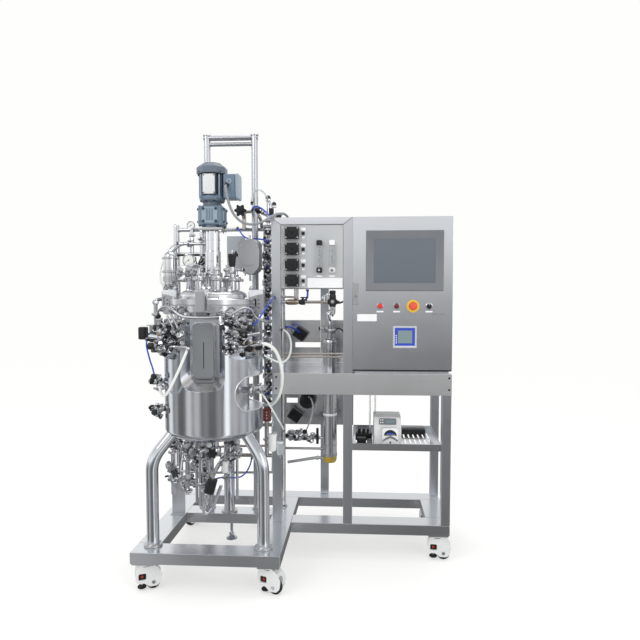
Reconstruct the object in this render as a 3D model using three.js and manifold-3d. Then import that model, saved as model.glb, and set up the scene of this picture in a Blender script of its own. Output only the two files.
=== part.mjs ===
// Skid-mounted stirred bioreactor: a clad stainless vessel on three legs, a stirrer drive,
// a hoist frame and pipe rack behind it, and a control console on the same castered skid.
// Millimetres. X runs to the right, Y to the back, Z up. Pieces are placed from the front left
// corner of the skid, and the finished group is centred over the floor.
import * as THREE from 'three';
import { mergeVertices } from 'three/addons/utils/BufferGeometryUtils.js';
import { ConvexGeometry } from 'three/addons/geometries/ConvexGeometry.js';
import Module from 'manifold-3d';

const wasm = await Module();
wasm.setup();

// Clearance between pieces that seat on or run in each other
const gap = 0.3;

// Skid
const skidWidth = 1478;
const skidDepth = 890;
const vesselBayWidth = 678;
const consoleSetback = 398;
const railWidth = 110;
const railHeight = 53;
const railTop = 190;
const midRailFront = 500;
const padSize = 100;
const padThickness = 8;

// Levelling casters
const wheelRadius = 31.5;
const wheelWidth = 26;
const wheelTrail = 30;
const axleRadius = 5;
const cheekGap = 1;
const cheekThickness = 12;
const swivelRadius = 36;

// Levelling foot under the middle rail
const footScrewRadius = 8;
const footPadRadius = 30;
const footPadBottom = 34;
const footThreadDepth = 42;

// Console frame and worktop
const postSize = 46;
const consoleTop = 1724;
const bandHeight = 36;
const middlePostX = 943;
const leftPostX = 586;
const worktopTop = 953;
const worktopThickness = 3;
const apronHeight = 107;
const apronThickness = 3;
const rearLeftPostX = 540;
const rearMiddlePostX = 800;
const endBeamHeight = 46;
const rearPanelBottom = 598;
const rearPanelTop = 1202;
const rearPanelThickness = 2;
const trayBottom = 565;
const trayHeight = 35;
const traySheet = 2;
const traySlots = 7;
const trayRuns = [[30, 60], [-160, -30]];
const worktopRearLip = 40;

// Solenoid valves and circulation pump on the rear panel
const coilSize = 48;
const coilDepth = 40;
const coilTilt = 40;
const coilPlaces = [[690, 1128], [640, 690]];
const circulationPump = { x: 728, z: 745, radius: 46, depth: 70 };

// Cabinet, door and what is on the door
const cabinetLift = 19;
const cabinetDepth = 330;
const cabinetSheet = 3;
const doorThickness = 20;
const displayMargin = [65, 47];
const displayZ = [1363, 1656];
const displayRim = 38;
const displayProud = 16;
const displayBodyDepth = 45;
const buttonRowZ = 1288;
const lampOffset = [-110, -29];
const lampRadius = 15;
const stopOffset = 51;
const stopCollarRadius = 31;
const stopHeadRadius = 20;
const stopStemRadius = 9;
const stopTravel = 6;
const keySwitchOffset = 129;
const keySwitchRadius = 12;
const controllerOffset = [-46, 70];
const controllerZ = [1081, 1190];
const controllerRim = 8;
const latchZ = [1295, 1401];
const latchWidth = 30;
const lockZ = 1337;
const lockRadius = 7;

// Instrument panel
const panelBottom = 1374;
const panelDepth = 150;
const panelSheet = 3;
const pumpHeadZ = [1414, 1491, 1569, 1647];
const pumpHeadX = 690;
const pumpHeadSize = [69, 59];
const pumpHeadProud = 34;
const rotameterX = [825, 888];
const rotameterZ = [1452, 1610];
const rotameterRadius = 14;

// Vessel
const vesselX = 334.5;
const vesselY = 235;
const claddingRadius = 229;
const claddingTop = 1232;
const vesselBottom = 658;
const vesselDishDepth = 63;
const neckRadius = 150;
const flangeRadius = 205;
const bodyFlange = [1262, 1292];
const gasketThickness = 4;
const lidFlangeThickness = 26;
const boreRadius = 140;
const boreBottom = 742;
const boreDishDepth = 60;
const domeHeight = 57;
const domeInnerHeight = 46;
const neckTop = 1432;
const nozzleCircle = 108;
const nozzleRadius = 19;
const nozzleCount = 8;
const ferruleRadius = 27;
const ferruleZ = 1404;
const capTop = 1428;
const pocketRadius = 165;
const coreRadius = 160;
const claddingFloor = 10;
const clampWidth = 41;
const clampReach = 243;
const glassSize = [101, 250];
const glassBottom = 970;
const glassProud = 20;

// Legs
const legCircle = 296;
const legRadius = 28;
const legFlangeRadius = 42;

// Stirrer and drive
const shaftRadius = 12;
const shaftBottom = 790;
const shaftSocket = 20;
const impellerZ = [850, 1020];
const impellerRadius = 46;
const lanternPlateZ = [1640, 1652];
const gearboxTop = 1785;
const gearboxHalf = 57;
const motorRadius = 60;
const motorBodyTop = 1900;
const motorTop = 1951;
const cowlRadius = 71;

// Hoist frame and pipe rack
const hoistPostX = [221, 472];
const hoistY = 585;
const hoistRadius = 17;
const hoistTop = 2178;
const hoistBarRadius = 14;
const hoistThinBarRadius = 10;
const hoistLowBarZ = 1250;
const condenserArmZ = 1500;
const rackY = 630;
const rackPostX = [36, 606];
const rackPostRadius = 18;
const rackTop = 1712;
const rackTubeRadius = 11;
const rackTubeZ = [1694, 1150, 640, 470];
const riserX = [120, 180, 520];
const topValve = { x: 405, z: 1780, reach: 84 };
const topKnob = { radius: 27, depth: 26 };
const drainKnob = { radius: 27, depth: 24 };

// Upright steam filter housing and the air line beside it
const heaterX = 870;
const heaterY = 545;
const heaterRadius = 36;
const heaterZ = [463, 1117];
const airLineY = consoleSetback + postSize / 2;
const airLineZ = 1307;
const strainerX = [655, 722];
const airValveX = [728, 752];
const regulatorX = 889;

// Bench pump on the tray
const benchPumpX = [1099, 1239];
const benchPumpY = [470, 650];
const benchPumpHeight = 172;
const rotorRadius = 30;

const skid = new THREE.Group();

// ---- Materials ----
function finish(color, roughness, metalness) {
  return new THREE.MeshStandardMaterial({ color, roughness, metalness });
}
const brushedSteel = finish(0xb4b6b8, 0.38, 1);
const polishedSteel = finish(0xd0d2d4, 0.16, 1);
const darkPlastic = finish(0x1d1e20, 0.55, 0);
const casterCream = finish(0xe6e2d6, 0.5, 0);
const motorEnamel = finish(0x6d8393, 0.45, 0.1);
const silicone = finish(0xe8eae8, 0.45, 0);
const greyPlastic = finish(0x7d8288, 0.5, 0);
const redPlastic = finish(0xd8262c, 0.4, 0);
const whitePlastic = finish(0xeef0f1, 0.45, 0);

// ---- Solids ----
// A closed geometry as a solid, with its faces turned to point out.
function solid(geometry) {
  const bare = geometry.clone();
  bare.deleteAttribute('normal');
  bare.deleteAttribute('uv');
  const merged = mergeVertices(bare, 1e-3);
  const position = merged.attributes.position;
  const corner = [0, 1, 2].map(() => new THREE.Vector3());
  const faces = [];
  let volume = 0;
  for (let i = 0; i < merged.index.count; i += 3) {
    const ids = [0, 1, 2].map((k) => merged.index.getX(i + k));
    if (ids[0] === ids[1] || ids[1] === ids[2] || ids[2] === ids[0]) continue;
    ids.forEach((id, k) => corner[k].fromBufferAttribute(position, id));
    volume += corner[0].dot(corner[1].clone().cross(corner[2]));
    faces.push(ids);
  }
  const turned = volume < 0 ? faces.map(([a, b, c]) => [a, c, b]) : faces;
  const vertProperties = new Float32Array(position.array);
  const triVerts = new Uint32Array(turned.flat());
  return new wasm.Manifold(new wasm.Mesh({ numProp: 3, vertProperties, triVerts }));
}

function join(...pieces) {
  return pieces.flat().reduce((sum, piece) => sum.add(piece));
}

function cut(piece, ...tools) {
  return tools.flat().reduce((rest, tool) => rest.subtract(tool), piece);
}

// Fills the small sealed voids that crossing bars leave in a joined solid.
function withoutVoids(piece) {
  return join(piece.decompose().filter((shell) => shell.volume() > 0));
}

function block([x0, x1], [y0, y1], [z0, z1]) {
  const box = new THREE.BoxGeometry(x1 - x0, y1 - y0, z1 - z0);
  return solid(box.translate((x0 + x1) / 2, (y0 + y1) / 2, (z0 + z1) / 2));
}

// A block with all its edges chamfered.
function chamferedBlock([x0, x1], [y0, y1], [z0, z1], chamfer) {
  const middle = new THREE.Vector3((x0 + x1) / 2, (y0 + y1) / 2, (z0 + z1) / 2);
  const half = [(x1 - x0) / 2, (y1 - y0) / 2, (z1 - z0) / 2];
  const points = [];
  for (const sx of [-1, 1]) for (const sy of [-1, 1]) for (const sz of [-1, 1]) {
    for (const full of [0, 1, 2]) {
      const reach = half.map((h, axis) => (axis === full ? h : h - chamfer));
      points.push(new THREE.Vector3(sx * reach[0], sy * reach[1], sz * reach[2]).add(middle));
    }
  }
  return solid(new ConvexGeometry(points));
}

// A round bar between two points, tapering where an end radius is given.
function rod(from, to, radius, sides = 8, endRadius = radius) {
  const start = new THREE.Vector3(...from);
  const run = new THREE.Vector3(...to).sub(start);
  const bar = new THREE.CylinderGeometry(endRadius, radius, run.length(), sides);
  bar.translate(0, run.length() / 2, 0);
  bar.applyQuaternion(new THREE.Quaternion().setFromUnitVectors(
    new THREE.Vector3(0, 1, 0), run.clone().normalize()));
  return solid(bar.translate(...start.toArray()));
}

function ball(centre, radius, sides = 8) {
  return solid(new THREE.SphereGeometry(radius, sides, sides / 2).translate(...centre));
}

// A solid turned about an upright axis, from [radius, height] pairs.
function turned(profile, [x, y] = [0, 0], sides = 24) {
  const points = profile.map(([radius, z]) => new THREE.Vector2(radius, z));
  return solid(new THREE.LatheGeometry(points, sides).rotateX(Math.PI / 2).translate(x, y, 0));
}

// An outline in the XZ plane, made a plate of the given width centred on Y = 0.
function plate(outline, width) {
  const shape = new THREE.Shape(outline.map(([x, z]) => new THREE.Vector2(x, z)));
  const sheet = new THREE.ExtrudeGeometry(shape, { depth: width, bevelEnabled: false });
  return solid(sheet.rotateX(Math.PI / 2).translate(0, width / 2, 0));
}

function smoothPath(points) {
  return new THREE.CatmullRomCurve3(points.map((p) => new THREE.Vector3(...p)));
}

// The run on beyond the first point of a smooth path: from the clearance to the given length.
function runOn(points, length) {
  const path = smoothPath(points);
  const way = path.getTangentAt(0);
  return [length, gap].map((d) => path.getPointAt(0).addScaledVector(way, -d).toArray());
}

// Radius of a many-sided bore that a round piece of the given radius can turn in.
function runningBore(radius, sides) {
  return (radius + gap) / Math.cos(Math.PI / sides);
}

function bentTube(points, radius, halfSides, steps) {
  const path = smoothPath(points);
  const shape = new THREE.Shape().absarc(0, 0, radius, 0, 2 * Math.PI);
  return solid(new THREE.ExtrudeGeometry(shape, {
    steps, extrudePath: path, curveSegments: halfSides, bevelEnabled: false,
  }));
}

// Rods through a list of corners, with a ball at each corner.
function pipeRun(corners, radius, sides = 6) {
  const runs = corners.slice(1).map((corner, i) => rod(corners[i], corner, radius, sides));
  return join(runs, corners.slice(1, -1).map((corner) => ball(corner, radius * 1.04, sides)));
}

// Points of a quarter ellipse from its pole on the axis to its rim.
function dish(radius, poleZ, rimZ, from = 0, steps = 4) {
  return Array.from({ length: steps + 1 }, (_, i) => {
    const angle = THREE.MathUtils.lerp(Math.asin(from / radius), Math.PI / 2, i / steps);
    return [radius * Math.sin(angle), rimZ + (poleZ - rimZ) * Math.cos(angle)];
  });
}

function node(name, piece, material, parent = skid) {
  const { numProp, vertProperties, triVerts } = piece.getMesh();
  const geometry = new THREE.BufferGeometry();
  geometry.setAttribute('position', new THREE.BufferAttribute(vertProperties, numProp));
  geometry.setIndex(new THREE.BufferAttribute(triVerts, 1));
  geometry.computeVertexNormals();
  const mesh = new THREE.Mesh(geometry, material);
  mesh.name = name;
  parent.add(mesh);
  return mesh;
}

// A point at a radius and angle about the vessel's axis.
function aroundVessel(radius, degrees, z) {
  const angle = THREE.MathUtils.degToRad(degrees);
  return [vesselX + radius * Math.cos(angle), vesselY + radius * Math.sin(angle), z];
}

// Moves a solid modelled with +X as its outward direction to an angle about the vessel.
function turnedToAngle(piece, degrees) {
  return piece.rotate([0, 0, degrees]).translate([vesselX, vesselY, 0]);
}

// ---- Skid ----
const railBottom = railTop - railHeight;
const consoleRailBack = consoleSetback + railWidth;
const backRailFront = skidDepth - railWidth;
const casterPlaces = {
  front_left: [railWidth / 2, railWidth / 2, 205],
  front_middle: [vesselBayWidth - railWidth / 2, railWidth / 2, 160],
  front_right: [skidWidth - railWidth / 2, consoleSetback + railWidth / 2, 175],
  rear_right: [skidWidth - railWidth / 2, skidDepth - railWidth / 2, 150],
  rear_left: [railWidth / 2, skidDepth - railWidth / 2, 60],
};
const footX = vesselX + 5;
const footY = midRailFront + railWidth / 2;

function baseFrame() {
  const height = [railBottom, railTop];
  const rails = [
    block([0, railWidth], [0, skidDepth], height),
    block([vesselBayWidth - railWidth, vesselBayWidth], [0, skidDepth], height),
    block([0, vesselBayWidth], [0, railWidth], height),
    block([0, vesselBayWidth], [midRailFront, midRailFront + railWidth], height),
    block([vesselBayWidth - railWidth, skidWidth], [consoleSetback, consoleRailBack], height),
    block([0, skidWidth], [backRailFront, skidDepth], height),
    block([skidWidth - railWidth, skidWidth], [consoleSetback, skidDepth], height),
  ];
  const pads = Object.values(casterPlaces).map(([x, y]) => chamferedBlock(
    [x - padSize / 2, x + padSize / 2], [y - padSize / 2, y + padSize / 2],
    [railBottom - padThickness, railBottom + padThickness], 2));
  const thread = rod([footX, footY, railBottom - 1], [footX, footY, railBottom + footThreadDepth],
    footScrewRadius + gap);
  return cut(join(rails, pads), thread);
}
node('base_frame', baseFrame(), brushedSteel);

// A levelling caster about its swivel axis, with the wheel trailing towards -X.
const swivelTop = railBottom - padThickness - gap;
function casterHousing() {
  const slotHalf = wheelWidth / 2 + cheekGap;
  const width = 2 * (slotHalf + cheekThickness);
  const side = [[-wheelTrail - 14, 25], [-wheelTrail - 27, 40], [-wheelTrail - 31, 70],
    [-wheelTrail - 16, 98], [-20, swivelTop - 12], [24, swivelTop - 10], [38, swivelTop - 22],
    [42, 70], [40, 44], [4, 44], [-wheelTrail + 16, 25]];
  const slot = block([-wheelTrail - wheelRadius - 9, 5], [-slotHalf, slotHalf], [0, 84]);
  const axle = rod([-wheelTrail, -width / 2 + 2, wheelRadius], [-wheelTrail, width / 2 - 2, wheelRadius],
    axleRadius);
  const pad = join(rod([22, 0, 8], [22, 0, 18], 21, 10), rod([22, 0, 16], [22, 0, 48], 7));
  const bearing = rod([0, 0, swivelTop - 14], [0, 0, swivelTop], swivelRadius, 12);
  return join(cut(plate(side, width), slot), axle, pad, bearing);
}

function casterWheel() {
  const half = wheelWidth / 2;
  const bore = runningBore(axleRadius, 16);
  const profile = [[bore, -half], [wheelRadius, -half], [wheelRadius, half], [bore, half], [bore, -half]];
  const points = profile.map(([radius, y]) => new THREE.Vector2(radius, y));
  return solid(new THREE.LatheGeometry(points, 16).translate(-wheelTrail, 0, wheelRadius));
}

for (const [place, [x, y, heading]] of Object.entries(casterPlaces)) {
  const caster = new THREE.Group();
  caster.position.set(x, y, 0);
  caster.rotation.z = THREE.MathUtils.degToRad(heading);
  skid.add(caster);
  node(`caster_${place}`, casterHousing(), casterCream, caster);
  node(`wheel_${place}`, casterWheel(), darkPlastic, caster);
}

function levellingFoot() {
  const pad = turned([[0, footPadBottom], [footPadRadius, footPadBottom],
    [footPadRadius, footPadBottom + 6], [14, footPadBottom + 18], [0, footPadBottom + 18]],
  [footX, footY], 14);
  const screwTop = railBottom + footThreadDepth - 2;
  return join(pad, rod([footX, footY, footPadBottom + 4], [footX, footY, screwTop], footScrewRadius),
    rod([footX, footY, footPadBottom + 22], [footX, footY, footPadBottom + 31], 15, 6));
}
node('levelling_foot', levellingFoot(), polishedSteel);

// ---- Console frame ----
const frontPostY = [consoleSetback, consoleSetback + postSize];
const rearPostY = [skidDepth - postSize, skidDepth];
const rightPostX = [skidWidth - postSize, skidWidth];
const towelRailZ = [79, 95].map((height) => worktopTop + height);

function portal(posts, depth, top, beamHeight) {
  const left = posts[0];
  const right = posts[1] + postSize;
  return join(
    posts.map((x) => block([x, x + postSize], depth, [railTop, top])),
    block([left, right], depth, [top - beamHeight, top]));
}

function frontPortal() {
  const y = consoleSetback + postSize / 2;
  const rails = towelRailZ.map((z) => rod([leftPostX + 10, y, z], [middlePostX + 10, y, z], 5));
  return join(portal([leftPostX, middlePostX], frontPostY, consoleTop, bandHeight), rails);
}
node('front_portal', frontPortal(), brushedSteel);
node('rear_portal', portal([rearLeftPostX, rearMiddlePostX], rearPostY, consoleTop, postSize),
  brushedSteel);

const worktopUnderside = worktopTop - worktopThickness;
function rightEndFrame() {
  return join(
    [frontPostY, rearPostY].map((y) => block(rightPostX, y, [railTop, worktopUnderside])),
    block(rightPostX, [frontPostY[0], rearPostY[1]],
      [worktopUnderside - endBeamHeight, worktopUnderside]));
}
node('right_end_frame', rightEndFrame(), brushedSteel);

const rearPanelY = [rearPostY[0] - gap - rearPanelThickness, rearPostY[0] - gap];
const rearPanelX = [leftPostX, middlePostX + postSize];

// Space that a piece needs in a neighbour, grown by the clearance.
function room([x0, x1], [y0, y1], [z0, z1]) {
  return block([x0 - gap, x1 + gap], [y0 - gap, y1 + gap], [z0, z1]);
}

function worktop() {
  const left = leftPostX + 8;
  const backEdge = [skidDepth - apronThickness, skidDepth];
  const through = [worktopTop - apronHeight - 1, worktopTop + 1];
  const sheet = join(
    block([left, skidWidth], [consoleSetback - apronThickness - gap, skidDepth],
      [worktopUnderside, worktopTop]),
    block([left, skidWidth], [consoleSetback - apronThickness - gap, consoleSetback - gap],
      [worktopTop - apronHeight, worktopTop]),
    block([rearMiddlePostX + postSize + 2, rightPostX[0] - 2], backEdge,
      [worktopTop - worktopRearLip, worktopTop]));
  return cut(sheet,
    room([leftPostX, leftPostX + postSize], frontPostY, through),
    room([middlePostX, middlePostX + postSize], frontPostY, through),
    room([rearLeftPostX, rearLeftPostX + postSize], rearPostY, through),
    room([rearMiddlePostX, rearMiddlePostX + postSize], rearPostY, through),
    room([left - 10, rearPanelX[1]], [rearPanelY[0], skidDepth + 1], through),
    rod([rackPostX[1], rackY, through[0]], [rackPostX[1], rackY, through[1]],
      rackPostRadius + 2 * gap, 10),
    rod([heaterX, heaterY, through[0]], [heaterX, heaterY, through[1]], heaterRadius + gap, 24));
}
node('worktop', worktop(), brushedSteel);

function rearPanel() {
  const sheet = block(rearPanelX, rearPanelY, [rearPanelBottom, rearPanelTop]);
  const y = rearPanelY[0];
  const half = coilSize / 2;
  const coil = block([-half, half], [y - coilDepth, y + 1], [4 - half, half - 4])
    .rotate([0, coilTilt, 0]);
  const coils = coilPlaces.map((place) => coil.translate([place[0], 0, place[1]]));
  const { x, z, radius, depth } = circulationPump;
  return join(sheet, coils, rod([x, y + 1, z], [x, y - depth, z], radius, 14));
}
node('rear_panel', rearPanel(), polishedSteel);

function shelfTray() {
  const x = [middlePostX + postSize + gap, rightPostX[0] - gap];
  const y = [frontPostY[0] + 4, rearPostY[0] - 4];
  const outer = block(x, y, [trayBottom, trayBottom + trayHeight]);
  const inner = block([x[0] + traySheet, x[1] - traySheet], [y[0] + traySheet, y[1] - traySheet],
    [trayBottom + traySheet, trayBottom + trayHeight + 1]);
  const pitch = (x[1] - x[0]) / (traySlots + 1);
  const slots = Array.from({ length: traySlots }, (_, i) => {
    const middle = x[0] + pitch * (i + 1);
    return trayRuns.map((run) => block([middle - 6, middle + 6],
      run.map((end) => (end < 0 ? y[1] : y[0]) + end), [trayBottom - 1, trayBottom + traySheet + 1]));
  });
  return cut(outer, inner, slots.flat());
}
node('shelf_tray', shelfTray(), brushedSteel);

// ---- Cabinet ----
const cabinetBottom = worktopTop + cabinetLift;
const cabinetX = [middlePostX + postSize + gap, skidWidth];
const doorY = [consoleSetback, consoleSetback + doorThickness];
const shellY = [doorY[1] + gap, doorY[1] + gap + cabinetDepth];
const doorX = [cabinetX[0] + gap, cabinetX[1] - gap];
const doorMiddle = Math.round((doorX[0] + doorX[1]) / 2);
const lampX = lampOffset.map((offset) => doorMiddle + offset);
const stopX = doorMiddle + stopOffset;
const keySwitchX = doorMiddle + keySwitchOffset;
const controllerX = controllerOffset.map((offset) => doorMiddle + offset);
const displayX = [cabinetX[0] + displayMargin[0], cabinetX[1] - displayMargin[1]];

function cabinetShell() {
  const outer = block(cabinetX, shellY, [cabinetBottom, consoleTop]);
  const inner = block([cabinetX[0] + cabinetSheet, cabinetX[1] - cabinetSheet],
    [shellY[0] - 1, shellY[1] - cabinetSheet],
    [cabinetBottom + cabinetSheet, consoleTop - cabinetSheet]);
  const plinth = block([cabinetX[0] + 12, cabinetX[1] - 12], [shellY[0] + 4, shellY[1] - 12],
    [worktopTop, cabinetBottom + 1]);
  return join(cut(outer, inner), plinth);
}
node('cabinet_shell', cabinetShell(), brushedSteel);

// A span made longer at both ends, or shorter where the amount is negative.
function grown([low, high], amount) {
  return [low - amount, high + amount];
}

// A round hole or post through the door, along Y.
function doorRod(x, z, radius, y, sides = 12) {
  return rod([x, y[0], z], [x, y[1], z], radius, sides);
}

const displayHole = [grown(displayX, -displayRim / 2), grown(displayZ, -displayRim / 2)];
const collarProud = 12;
function cabinetDoor() {
  const outer = block(doorX, doorY, [cabinetBottom, consoleTop]);
  const hollow = block([doorX[0] + cabinetSheet, doorX[1] - cabinetSheet],
    [doorY[0] + cabinetSheet, doorY[1] + 1],
    [cabinetBottom + cabinetSheet, consoleTop - cabinetSheet]);
  const skin = [doorY[0] - 1, doorY[1] + 1];
  const front = [doorY[0] - collarProud, doorY[0] + 1];
  const latch = block([doorX[0] + 1, doorX[0] + latchWidth], [doorY[0] - 2, doorY[0] + 1], latchZ);
  const stopGuide = doorRod(stopX, buttonRowZ, stopCollarRadius, front, 20);
  const backGuide = doorRod(stopX, buttonRowZ, stopStemRadius + 5, [doorY[0], doorY[1] + 8]);
  const lamps = lampX.map((x) => doorRod(x, buttonRowZ, lampRadius, front));
  return cut(
    join(cut(outer, hollow), latch, stopGuide, backGuide, lamps),
    block(displayHole[0], skin, displayHole[1]),
    block(grown(controllerX, -controllerRim), skin, grown(controllerZ, -controllerRim)),
    doorRod(stopX, buttonRowZ, stopStemRadius + gap, [doorY[0] - 20, doorY[1] + 9]),
    doorRod(keySwitchX, buttonRowZ, runningBore(keySwitchRadius - 3, 12), skin),
    doorRod(doorX[0] + latchWidth / 2, lockZ, runningBore(lockRadius, 12), [doorY[0] - 3, doorY[1]]));
}
node('cabinet_door', cabinetDoor(), brushedSteel);

function display() {
  const y = doorY[0] - gap;
  const mouth = [[displayProud + 1, displayRim - 14], [6, displayRim]];
  const corners = mouth.flatMap(([proud, rim]) => grown(displayX, -rim).flatMap(
    (x) => grown(displayZ, -rim).map((z) => new THREE.Vector3(x, y - proud, z))));
  const bezel = cut(chamferedBlock(displayX, [y - displayProud, y], displayZ, 4),
    solid(new ConvexGeometry(corners)));
  const body = block(grown(displayHole[0], -gap), [y - 1, y + displayBodyDepth],
    grown(displayHole[1], -gap));
  return join(bezel, body);
}
node('display', display(), greyPlastic);

function stopButton() {
  const face = doorY[0] - collarProud;
  const head = doorRod(stopX, buttonRowZ, stopHeadRadius,
    [face - stopTravel - 14, face - stopTravel - 1], 16);
  const stem = doorRod(stopX, buttonRowZ, stopStemRadius, [face - stopTravel - 2, doorY[1] + 2]);
  return join(head, stem);
}
node('e_stop_button', stopButton(), redPlastic);

function keySwitch() {
  const knob = doorRod(keySwitchX, buttonRowZ, keySwitchRadius, [doorY[0] - 9, doorY[0] - gap]);
  const grip = block([keySwitchX - 3, keySwitchX + 3], [doorY[0] - 16, doorY[0] - 8],
    [buttonRowZ - keySwitchRadius + 2, buttonRowZ + keySwitchRadius - 2]);
  const barrel = doorRod(keySwitchX, buttonRowZ, keySwitchRadius - 3, [doorY[0] - 1, doorY[1] + 4]);
  return join(knob, grip, barrel);
}
node('key_switch', keySwitch(), darkPlastic);

function miniController() {
  const y = doorY[0] - gap;
  const frame = chamferedBlock(controllerX, [y - 8, y], controllerZ, 2);
  const body = block(grown(controllerX, -controllerRim - gap), [y - 1, y + 40],
    grown(controllerZ, -controllerRim - gap));
  return join(frame, body);
}
node('mini_controller', miniController(), whitePlastic);

function doorLock() {
  const x = doorX[0] + latchWidth / 2;
  const barrel = doorRod(x, lockZ, lockRadius, [doorY[0] - 4, doorY[1] - 2], 16);
  const cam = block([x - 6, x + 6], [doorY[1] - 5, doorY[1] - 2], [lockZ - 8, lockZ + 34]);
  return join(barrel, cam);
}
node('door_lock', doorLock(), polishedSteel);

// ---- Routes of the hoses and of the motor lead ----
const leftHose = [[278, -14, 1098], [270, -17, 1077], [261, -19, 1055], [252, -20, 1034],
  [242, -18, 1013], [232, -15, 993], [221, -11, 973], [210, -6, 953], [198, 1, 934],
  [186, 10, 917], [173, 22, 902], [159, 38, 893], [144, 55, 891], [131, 74, 897],
  [121, 91, 908], [114, 106, 924]];
const rightHose = [[600, 44, 1128], [623, 57, 1121], [640, 72, 1106], [653, 87, 1086],
  [660, 102, 1064], [666, 117, 1041], [669, 132, 1018], [670, 146, 995], [670, 161, 971],
  [667, 176, 948], [664, 191, 925], [658, 207, 903], [651, 223, 882], [642, 240, 862],
  [631, 257, 844], [617, 275, 827], [600, 292, 814]];
const motorCable = [[414, 170, 1838], [414, 160, 1834], [417, 153, 1818], [424, 152, 1782],
  [434, 158, 1744], [450, 170, 1708], [476, 190, 1680], [508, 222, 1670], [540, 268, 1678],
  [568, 322, 1700], [594, 376, 1728], [620, 424, 1746], [644, 466, 1750], [657, 488, 1738],
  [660, 494, 1718]];

// ---- Instrument panel ----
const panelX = [leftPostX + postSize + gap, middlePostX - gap];
const panelY = [consoleSetback + 6, consoleSetback + 6 + panelDepth];
const panelTop = consoleTop - bandHeight - gap;

function instrumentPanel() {
  const outer = block(panelX, panelY, [panelBottom, panelTop]);
  const inner = block(panelX.map((x, i) => x + (i ? -panelSheet : panelSheet)),
    [panelY[0] + panelSheet, panelY[1] + 1],
    [panelBottom + panelSheet, panelTop - panelSheet]);
  const face = panelY[0];
  const heads = pumpHeadZ.map((z) => chamferedBlock(
    [pumpHeadX - pumpHeadSize[0] / 2, pumpHeadX + pumpHeadSize[0] / 2], [face - pumpHeadProud, face + 4],
    [z - pumpHeadSize[1] / 2, z + pumpHeadSize[1] / 2], 3));
  const shutters = rotameterX.map((x) => join(
    rod([x, face - 22, rotameterZ[0]], [x, face - 22, rotameterZ[1]], rotameterRadius, 12),
    rotameterZ.map((z) => block([x - 8, x + 8], [face - 24, face + 2], [z - 10, z + 10]))));
  const gland = rod(...runOn(motorCable.slice().reverse(), 32), 11);
  return join(cut(outer, inner), heads, shutters, gland);
}
node('instrument_panel', instrumentPanel(), brushedSteel);

// ---- Air line with its filter regulator, and the steam filter housing ----
function filterRegulator() {
  const x = regulatorX;
  const y = airLineY;
  const z = airLineZ;
  const line = rod([panelX[0], y, z], [panelX[1], y, z], 8);
  const strainer = rod([strainerX[0], y, z], [strainerX[1], y, z], 14);
  const valve = chamferedBlock(airValveX, [y - 15, y + 15], [z - 15, z + 22], 4);
  const head = chamferedBlock([x - 21, x + 21], [y - 21, y + 21], [z - 16, z + 20], 4);
  const cap = rod([x, y, z + 18], [x, y, z + 58], 15, 14, 17);
  const bowl = rod([x, y, z - 72], [x, y, z - 14], 12, 14, 17);
  return join(line, strainer, valve, head, cap, bowl);
}
node('filter_regulator', filterRegulator(), darkPlastic);

function heaterTube() {
  const [bottom, top] = heaterZ;
  const tube = turned([[0, bottom], [heaterRadius - 4, bottom], [heaterRadius, bottom + 8],
    [heaterRadius, top - 16], [20, top], [0, top]], [heaterX, heaterY], 20);
  const neck = rod([heaterX, heaterY, top - 2], [heaterX, heaterY, top + 34], 14);
  const ferrule = rod([heaterX, heaterY, top + 34], [heaterX, heaterY, top + 46], 24, 16);
  const vent = pipeRun([[heaterX, heaterY, top + 40], [heaterX, heaterY, top + 90],
    [heaterX - 12, heaterY + 40, top + 130], [heaterX - 12, rearPanelY[0] - 30, top + 130]], 9);
  const outlet = pipeRun([[heaterX, heaterY, bottom + 6], [heaterX, heaterY, bottom - 4],
    [heaterX - 225, heaterY, bottom - 4]], 8);
  const wallTie = rod([heaterX, heaterY + 10, top - 180], [heaterX, rearPanelY[0] - gap, top - 180], 9);
  return join(tube, neck, ferrule, vent, outlet, wallTie);
}
node('heater_tube', heaterTube(), polishedSteel);

// ---- Bench pump ----
const trayFloor = trayBottom + traySheet;
const rotorX = benchPumpX[0] + 82;
const rotorZ = trayFloor + 62;
function benchPump() {
  const [x0, x1] = benchPumpX;
  const [y0, y1] = benchPumpY;
  const height = benchPumpHeight;
  const outline = [[y0, 0], [y1, 0], [y1, height - 20], [y1 - 20, height], [y0 + 60, height],
    [y0 + 10, height - 60], [y0, height - 80]].map(([y, z]) => [y, trayFloor + z]);
  const body = plate(outline, x1 - x0).rotate([0, 0, 90]).translate([(x0 + x1) / 2, 0, 0]);
  const head = rod([rotorX, y0 - 24, rotorZ], [rotorX, y0 + 4, rotorZ], rotorRadius + 12, 20);
  const well = rod([rotorX, y0 - 25, rotorZ], [rotorX, y0 - 4, rotorZ], rotorRadius + 2, 20);
  return cut(join(body, head), well);
}
node('bench_pump', benchPump(), whitePlastic);

function pumpRotor() {
  const y = [benchPumpY[0] - 22, benchPumpY[0] - 4 - gap];
  const rollers = [0, 120, 240].map((degrees) => {
    const angle = THREE.MathUtils.degToRad(degrees);
    const x = rotorX + 20 * Math.sin(angle);
    const z = rotorZ + 20 * Math.cos(angle);
    return rod([x, y[0] + 3, z], [x, y[1] - 2, z], 9);
  });
  return join(rod([rotorX, y[0] + 6, rotorZ], [rotorX, y[1], rotorZ], 16), rollers);
}
node('pump_rotor', pumpRotor(), greyPlastic);

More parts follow.
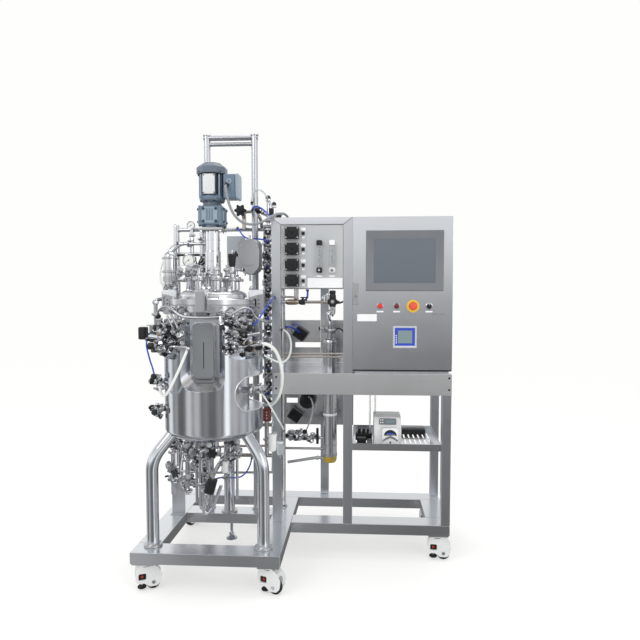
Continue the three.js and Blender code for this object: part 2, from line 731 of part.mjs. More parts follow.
// ---- Vessel ----
// A pocket let into the cladding: flat back, walls that flare out, open at the top.
function pocket(degrees, backHalf, frontHalf, floor, flare, corner) {
  const top = claddingTop + 18;
  const ring = (radius, half, bottom) => [
    [half, top], [-half, top], [half, bottom + corner], [-half, bottom + corner],
    [half - corner * 0.75, bottom], [-half + corner * 0.75, bottom],
  ].map(([side, z]) => new THREE.Vector3(radius, side, z));
  const points = [...ring(pocketRadius, backHalf, floor),
    ...ring(claddingRadius + 12, frontHalf, floor - flare)];
  return turnedToAngle(solid(new ConvexGeometry(points)), degrees);
}

const sidePortAngles = [-140, -40];
const sidePortZ = [1112, 1186];
const lowerPort = { degrees: -24, z: 903 };
const lowerSlot = { degrees: [-29, 15], half: 86 };
const leftPort = { degrees: 196, z: [812, 938] };

// A short port with a clamp ferrule, pointing out from the vessel.
function port(degrees, z, from, to, radius = 16) {
  return join(rod(aroundVessel(from, degrees, z), aroundVessel(to, degrees, z), radius),
    rod(aroundVessel(to - 8, degrees, z), aroundVessel(to, degrees, z), radius + 8));
}

function claddingProfile(grow = 0) {
  return [...dish(claddingRadius + grow, vesselBottom - grow, vesselBottom + vesselDishDepth),
    [claddingRadius + grow, claddingTop - 8], [claddingRadius - 8 + grow, claddingTop + grow]];
}

// A slot round the cladding with half-round ends, as deep as the pockets.
function claddingSlot({ degrees, half }, z) {
  const span = [z - half, z + half];
  const outer = claddingRadius + 20;
  const ring = turned([[pocketRadius, span[0]], [outer, span[0]], [outer, span[1]],
    [pocketRadius, span[1]], [pocketRadius, span[0]]], [vesselX, vesselY], 48);
  const wedge = solid(new ConvexGeometry(span.flatMap((level) => [[0, degrees[0]],
    ...degrees.map((angle) => [2 * outer, angle])].map(
    ([radius, angle]) => new THREE.Vector3(...aroundVessel(radius, angle, level))))));
  const ends = degrees.map((angle) => rod(aroundVessel(pocketRadius, angle, z),
    aroundVessel(outer, angle, z), half, 24));
  return join(ring.intersect(wedge), ends);
}

// The pressure vessel itself: a dished cup with its neck and body flange.
const shoulderZ = claddingTop + 16;
function coreProfile(grow = 0) {
  const bottom = vesselBottom + claddingFloor;
  return dish(coreRadius + grow, bottom - grow, vesselBottom + vesselDishDepth + claddingFloor);
}

function vesselBody() {
  const outside = [...coreProfile(), [coreRadius, shoulderZ], [neckRadius, shoulderZ],
    [neckRadius, bodyFlange[0]], [flangeRadius, bodyFlange[0]], [flangeRadius, bodyFlange[1]]];
  const inside = dish(boreRadius, boreBottom, boreBottom + boreDishDepth).reverse();
  return turned([...outside, [boreRadius, bodyFlange[1]], ...inside], [vesselX, vesselY], 32);
}
node('vessel_body', vesselBody(), polishedSteel);

// The insulated cladding round the cup, with its pockets, ports and hose seats.
function vesselCladding() {
  const inside = [[coreRadius + gap, claddingTop], ...coreProfile(gap).reverse()];
  const shell = turned([...claddingProfile(), ...inside], [vesselX, vesselY], 32);
  const portStart = coreRadius + gap + 1;
  const ports = [
    ...sidePortAngles.flatMap((a) => sidePortZ.map((z) => port(a, z, portStart, 206))),
    port(lowerPort.degrees, lowerPort.z, portStart, 222),
    ...leftPort.z.map((z) => port(leftPort.degrees, z, claddingRadius - 5, claddingRadius + 24, 12)),
  ];
  const sampleValves = leftPort.z.map((z) => handValve(
    aroundVessel(claddingRadius + 22, leftPort.degrees, z), [-1, -0.4, 0.1], 52));
  const hoseEnds = [leftHose, rightHose].map((hose) => runOn(hose.slice().reverse(), 16));
  const hoseSeats = [
    pipeRun([aroundVessel(claddingRadius - 4, 200, 942), ...hoseEnds[0]], 8),
    pipeRun([aroundVessel(claddingRadius - 4, 22, 806), ...hoseEnds[1]], 9),
  ];
  const recessed = cut(shell, pocket(-90, 67, 104, 944, 30, 28),
    sidePortAngles.map((a) => pocket(a, 60, 82, 1062, 12, 14)),
    claddingSlot(lowerSlot, lowerPort.z));
  return withoutVoids(join(recessed, ports, sampleValves, hoseSeats));
}
node('vessel_cladding', vesselCladding(), polishedSteel);

function sightGlass() {
  const half = glassSize[0] / 2;
  const round = 20;
  const shape = new THREE.Shape();
  shape.absarc(half - round, round, round, -Math.PI / 2, 0);
  shape.absarc(half - round, glassSize[1] - round, round, 0, Math.PI / 2);
  shape.absarc(round - half, glassSize[1] - round, round, Math.PI / 2, Math.PI);
  shape.absarc(round - half, round, round, Math.PI, 1.5 * Math.PI);
  const sheet = new THREE.ExtrudeGeometry(shape, {
    depth: glassProud, bevelEnabled: false, curveSegments: 4,
  });
  const back = vesselY - pocketRadius - gap;
  return solid(sheet.rotateX(Math.PI / 2).translate(vesselX, back, glassBottom));
}
node('sight_glass', sightGlass(), greyPlastic);

const gasketZ = [bodyFlange[1], bodyFlange[1] + gasketThickness];
node('lid_gasket', turned([[boreRadius + 4, gasketZ[0]], [flangeRadius - 4, gasketZ[0]],
  [flangeRadius - 4, gasketZ[1]], [boreRadius + 4, gasketZ[1]], [boreRadius + 4, gasketZ[0]]],
[vesselX, vesselY], 24), silicone);

const lidBottom = gasketZ[1];
const lidRim = lidBottom + lidFlangeThickness;
function nozzlePlace(index) {
  return aroundVessel(nozzleCircle, (index + 0.5) * 360 / nozzleCount, 0).slice(0, 2);
}

function vesselLid() {
  const throat = shaftRadius + 3;
  const collar = 36;
  const outside = dish(neckRadius, lidRim + domeHeight, lidRim, collar);
  const inside = dish(boreRadius, lidBottom + domeInnerHeight, lidBottom, throat).reverse();
  const bell = turned([[throat, neckTop], [collar + 8, neckTop], [collar + 8, neckTop - 12],
    [collar, neckTop - 18], ...outside, [flangeRadius, lidRim], [flangeRadius, lidBottom],
    ...inside, [throat, neckTop]], [vesselX, vesselY], 24);
  const nozzles = Array.from({ length: nozzleCount }, (_, i) => {
    const [x, y] = nozzlePlace(i);
    return turned([[0, lidRim + 18], [nozzleRadius, lidRim + 18], [nozzleRadius, ferruleZ],
      [ferruleRadius, ferruleZ], [ferruleRadius - 4, capTop], [0, capTop]], [x, y], 8);
  });
  const [probeX, probeY] = nozzlePlace(7);
  const probe = join(rod([probeX, probeY, capTop - 2], [probeX, probeY, 1482], 15),
    rod([probeX, probeY, 1480], [probeX, probeY, 1545], 14, 14, 19));
  return join(bell, nozzles, probe);
}
node('vessel_lid', vesselLid(), polishedSteel);

function lidClamp() {
  const jaw = neckRadius + 6;
  const back = flangeRadius + gap;
  const outline = [[jaw, lidRim + gap], [jaw, lidRim + 28], [jaw + 14, lidRim + 44],
    [clampReach - 7, lidRim + 44], [clampReach, lidRim + 36], [clampReach, bodyFlange[0] + 2],
    [clampReach - 14, claddingTop + 17], [jaw, claddingTop + 17], [jaw, bodyFlange[0] - gap],
    [back, bodyFlange[0] - gap], [back, lidRim + gap]];
  return plate(outline, clampWidth);
}
const clampAngles = { front: -90, right: 0, back: 90, left: 180 };
for (const [place, degrees] of Object.entries(clampAngles)) {
  const seat = new THREE.Group();
  seat.position.set(vesselX, vesselY, 0);
  seat.rotation.z = THREE.MathUtils.degToRad(degrees);
  skid.add(seat);
  node(`lid_clamp_${place}`, lidClamp(), brushedSteel, seat);
}

function leg(degrees) {
  const bend = [[legCircle, railTop + 6], [legCircle, 330], [legCircle, 450], [legCircle, 545],
    [legCircle - 14, 605], [legCircle - 52, 660], [legCircle - 104, 706], [legCircle - 150, 742]]
    .map(([radius, z]) => aroundVessel(radius, degrees, z));
  const [x, y] = bend[0];
  const flange = rod([x, y, railTop], [x, y, railTop + 10], legFlangeRadius, 20);
  const clearance = turned([...claddingProfile(gap), [0, claddingTop + gap]],
    [vesselX, vesselY], 32);
  return cut(join(bentTube(bend, legRadius, 5, 10), flange), clearance);
}
const legAngles = { front_left: -150, front_right: -30, back: 90 };
for (const [place, degrees] of Object.entries(legAngles)) {
  node(`leg_${place}`, leg(degrees), brushedSteel);
}

// ---- Stirrer and drive ----
function stirrer() {
  const shaft = rod([vesselX, vesselY, shaftBottom],
    [vesselX, vesselY, lanternPlateZ[1] + shaftSocket - gap], shaftRadius, 12);
  const wheels = impellerZ.map((z) => join(
    rod([vesselX, vesselY, z - 2], [vesselX, vesselY, z + 2], impellerRadius - 12, 12),
    rod([vesselX, vesselY, z - 14], [vesselX, vesselY, z + 14], shaftRadius + 8),
    [0, 60, 120].map((degrees) => block([-impellerRadius, impellerRadius], [-1.5, 1.5], [z - 10, z + 10])
      .rotate([0, 0, degrees]).translate([vesselX, vesselY, 0]))));
  return join(shaft, wheels);
}
node('stirrer', stirrer(), polishedSteel);

const standBore = shaftRadius + 4;
const plateHalf = 55;
function motorStand() {
  const [plateBottom, plateTop] = lanternPlateZ;
  const lantern = turned([[0, neckTop], [44, neckTop], [44, neckTop + 14], [36, neckTop + 18],
    [36, 1545], [32, 1549], [32, plateBottom + 1], [0, plateBottom + 1]], [vesselX, vesselY], 16);
  const top = block([vesselX - plateHalf, vesselX + plateHalf],
    [vesselY - plateHalf, vesselY + plateHalf], [plateBottom, plateTop]);
  return cut(join(lantern, top), rod([vesselX, vesselY, neckTop - 1],
    [vesselX, vesselY, plateTop + 1], standBore, 16));
}
node('motor_stand', motorStand(), polishedSteel);

function gearbox() {
  const base = lanternPlateZ[1];
  const collar = rod([vesselX, vesselY, base], [vesselX, vesselY, base + 14], 50, 20);
  const box = chamferedBlock([vesselX - gearboxHalf, vesselX + gearboxHalf],
    [vesselY - gearboxHalf, vesselY + gearboxHalf], [base + 12, gearboxTop - 10], 14);
  const flange = rod([vesselX, vesselY, gearboxTop - 12], [vesselX, vesselY, gearboxTop], 54, 20);
  const socket = rod([vesselX, vesselY, base - 1], [vesselX, vesselY, base + shaftSocket],
    runningBore(shaftRadius, 12), 12);
  return cut(join(collar, box, flange), socket);
}
node('gearbox', gearbox(), motorEnamel);

const finCount = 16;
function motor() {
  const shape = new THREE.Shape(Array.from({ length: finCount * 4 }, (_, i) => {
    const radius = i % 4 < 2 ? motorRadius : motorRadius - 7;
    const angle = 2 * Math.PI * (i + 0.5 * (i % 2)) / (finCount * 4);
    return new THREE.Vector2(radius * Math.cos(angle), radius * Math.sin(angle));
  }));
  const ribbed = solid(new THREE.ExtrudeGeometry(shape, {
    depth: motorBodyTop - gearboxTop, bevelEnabled: false,
  }).translate(vesselX, vesselY, gearboxTop));
  const cowl = turned([[0, motorBodyTop - 1], [cowlRadius, motorBodyTop - 1],
    [cowlRadius, motorTop - 19], [cowlRadius - 21, motorTop], [0, motorTop]], [vesselX, vesselY], 16);
  const namePlate = block([vesselX - 26, vesselX + 26],
    [vesselY - motorRadius - 3, vesselY - 40], [gearboxTop + 14, motorBodyTop]);
  return join(ribbed, cowl, namePlate);
}
node('motor', motor(), motorEnamel);

const terminalBoxX = [vesselX + motorRadius + gap, vesselX + motorRadius + 71];
const terminalBoxY = [vesselY - 48, vesselY + 42];
const terminalBoxZ = [1783, motorBodyTop - 1 - gap];
function terminalBox() {
  const box = chamferedBlock(terminalBoxX, terminalBoxY, terminalBoxZ, 7);
  return join(box, rod(...runOn(motorCable, 24), 11));
}

// ---- Hoist frame and pipe rack ----
const condenser = { x: 475, y: 450, radius: 56, z: [1444, 1625] };
function hoistFrame() {
  const posts = hoistPostX.map((x) => join(
    rod([x, hoistY, railTop], [x, hoistY, hoistTop], hoistRadius, 12),
    rod([x, hoistY, hoistTop - 4], [x, hoistY, hoistTop + 5], hoistRadius + 5, 12)));
  const [left, right] = hoistPostX;
  const bars = [
    rod([left - 18, hoistY, hoistTop - 14], [right + 18, hoistY, hoistTop - 14], hoistBarRadius),
    ...[hoistTop - 47, hoistLowBarZ].map((z) => rod([left, hoistY, z], [right, hoistY, z],
      hoistThinBarRadius)),
  ];
  const arm = rod([condenser.x, hoistY, condenserArmZ],
    [condenser.x, condenser.y + condenser.radius + gap, condenserArmZ], hoistThinBarRadius);
  return join(posts, bars, arm);
}
node('hoist_frame', hoistFrame(), brushedSteel);

const airFilter = { x: 95, y: 340, radius: 34, z: [1372, 1560] };
const rackArmZ = 1420;
function pipeRack() {
  const posts = rackPostX.map((postX) => join(
    rod([postX, rackY, railTop], [postX, rackY, rackTop], rackPostRadius, 10),
    rod([postX, rackY, rackTop], [postX, rackY, rackTop + 12], rackPostRadius, 10, 8)));
  const tubes = rackTubeZ.map((tubeZ) => rod([rackPostX[0], rackY, tubeZ],
    [rackPostX[1], rackY, tubeZ], rackTubeRadius));
  const risers = riserX.map((riser) => rod([riser, rackY, rackTubeZ[3]],
    [riser, rackY, rackTubeZ[0]], 12, 6));
  const ties = hoistPostX.map((postX) => block([postX - 10, postX + 10],
    [hoistY + hoistRadius + gap, rackY], [rackTubeZ[0] - 12, rackTubeZ[0] + 12]));
  const arm = pipeRun([[riserX[0], rackY, rackArmZ], [airFilter.x, rackY - 60, rackArmZ],
    [airFilter.x, airFilter.y + airFilter.radius + gap, rackArmZ]], 8);
  const { x, z, reach } = topValve;
  const valve = join(
    pipeRun([[x, rackY, rackTubeZ[0]], [x, rackY, z], [x, rackY - reach + 14, z]], 12),
    rod([x, rackY - reach + 24, z], [x, rackY - reach, z], 20, 16));
  return join(posts, tubes, risers, ties, arm, valve);
}
node('pipe_rack', pipeRack(), brushedSteel);

// A star knob about the Y axis, facing the front.
function starKnob([x, y, z], radius, depth) {
  const shape = new THREE.Shape(Array.from({ length: 24 }, (_, i) => {
    const angle = 2 * Math.PI * i / 24;
    const lobe = radius * (0.86 + 0.14 * Math.cos(6 * angle));
    return new THREE.Vector2(lobe * Math.cos(angle), lobe * Math.sin(angle));
  }));
  const knob = new THREE.ExtrudeGeometry(shape, { depth, bevelEnabled: false });
  return solid(knob.rotateX(Math.PI / 2).translate(x, y, z));
}
node('top_valve_knob', starKnob([topValve.x, rackY - topValve.reach - gap, topValve.z],
  topKnob.radius, topKnob.depth), darkPlastic);

function airFilterHousing() {
  const [bottom, top] = airFilter.z;
  const { x, y, radius } = airFilter;
  return join(turned([[0, bottom], [20, bottom], [radius, bottom + 18], [radius, top - 30],
    [radius - 8, top - 10], [10, top], [0, top]], [x, y], 16),
  rod([x, y, bottom + 78], [x, y, bottom + 90], radius + 8, 16),
  rod([x, y, bottom - 34], [x, y, bottom + 4], 9));
}
node('air_filter', airFilterHousing(), polishedSteel);

function exhaustCondenser() {
  const { x, y, radius, z: [bottom, top] } = condenser;
  return join(
    turned([...dish(radius, bottom, bottom + 30), ...dish(radius, top, top - 16).reverse()], [x, y], 18),
    rod([x, y, bottom - 30], [x, y, bottom + 6], 12), rod([x, y, top - 4], [x, y, top + 20], 12));
}
node('exhaust_condenser', exhaustCondenser(), brushedSteel);

function pressureGauge() {
  const [x, y] = nozzlePlace(3);
  const dialX = x - 28;
  const dialZ = 1508;
  return join(rod([x, y, capTop], [x, y, capTop + 14], 13, 6), rod([x, y, capTop], [x, y, capTop + 26], 7),
    rod([x, y, capTop + 24], [dialX, y, dialZ - 20], 7),
    rod([dialX, y - 11, dialZ], [dialX, y + 13, dialZ], 30, 16));
}
node('pressure_gauge', pressureGauge(), polishedSteel);

// ---- Drain ----
const drainZ = 598;
const drainReach = 46;
function drainValve() {
  const axis = [vesselX, vesselY];
  const outlet = pipeRun([[...axis, drainZ], [264, vesselY, drainZ], [264, vesselY, 312],
    [286, vesselY + 30, 300], [286, vesselY + 70, 420], [286, rackY - rackTubeRadius - gap - 6, 470]], 11);
  return join(outlet, ball([...axis, drainZ], 30, 10),
    rod([...axis, drainZ], [...axis, vesselBottom - gap], 18),
    rod([...axis, vesselBottom - gap - 14], [...axis, vesselBottom - gap], 30, 12),
    rod([...axis, drainZ], [vesselX, vesselY - drainReach, drainZ], 10));
}
node('drain_valve', drainValve(), polishedSteel);
node('drain_knob', starKnob([vesselX, vesselY - drainReach - gap, drainZ],
  drainKnob.radius, drainKnob.depth), darkPlastic);

// ---- Valve trees on the vessel's ports ----
// A small diaphragm valve with its hand knob, from its seat outwards.
function handValve(seat, direction, length = 46) {
  const start = new THREE.Vector3(...seat);
  const way = new THREE.Vector3(...direction).normalize();
  const at = (distance) => start.clone().addScaledVector(way, distance).toArray();
  return join(rod(seat, at(length), 10, 6), rod(at(length - 24), at(length), 16, 6));
}

const treeStart = 206 + gap;
function valveTree(degrees, along) {
  const hub = aroundVessel(262, degrees, 0).slice(0, 2);
  const spurs = sidePortZ.map((z) => rod(aroundVessel(treeStart, degrees, z), [...hub, z], 12));
  return join(spurs, rod([...hub, 1082], [...hub, 1226], 13),
    handValve([...hub, 1220], [0.25 * along, -0.3, 1], 34),
    handValve([...hub, 1186], [0.3 * along, -1, 0.3]),
    handValve([...hub, 1150], [-0.9 * along, -0.5, 0]),
    handValve([...hub, 1112], [0.2 * along, -1, -0.2], 50),
    handValve([...hub, 1112], [along, -0.1, 0], 60),
    handValve([...hub, 1086], [-0.8 * along, -0.6, -0.2], 44));
}

function leftTree() {
  const degrees = sidePortAngles[0];
  const hub = aroundVessel(262, degrees, 0).slice(0, 2);
  const { x, y, z } = airFilter;
  return join(valveTree(degrees, -1),
    pipeRun([[...hub, 1106], [220, -14, 1116], ...runOn(leftHose, 16)], 8),
    pipeRun([[...hub, 1150], [55, 150, 1150], [55, vesselY, 1150], [55, vesselY, z[0] - 56],
      [55, y - 40, z[0] - 50], [x, y, z[0] - 50], [x, y, z[0] - 34 - gap]], 10),
    rod([55, vesselY, 1150], [-6, vesselY, 1150], 12),
    rod([12, vesselY, 1150], [-38, vesselY, 1150], 22, 16));
}
node('valve_tree_left', withoutVoids(leftTree()), polishedSteel);

function rightTree() {
  const degrees = sidePortAngles[1];
  const hub = aroundVessel(262, degrees, 0).slice(0, 2);
  return join(valveTree(degrees, 1), pipeRun([[...hub, 1130], ...runOn(rightHose, 16)], 9));
}
node('valve_tree_right', withoutVoids(rightTree()), polishedSteel);
node('terminal_box', terminalBox(), motorEnamel);

// ---- Hoses and the motor lead ----
node('hose_left', bentTube(leftHose, 6, 4, 14), silicone);
node('hose_right', bentTube(rightHose, 8, 4, 15), silicone);
node('motor_cable', bentTube(motorCable, 6, 4, 24), greyPlastic);

// The group stands centred on its own footprint, at a whole millimetre.
const extent = new THREE.Box3().setFromObject(skid);
const centre = extent.getCenter(new THREE.Vector3());
skid.position.set(-Math.round(centre.x), -Math.round(centre.y), 0);
skid.updateMatrixWorld(true);

export default skid;
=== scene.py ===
import math

import bpy
import numpy as np
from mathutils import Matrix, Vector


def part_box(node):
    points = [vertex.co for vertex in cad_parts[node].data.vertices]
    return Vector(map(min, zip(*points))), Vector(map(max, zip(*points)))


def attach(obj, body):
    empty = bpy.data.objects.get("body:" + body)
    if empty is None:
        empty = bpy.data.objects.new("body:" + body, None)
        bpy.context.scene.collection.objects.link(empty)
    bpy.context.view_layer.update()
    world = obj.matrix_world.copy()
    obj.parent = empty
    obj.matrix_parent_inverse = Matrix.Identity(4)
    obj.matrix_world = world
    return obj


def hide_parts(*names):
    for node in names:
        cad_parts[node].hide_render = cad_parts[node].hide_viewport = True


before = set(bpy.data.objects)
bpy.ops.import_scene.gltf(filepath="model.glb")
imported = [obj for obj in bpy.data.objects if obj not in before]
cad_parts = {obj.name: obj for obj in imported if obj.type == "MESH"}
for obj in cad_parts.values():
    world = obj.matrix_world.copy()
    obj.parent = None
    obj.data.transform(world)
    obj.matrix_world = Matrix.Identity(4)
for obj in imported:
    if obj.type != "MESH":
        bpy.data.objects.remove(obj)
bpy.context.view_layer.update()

# Shapes are worked out in millimetres from the skid's front left corner, heights from the floor,
# and go into the frame, in metres, when they become a mesh.
skidCorner = np.array(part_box("base_frame")[0]) * (1, 1, 0)


def inFrame(points):
    return np.asarray(points, float) * 0.001 + skidCorner


def boxOf(node):
    # lowest and highest corner of a CAD node, in skid millimetres
    return [(np.array(end) - skidCorner) * 1000 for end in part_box(node)]


# Every shape is a pair: its points, and a list of face arrays. A part is a shape with its material.

def unit(vector):
    vector = np.asarray(vector, float)
    return vector / np.linalg.norm(vector)


def squareTo(way):
    # two unit vectors square to a direction and to each other
    side = unit(np.cross((0, 0, 1) if abs(way[2]) < 0.9 else (1, 0, 0), way))
    return side, np.cross(way, side)


def outward(points, faces):
    # six times the volume is the sum over each face's fan of triangles; if it is negative all faces turn round
    faces = [group for group in faces if len(group)]
    volume = 0.0
    for group in faces:
        first = points[group[:, :1]]
        volume += (np.cross(points[group[:, 1:-1]] - first, points[group[:, 2:]] - first) * first).sum()
    return points, [group[:, ::-1] for group in faces] if volume < 0 else faces


def loft(rings, loop=False):
    # quads join each ring of points to the next; a ring shrunk to a point is one corner, open ends are flat caps
    rings = np.asarray(rings, float)
    count = rings.shape[1]
    shrunk = np.abs(rings - rings[:, :1]).max(axis=(1, 2)) < 1e-6
    points, ids, start = [], [], 0
    for ring, isPoint in zip(rings, shrunk):
        points.append(ring[:1] if isPoint else ring)
        ids.append(np.full(count, start) if isPoint else start + np.arange(count))
        start += 1 if isPoint else count
    ids = np.array(ids + ids[:1] if loop else ids)
    low, high = ids[:-1], ids[1:]
    quads = np.stack([low, np.roll(low, -1, 1), np.roll(high, -1, 1), high], -1).reshape(-1, 4)
    lowPoint, highPoint = quads[:, 0] == quads[:, 1], quads[:, 2] == quads[:, 3]
    quads, lowPoles, highPoles = (quads[mask] for mask in
                                  (~(lowPoint | highPoint), lowPoint & ~highPoint, highPoint & ~lowPoint))
    faces = [quads, lowPoles[:, [0, 2, 3]], highPoles[:, :3]]
    if not loop:
        faces += [] if shrunk[0] else [ids[:1, ::-1]]
        faces += [] if shrunk[-1] else [ids[-1:]]
    return outward(np.concatenate(points), faces)


def rounded(corners, radius, steps=4, closed=False):
    # each corner becomes an arc that touches both its legs; it takes at most 0.49 of a leg
    corners = np.asarray(corners, float)
    radii = np.broadcast_to(np.asarray(radius, float), len(corners))
    line = []
    for i, corner in enumerate(corners):
        ends = corners[i - 1] - corner, corners[(i + 1) % len(corners)] - corner
        lengths = [np.linalg.norm(end) for end in ends]
        fixed = radii[i] <= 0 or (not closed and i in (0, len(corners) - 1)) or min(lengths) < 1e-6
        half = 0 if fixed else math.acos(np.clip(ends[0] @ ends[1] / lengths[0] / lengths[1], -1, 1)) / 2
        if half < 0.02 or half > 1.56:
            line.append(corner)
            continue
        reach = min(radii[i] / math.tan(half), 0.49 * min(lengths))
        arc = reach * math.tan(half)
        first = corner + ends[0] / lengths[0] * reach
        centre = corner + unit(ends[0] / lengths[0] + ends[1] / lengths[1]) * arc / math.sin(half)
        u = unit(first - centre)
        v = corner + ends[1] / lengths[1] * reach - centre
        v = unit(v - u * (v @ u))
        for angle in np.linspace(0, math.pi - 2 * half, steps + 1):
            line.append(centre + arc * (u * math.cos(angle) + v * math.sin(angle)))
    return np.array(line)


def circle(radius, sides=24):
    angle = np.arange(sides) * 2 * math.pi / sides
    return np.stack([radius * np.cos(angle), radius * np.sin(angle)], -1)


def turn(profile, place=(0, 0, 0), way=(0, 0, 1), sides=32, loop=False):
    # (radius, height) pairs turned about a line through place along way
    profile = np.asarray(profile, float)
    way = unit(way)
    side, up = squareTo(way)
    ring = circle(1, sides)
    spokes = ring[:, :1] * side + ring[:, 1:] * up
    return loft(np.asarray(place, float) + profile[:, None, 1:] * way + profile[:, None, :1] * spokes, loop)


def rod(start, end, radius, sides=20, ease=0.0, endRadius=None):
    # a round bar between two points, with eased rims and an optional taper
    start, end = np.asarray(start, float), np.asarray(end, float)
    length = np.linalg.norm(end - start)
    last = radius if endRadius is None else endRadius
    ease = min(ease, 0.45 * radius, 0.45 * last, 0.45 * length)
    profile = [(0, 0), (radius, 0), (last, length), (0, length)]
    if ease > 0:
        profile[1:3] = [(radius - ease, 0), (radius, ease), (last, length - ease), (last - ease, length)]
    return turn(profile, start, end - start, sides)


def sweep(path, outline, loop=False):
    # an outline of (side, up) pairs carried along a line; its frame turns as little as it can from point to point
    path = np.asarray(path, float)
    ways = np.roll(path, -1, 0) - np.roll(path, 1, 0) if loop else np.gradient(path, axis=0)
    ways /= np.linalg.norm(ways, axis=1)[:, None]
    side, sides = squareTo(ways[0])[0], []
    for way in ways:
        side = unit(side - way * (side @ way))
        sides.append(side)
    sides = np.array(sides)
    ups = np.cross(ways, sides)
    outline = np.broadcast_to(outline, (len(path),) + np.shape(outline)[-2:])
    return loft(path[:, None] + outline[..., :1] * sides[:, None] + outline[..., 1:] * ups[:, None], loop)


def pipe(corners, radius, bend=None, sides=16, steps=6):
    # a round tube along straight legs with an arc at each corner
    bend = 2.4 * radius if bend is None else bend
    return sweep(rounded(corners, bend, steps), circle(radius, sides))


def smoothPath(points, steps=6):
    # centripetal Catmull-Rom: each stretch blends its four nearest points, spaced by the root of their distance
    points = np.asarray(points, float)
    points = np.vstack([2 * points[0] - points[1], points, 2 * points[-1] - points[-2]])
    line = []
    for i in range(1, len(points) - 2):
        p = points[i - 1:i + 3]
        t = np.concatenate([[0], np.cumsum(np.linalg.norm(np.diff(p, axis=0), axis=1) ** 0.5)])
        s = np.linspace(t[1], t[2], steps, endpoint=False)[:, None]
        for reach in (1, 2, 3):
            kept = range(3) if reach == 1 else (range(2) if reach == 2 else (1,))
            spans = [(k, k + reach) if reach < 3 else (1, 2) for k in kept]
            p = [(t[b] - s) / (t[b] - t[a]) * p[n] + (s - t[a]) / (t[b] - t[a]) * p[n + 1]
                 for n, (a, b) in enumerate(spans)]
        line.append(p[0])
    return np.vstack(line + [points[-2:-1]])


def inset(outline, amount):
    # each point moves in along the mitre of its two edges
    edge = np.roll(outline, -1, 0) - outline
    edge /= np.maximum(np.linalg.norm(edge, axis=1), 1e-9)[:, None]
    mitre = np.stack([-edge[:, 1], edge[:, 0]], -1)
    mitre = mitre + np.roll(mitre, 1, 0)
    return outline + amount * mitre / np.maximum((mitre ** 2).sum(1) / 2, 0.3)[:, None]


def slab(outline, thickness, place=(0, 0, 0), right=(1, 0, 0), up=(0, 1, 0), ease=1.0):
    # an anticlockwise outline given depth along right x up; both rims are eased by quarter rounds
    outline = np.asarray(outline, float)
    ease = min(ease, 0.45 * thickness)
    levels = [(ease * (1 - math.sin(a)), ease * (1 - math.cos(a))) for a in (0, 0.79, math.pi / 2)]
    levels = levels + [(inward, thickness - height) for inward, height in levels[::-1]]
    right, up = unit(right), unit(up)
    rings = [np.asarray(place, float) + line[:, :1] * right + line[:, 1:] * up + height * np.cross(right, up)
             for line, height in ((inset(outline, inward), height) for inward, height in levels)]
    return loft(rings)


def rectangle(x, z, corner=0.0, steps=3):
    return rounded([(x[0], z[0]), (x[1], z[0]), (x[1], z[1]), (x[0], z[1])], corner, steps, closed=True)


def box(x, y, z, ease=1.5, corner=None):
    # a block between pairs of limits, with eased edges
    corner = 1.3 * ease if corner is None else max(corner, 1.2 * ease)
    return slab(rectangle(x, y, corner), z[1] - z[0], (0, 0, z[0]), ease=ease)


def plate(x, z, y, ease=1.0, corner=2.0):
    # a block with its rounded outline facing the front; y is (front, back)
    return slab(rectangle(x, z, max(corner, 1.2 * ease)), y[1] - y[0], (0, y[1], 0), (1, 0, 0), (0, 0, 1), ease)


def put(parts, place, way=(0, 0, 1), facing=None):
    # parts modelled on their own Z axis, set down at a place along way, their X axis towards facing
    way = unit(way)
    side = squareTo(way)[0] if facing is None else unit(np.asarray(facing, float) - way * np.dot(facing, way))
    axes = np.array([side, np.cross(way, side), way])
    return [((points @ axes + place, faces), paint) for (points, faces), paint in parts]


def fillMesh(mesh, points, groups):
    # loops and polygons from arrays of faces that each have one number of corners
    loops = np.concatenate([group.ravel() for group in groups]).astype(np.int32)
    counts = np.concatenate([np.full(len(group), group.shape[1]) for group in groups]).astype(np.int32)
    mesh.vertices.add(len(points))
    mesh.vertices.foreach_set("co", np.asarray(points, np.float32).ravel())
    mesh.loops.add(len(loops))
    mesh.loops.foreach_set("vertex_index", loops)
    mesh.polygons.add(len(counts))
    mesh.polygons.foreach_set("loop_start", (np.cumsum(counts) - counts).astype(np.int32))
    mesh.update(calc_edges=True)


def meshOf(name, parts):
    # one mesh of many parts, with smooth faces and sharp edges where they fold
    points, groups, paints, materials, start = [], [], [], [], 0
    for (shapePoints, faces), material in parts:
        if material not in materials:
            materials.append(material)
        groups += [group + start for group in faces]
        paints += [np.full(len(group), materials.index(material)) for group in faces]
        points.append(shapePoints)
        start += len(shapePoints)
    mesh = bpy.data.meshes.new(name)
    fillMesh(mesh, inFrame(np.concatenate(points)), groups)
    for material in materials:
        mesh.materials.append(material)
    mesh.polygons.foreach_set("material_index", np.concatenate(paints).astype(np.int32))
    mesh.polygons.foreach_set("use_smooth", np.ones(len(mesh.polygons), bool))
    mesh.set_sharp_from_angle(angle=math.radians(42))
    return mesh


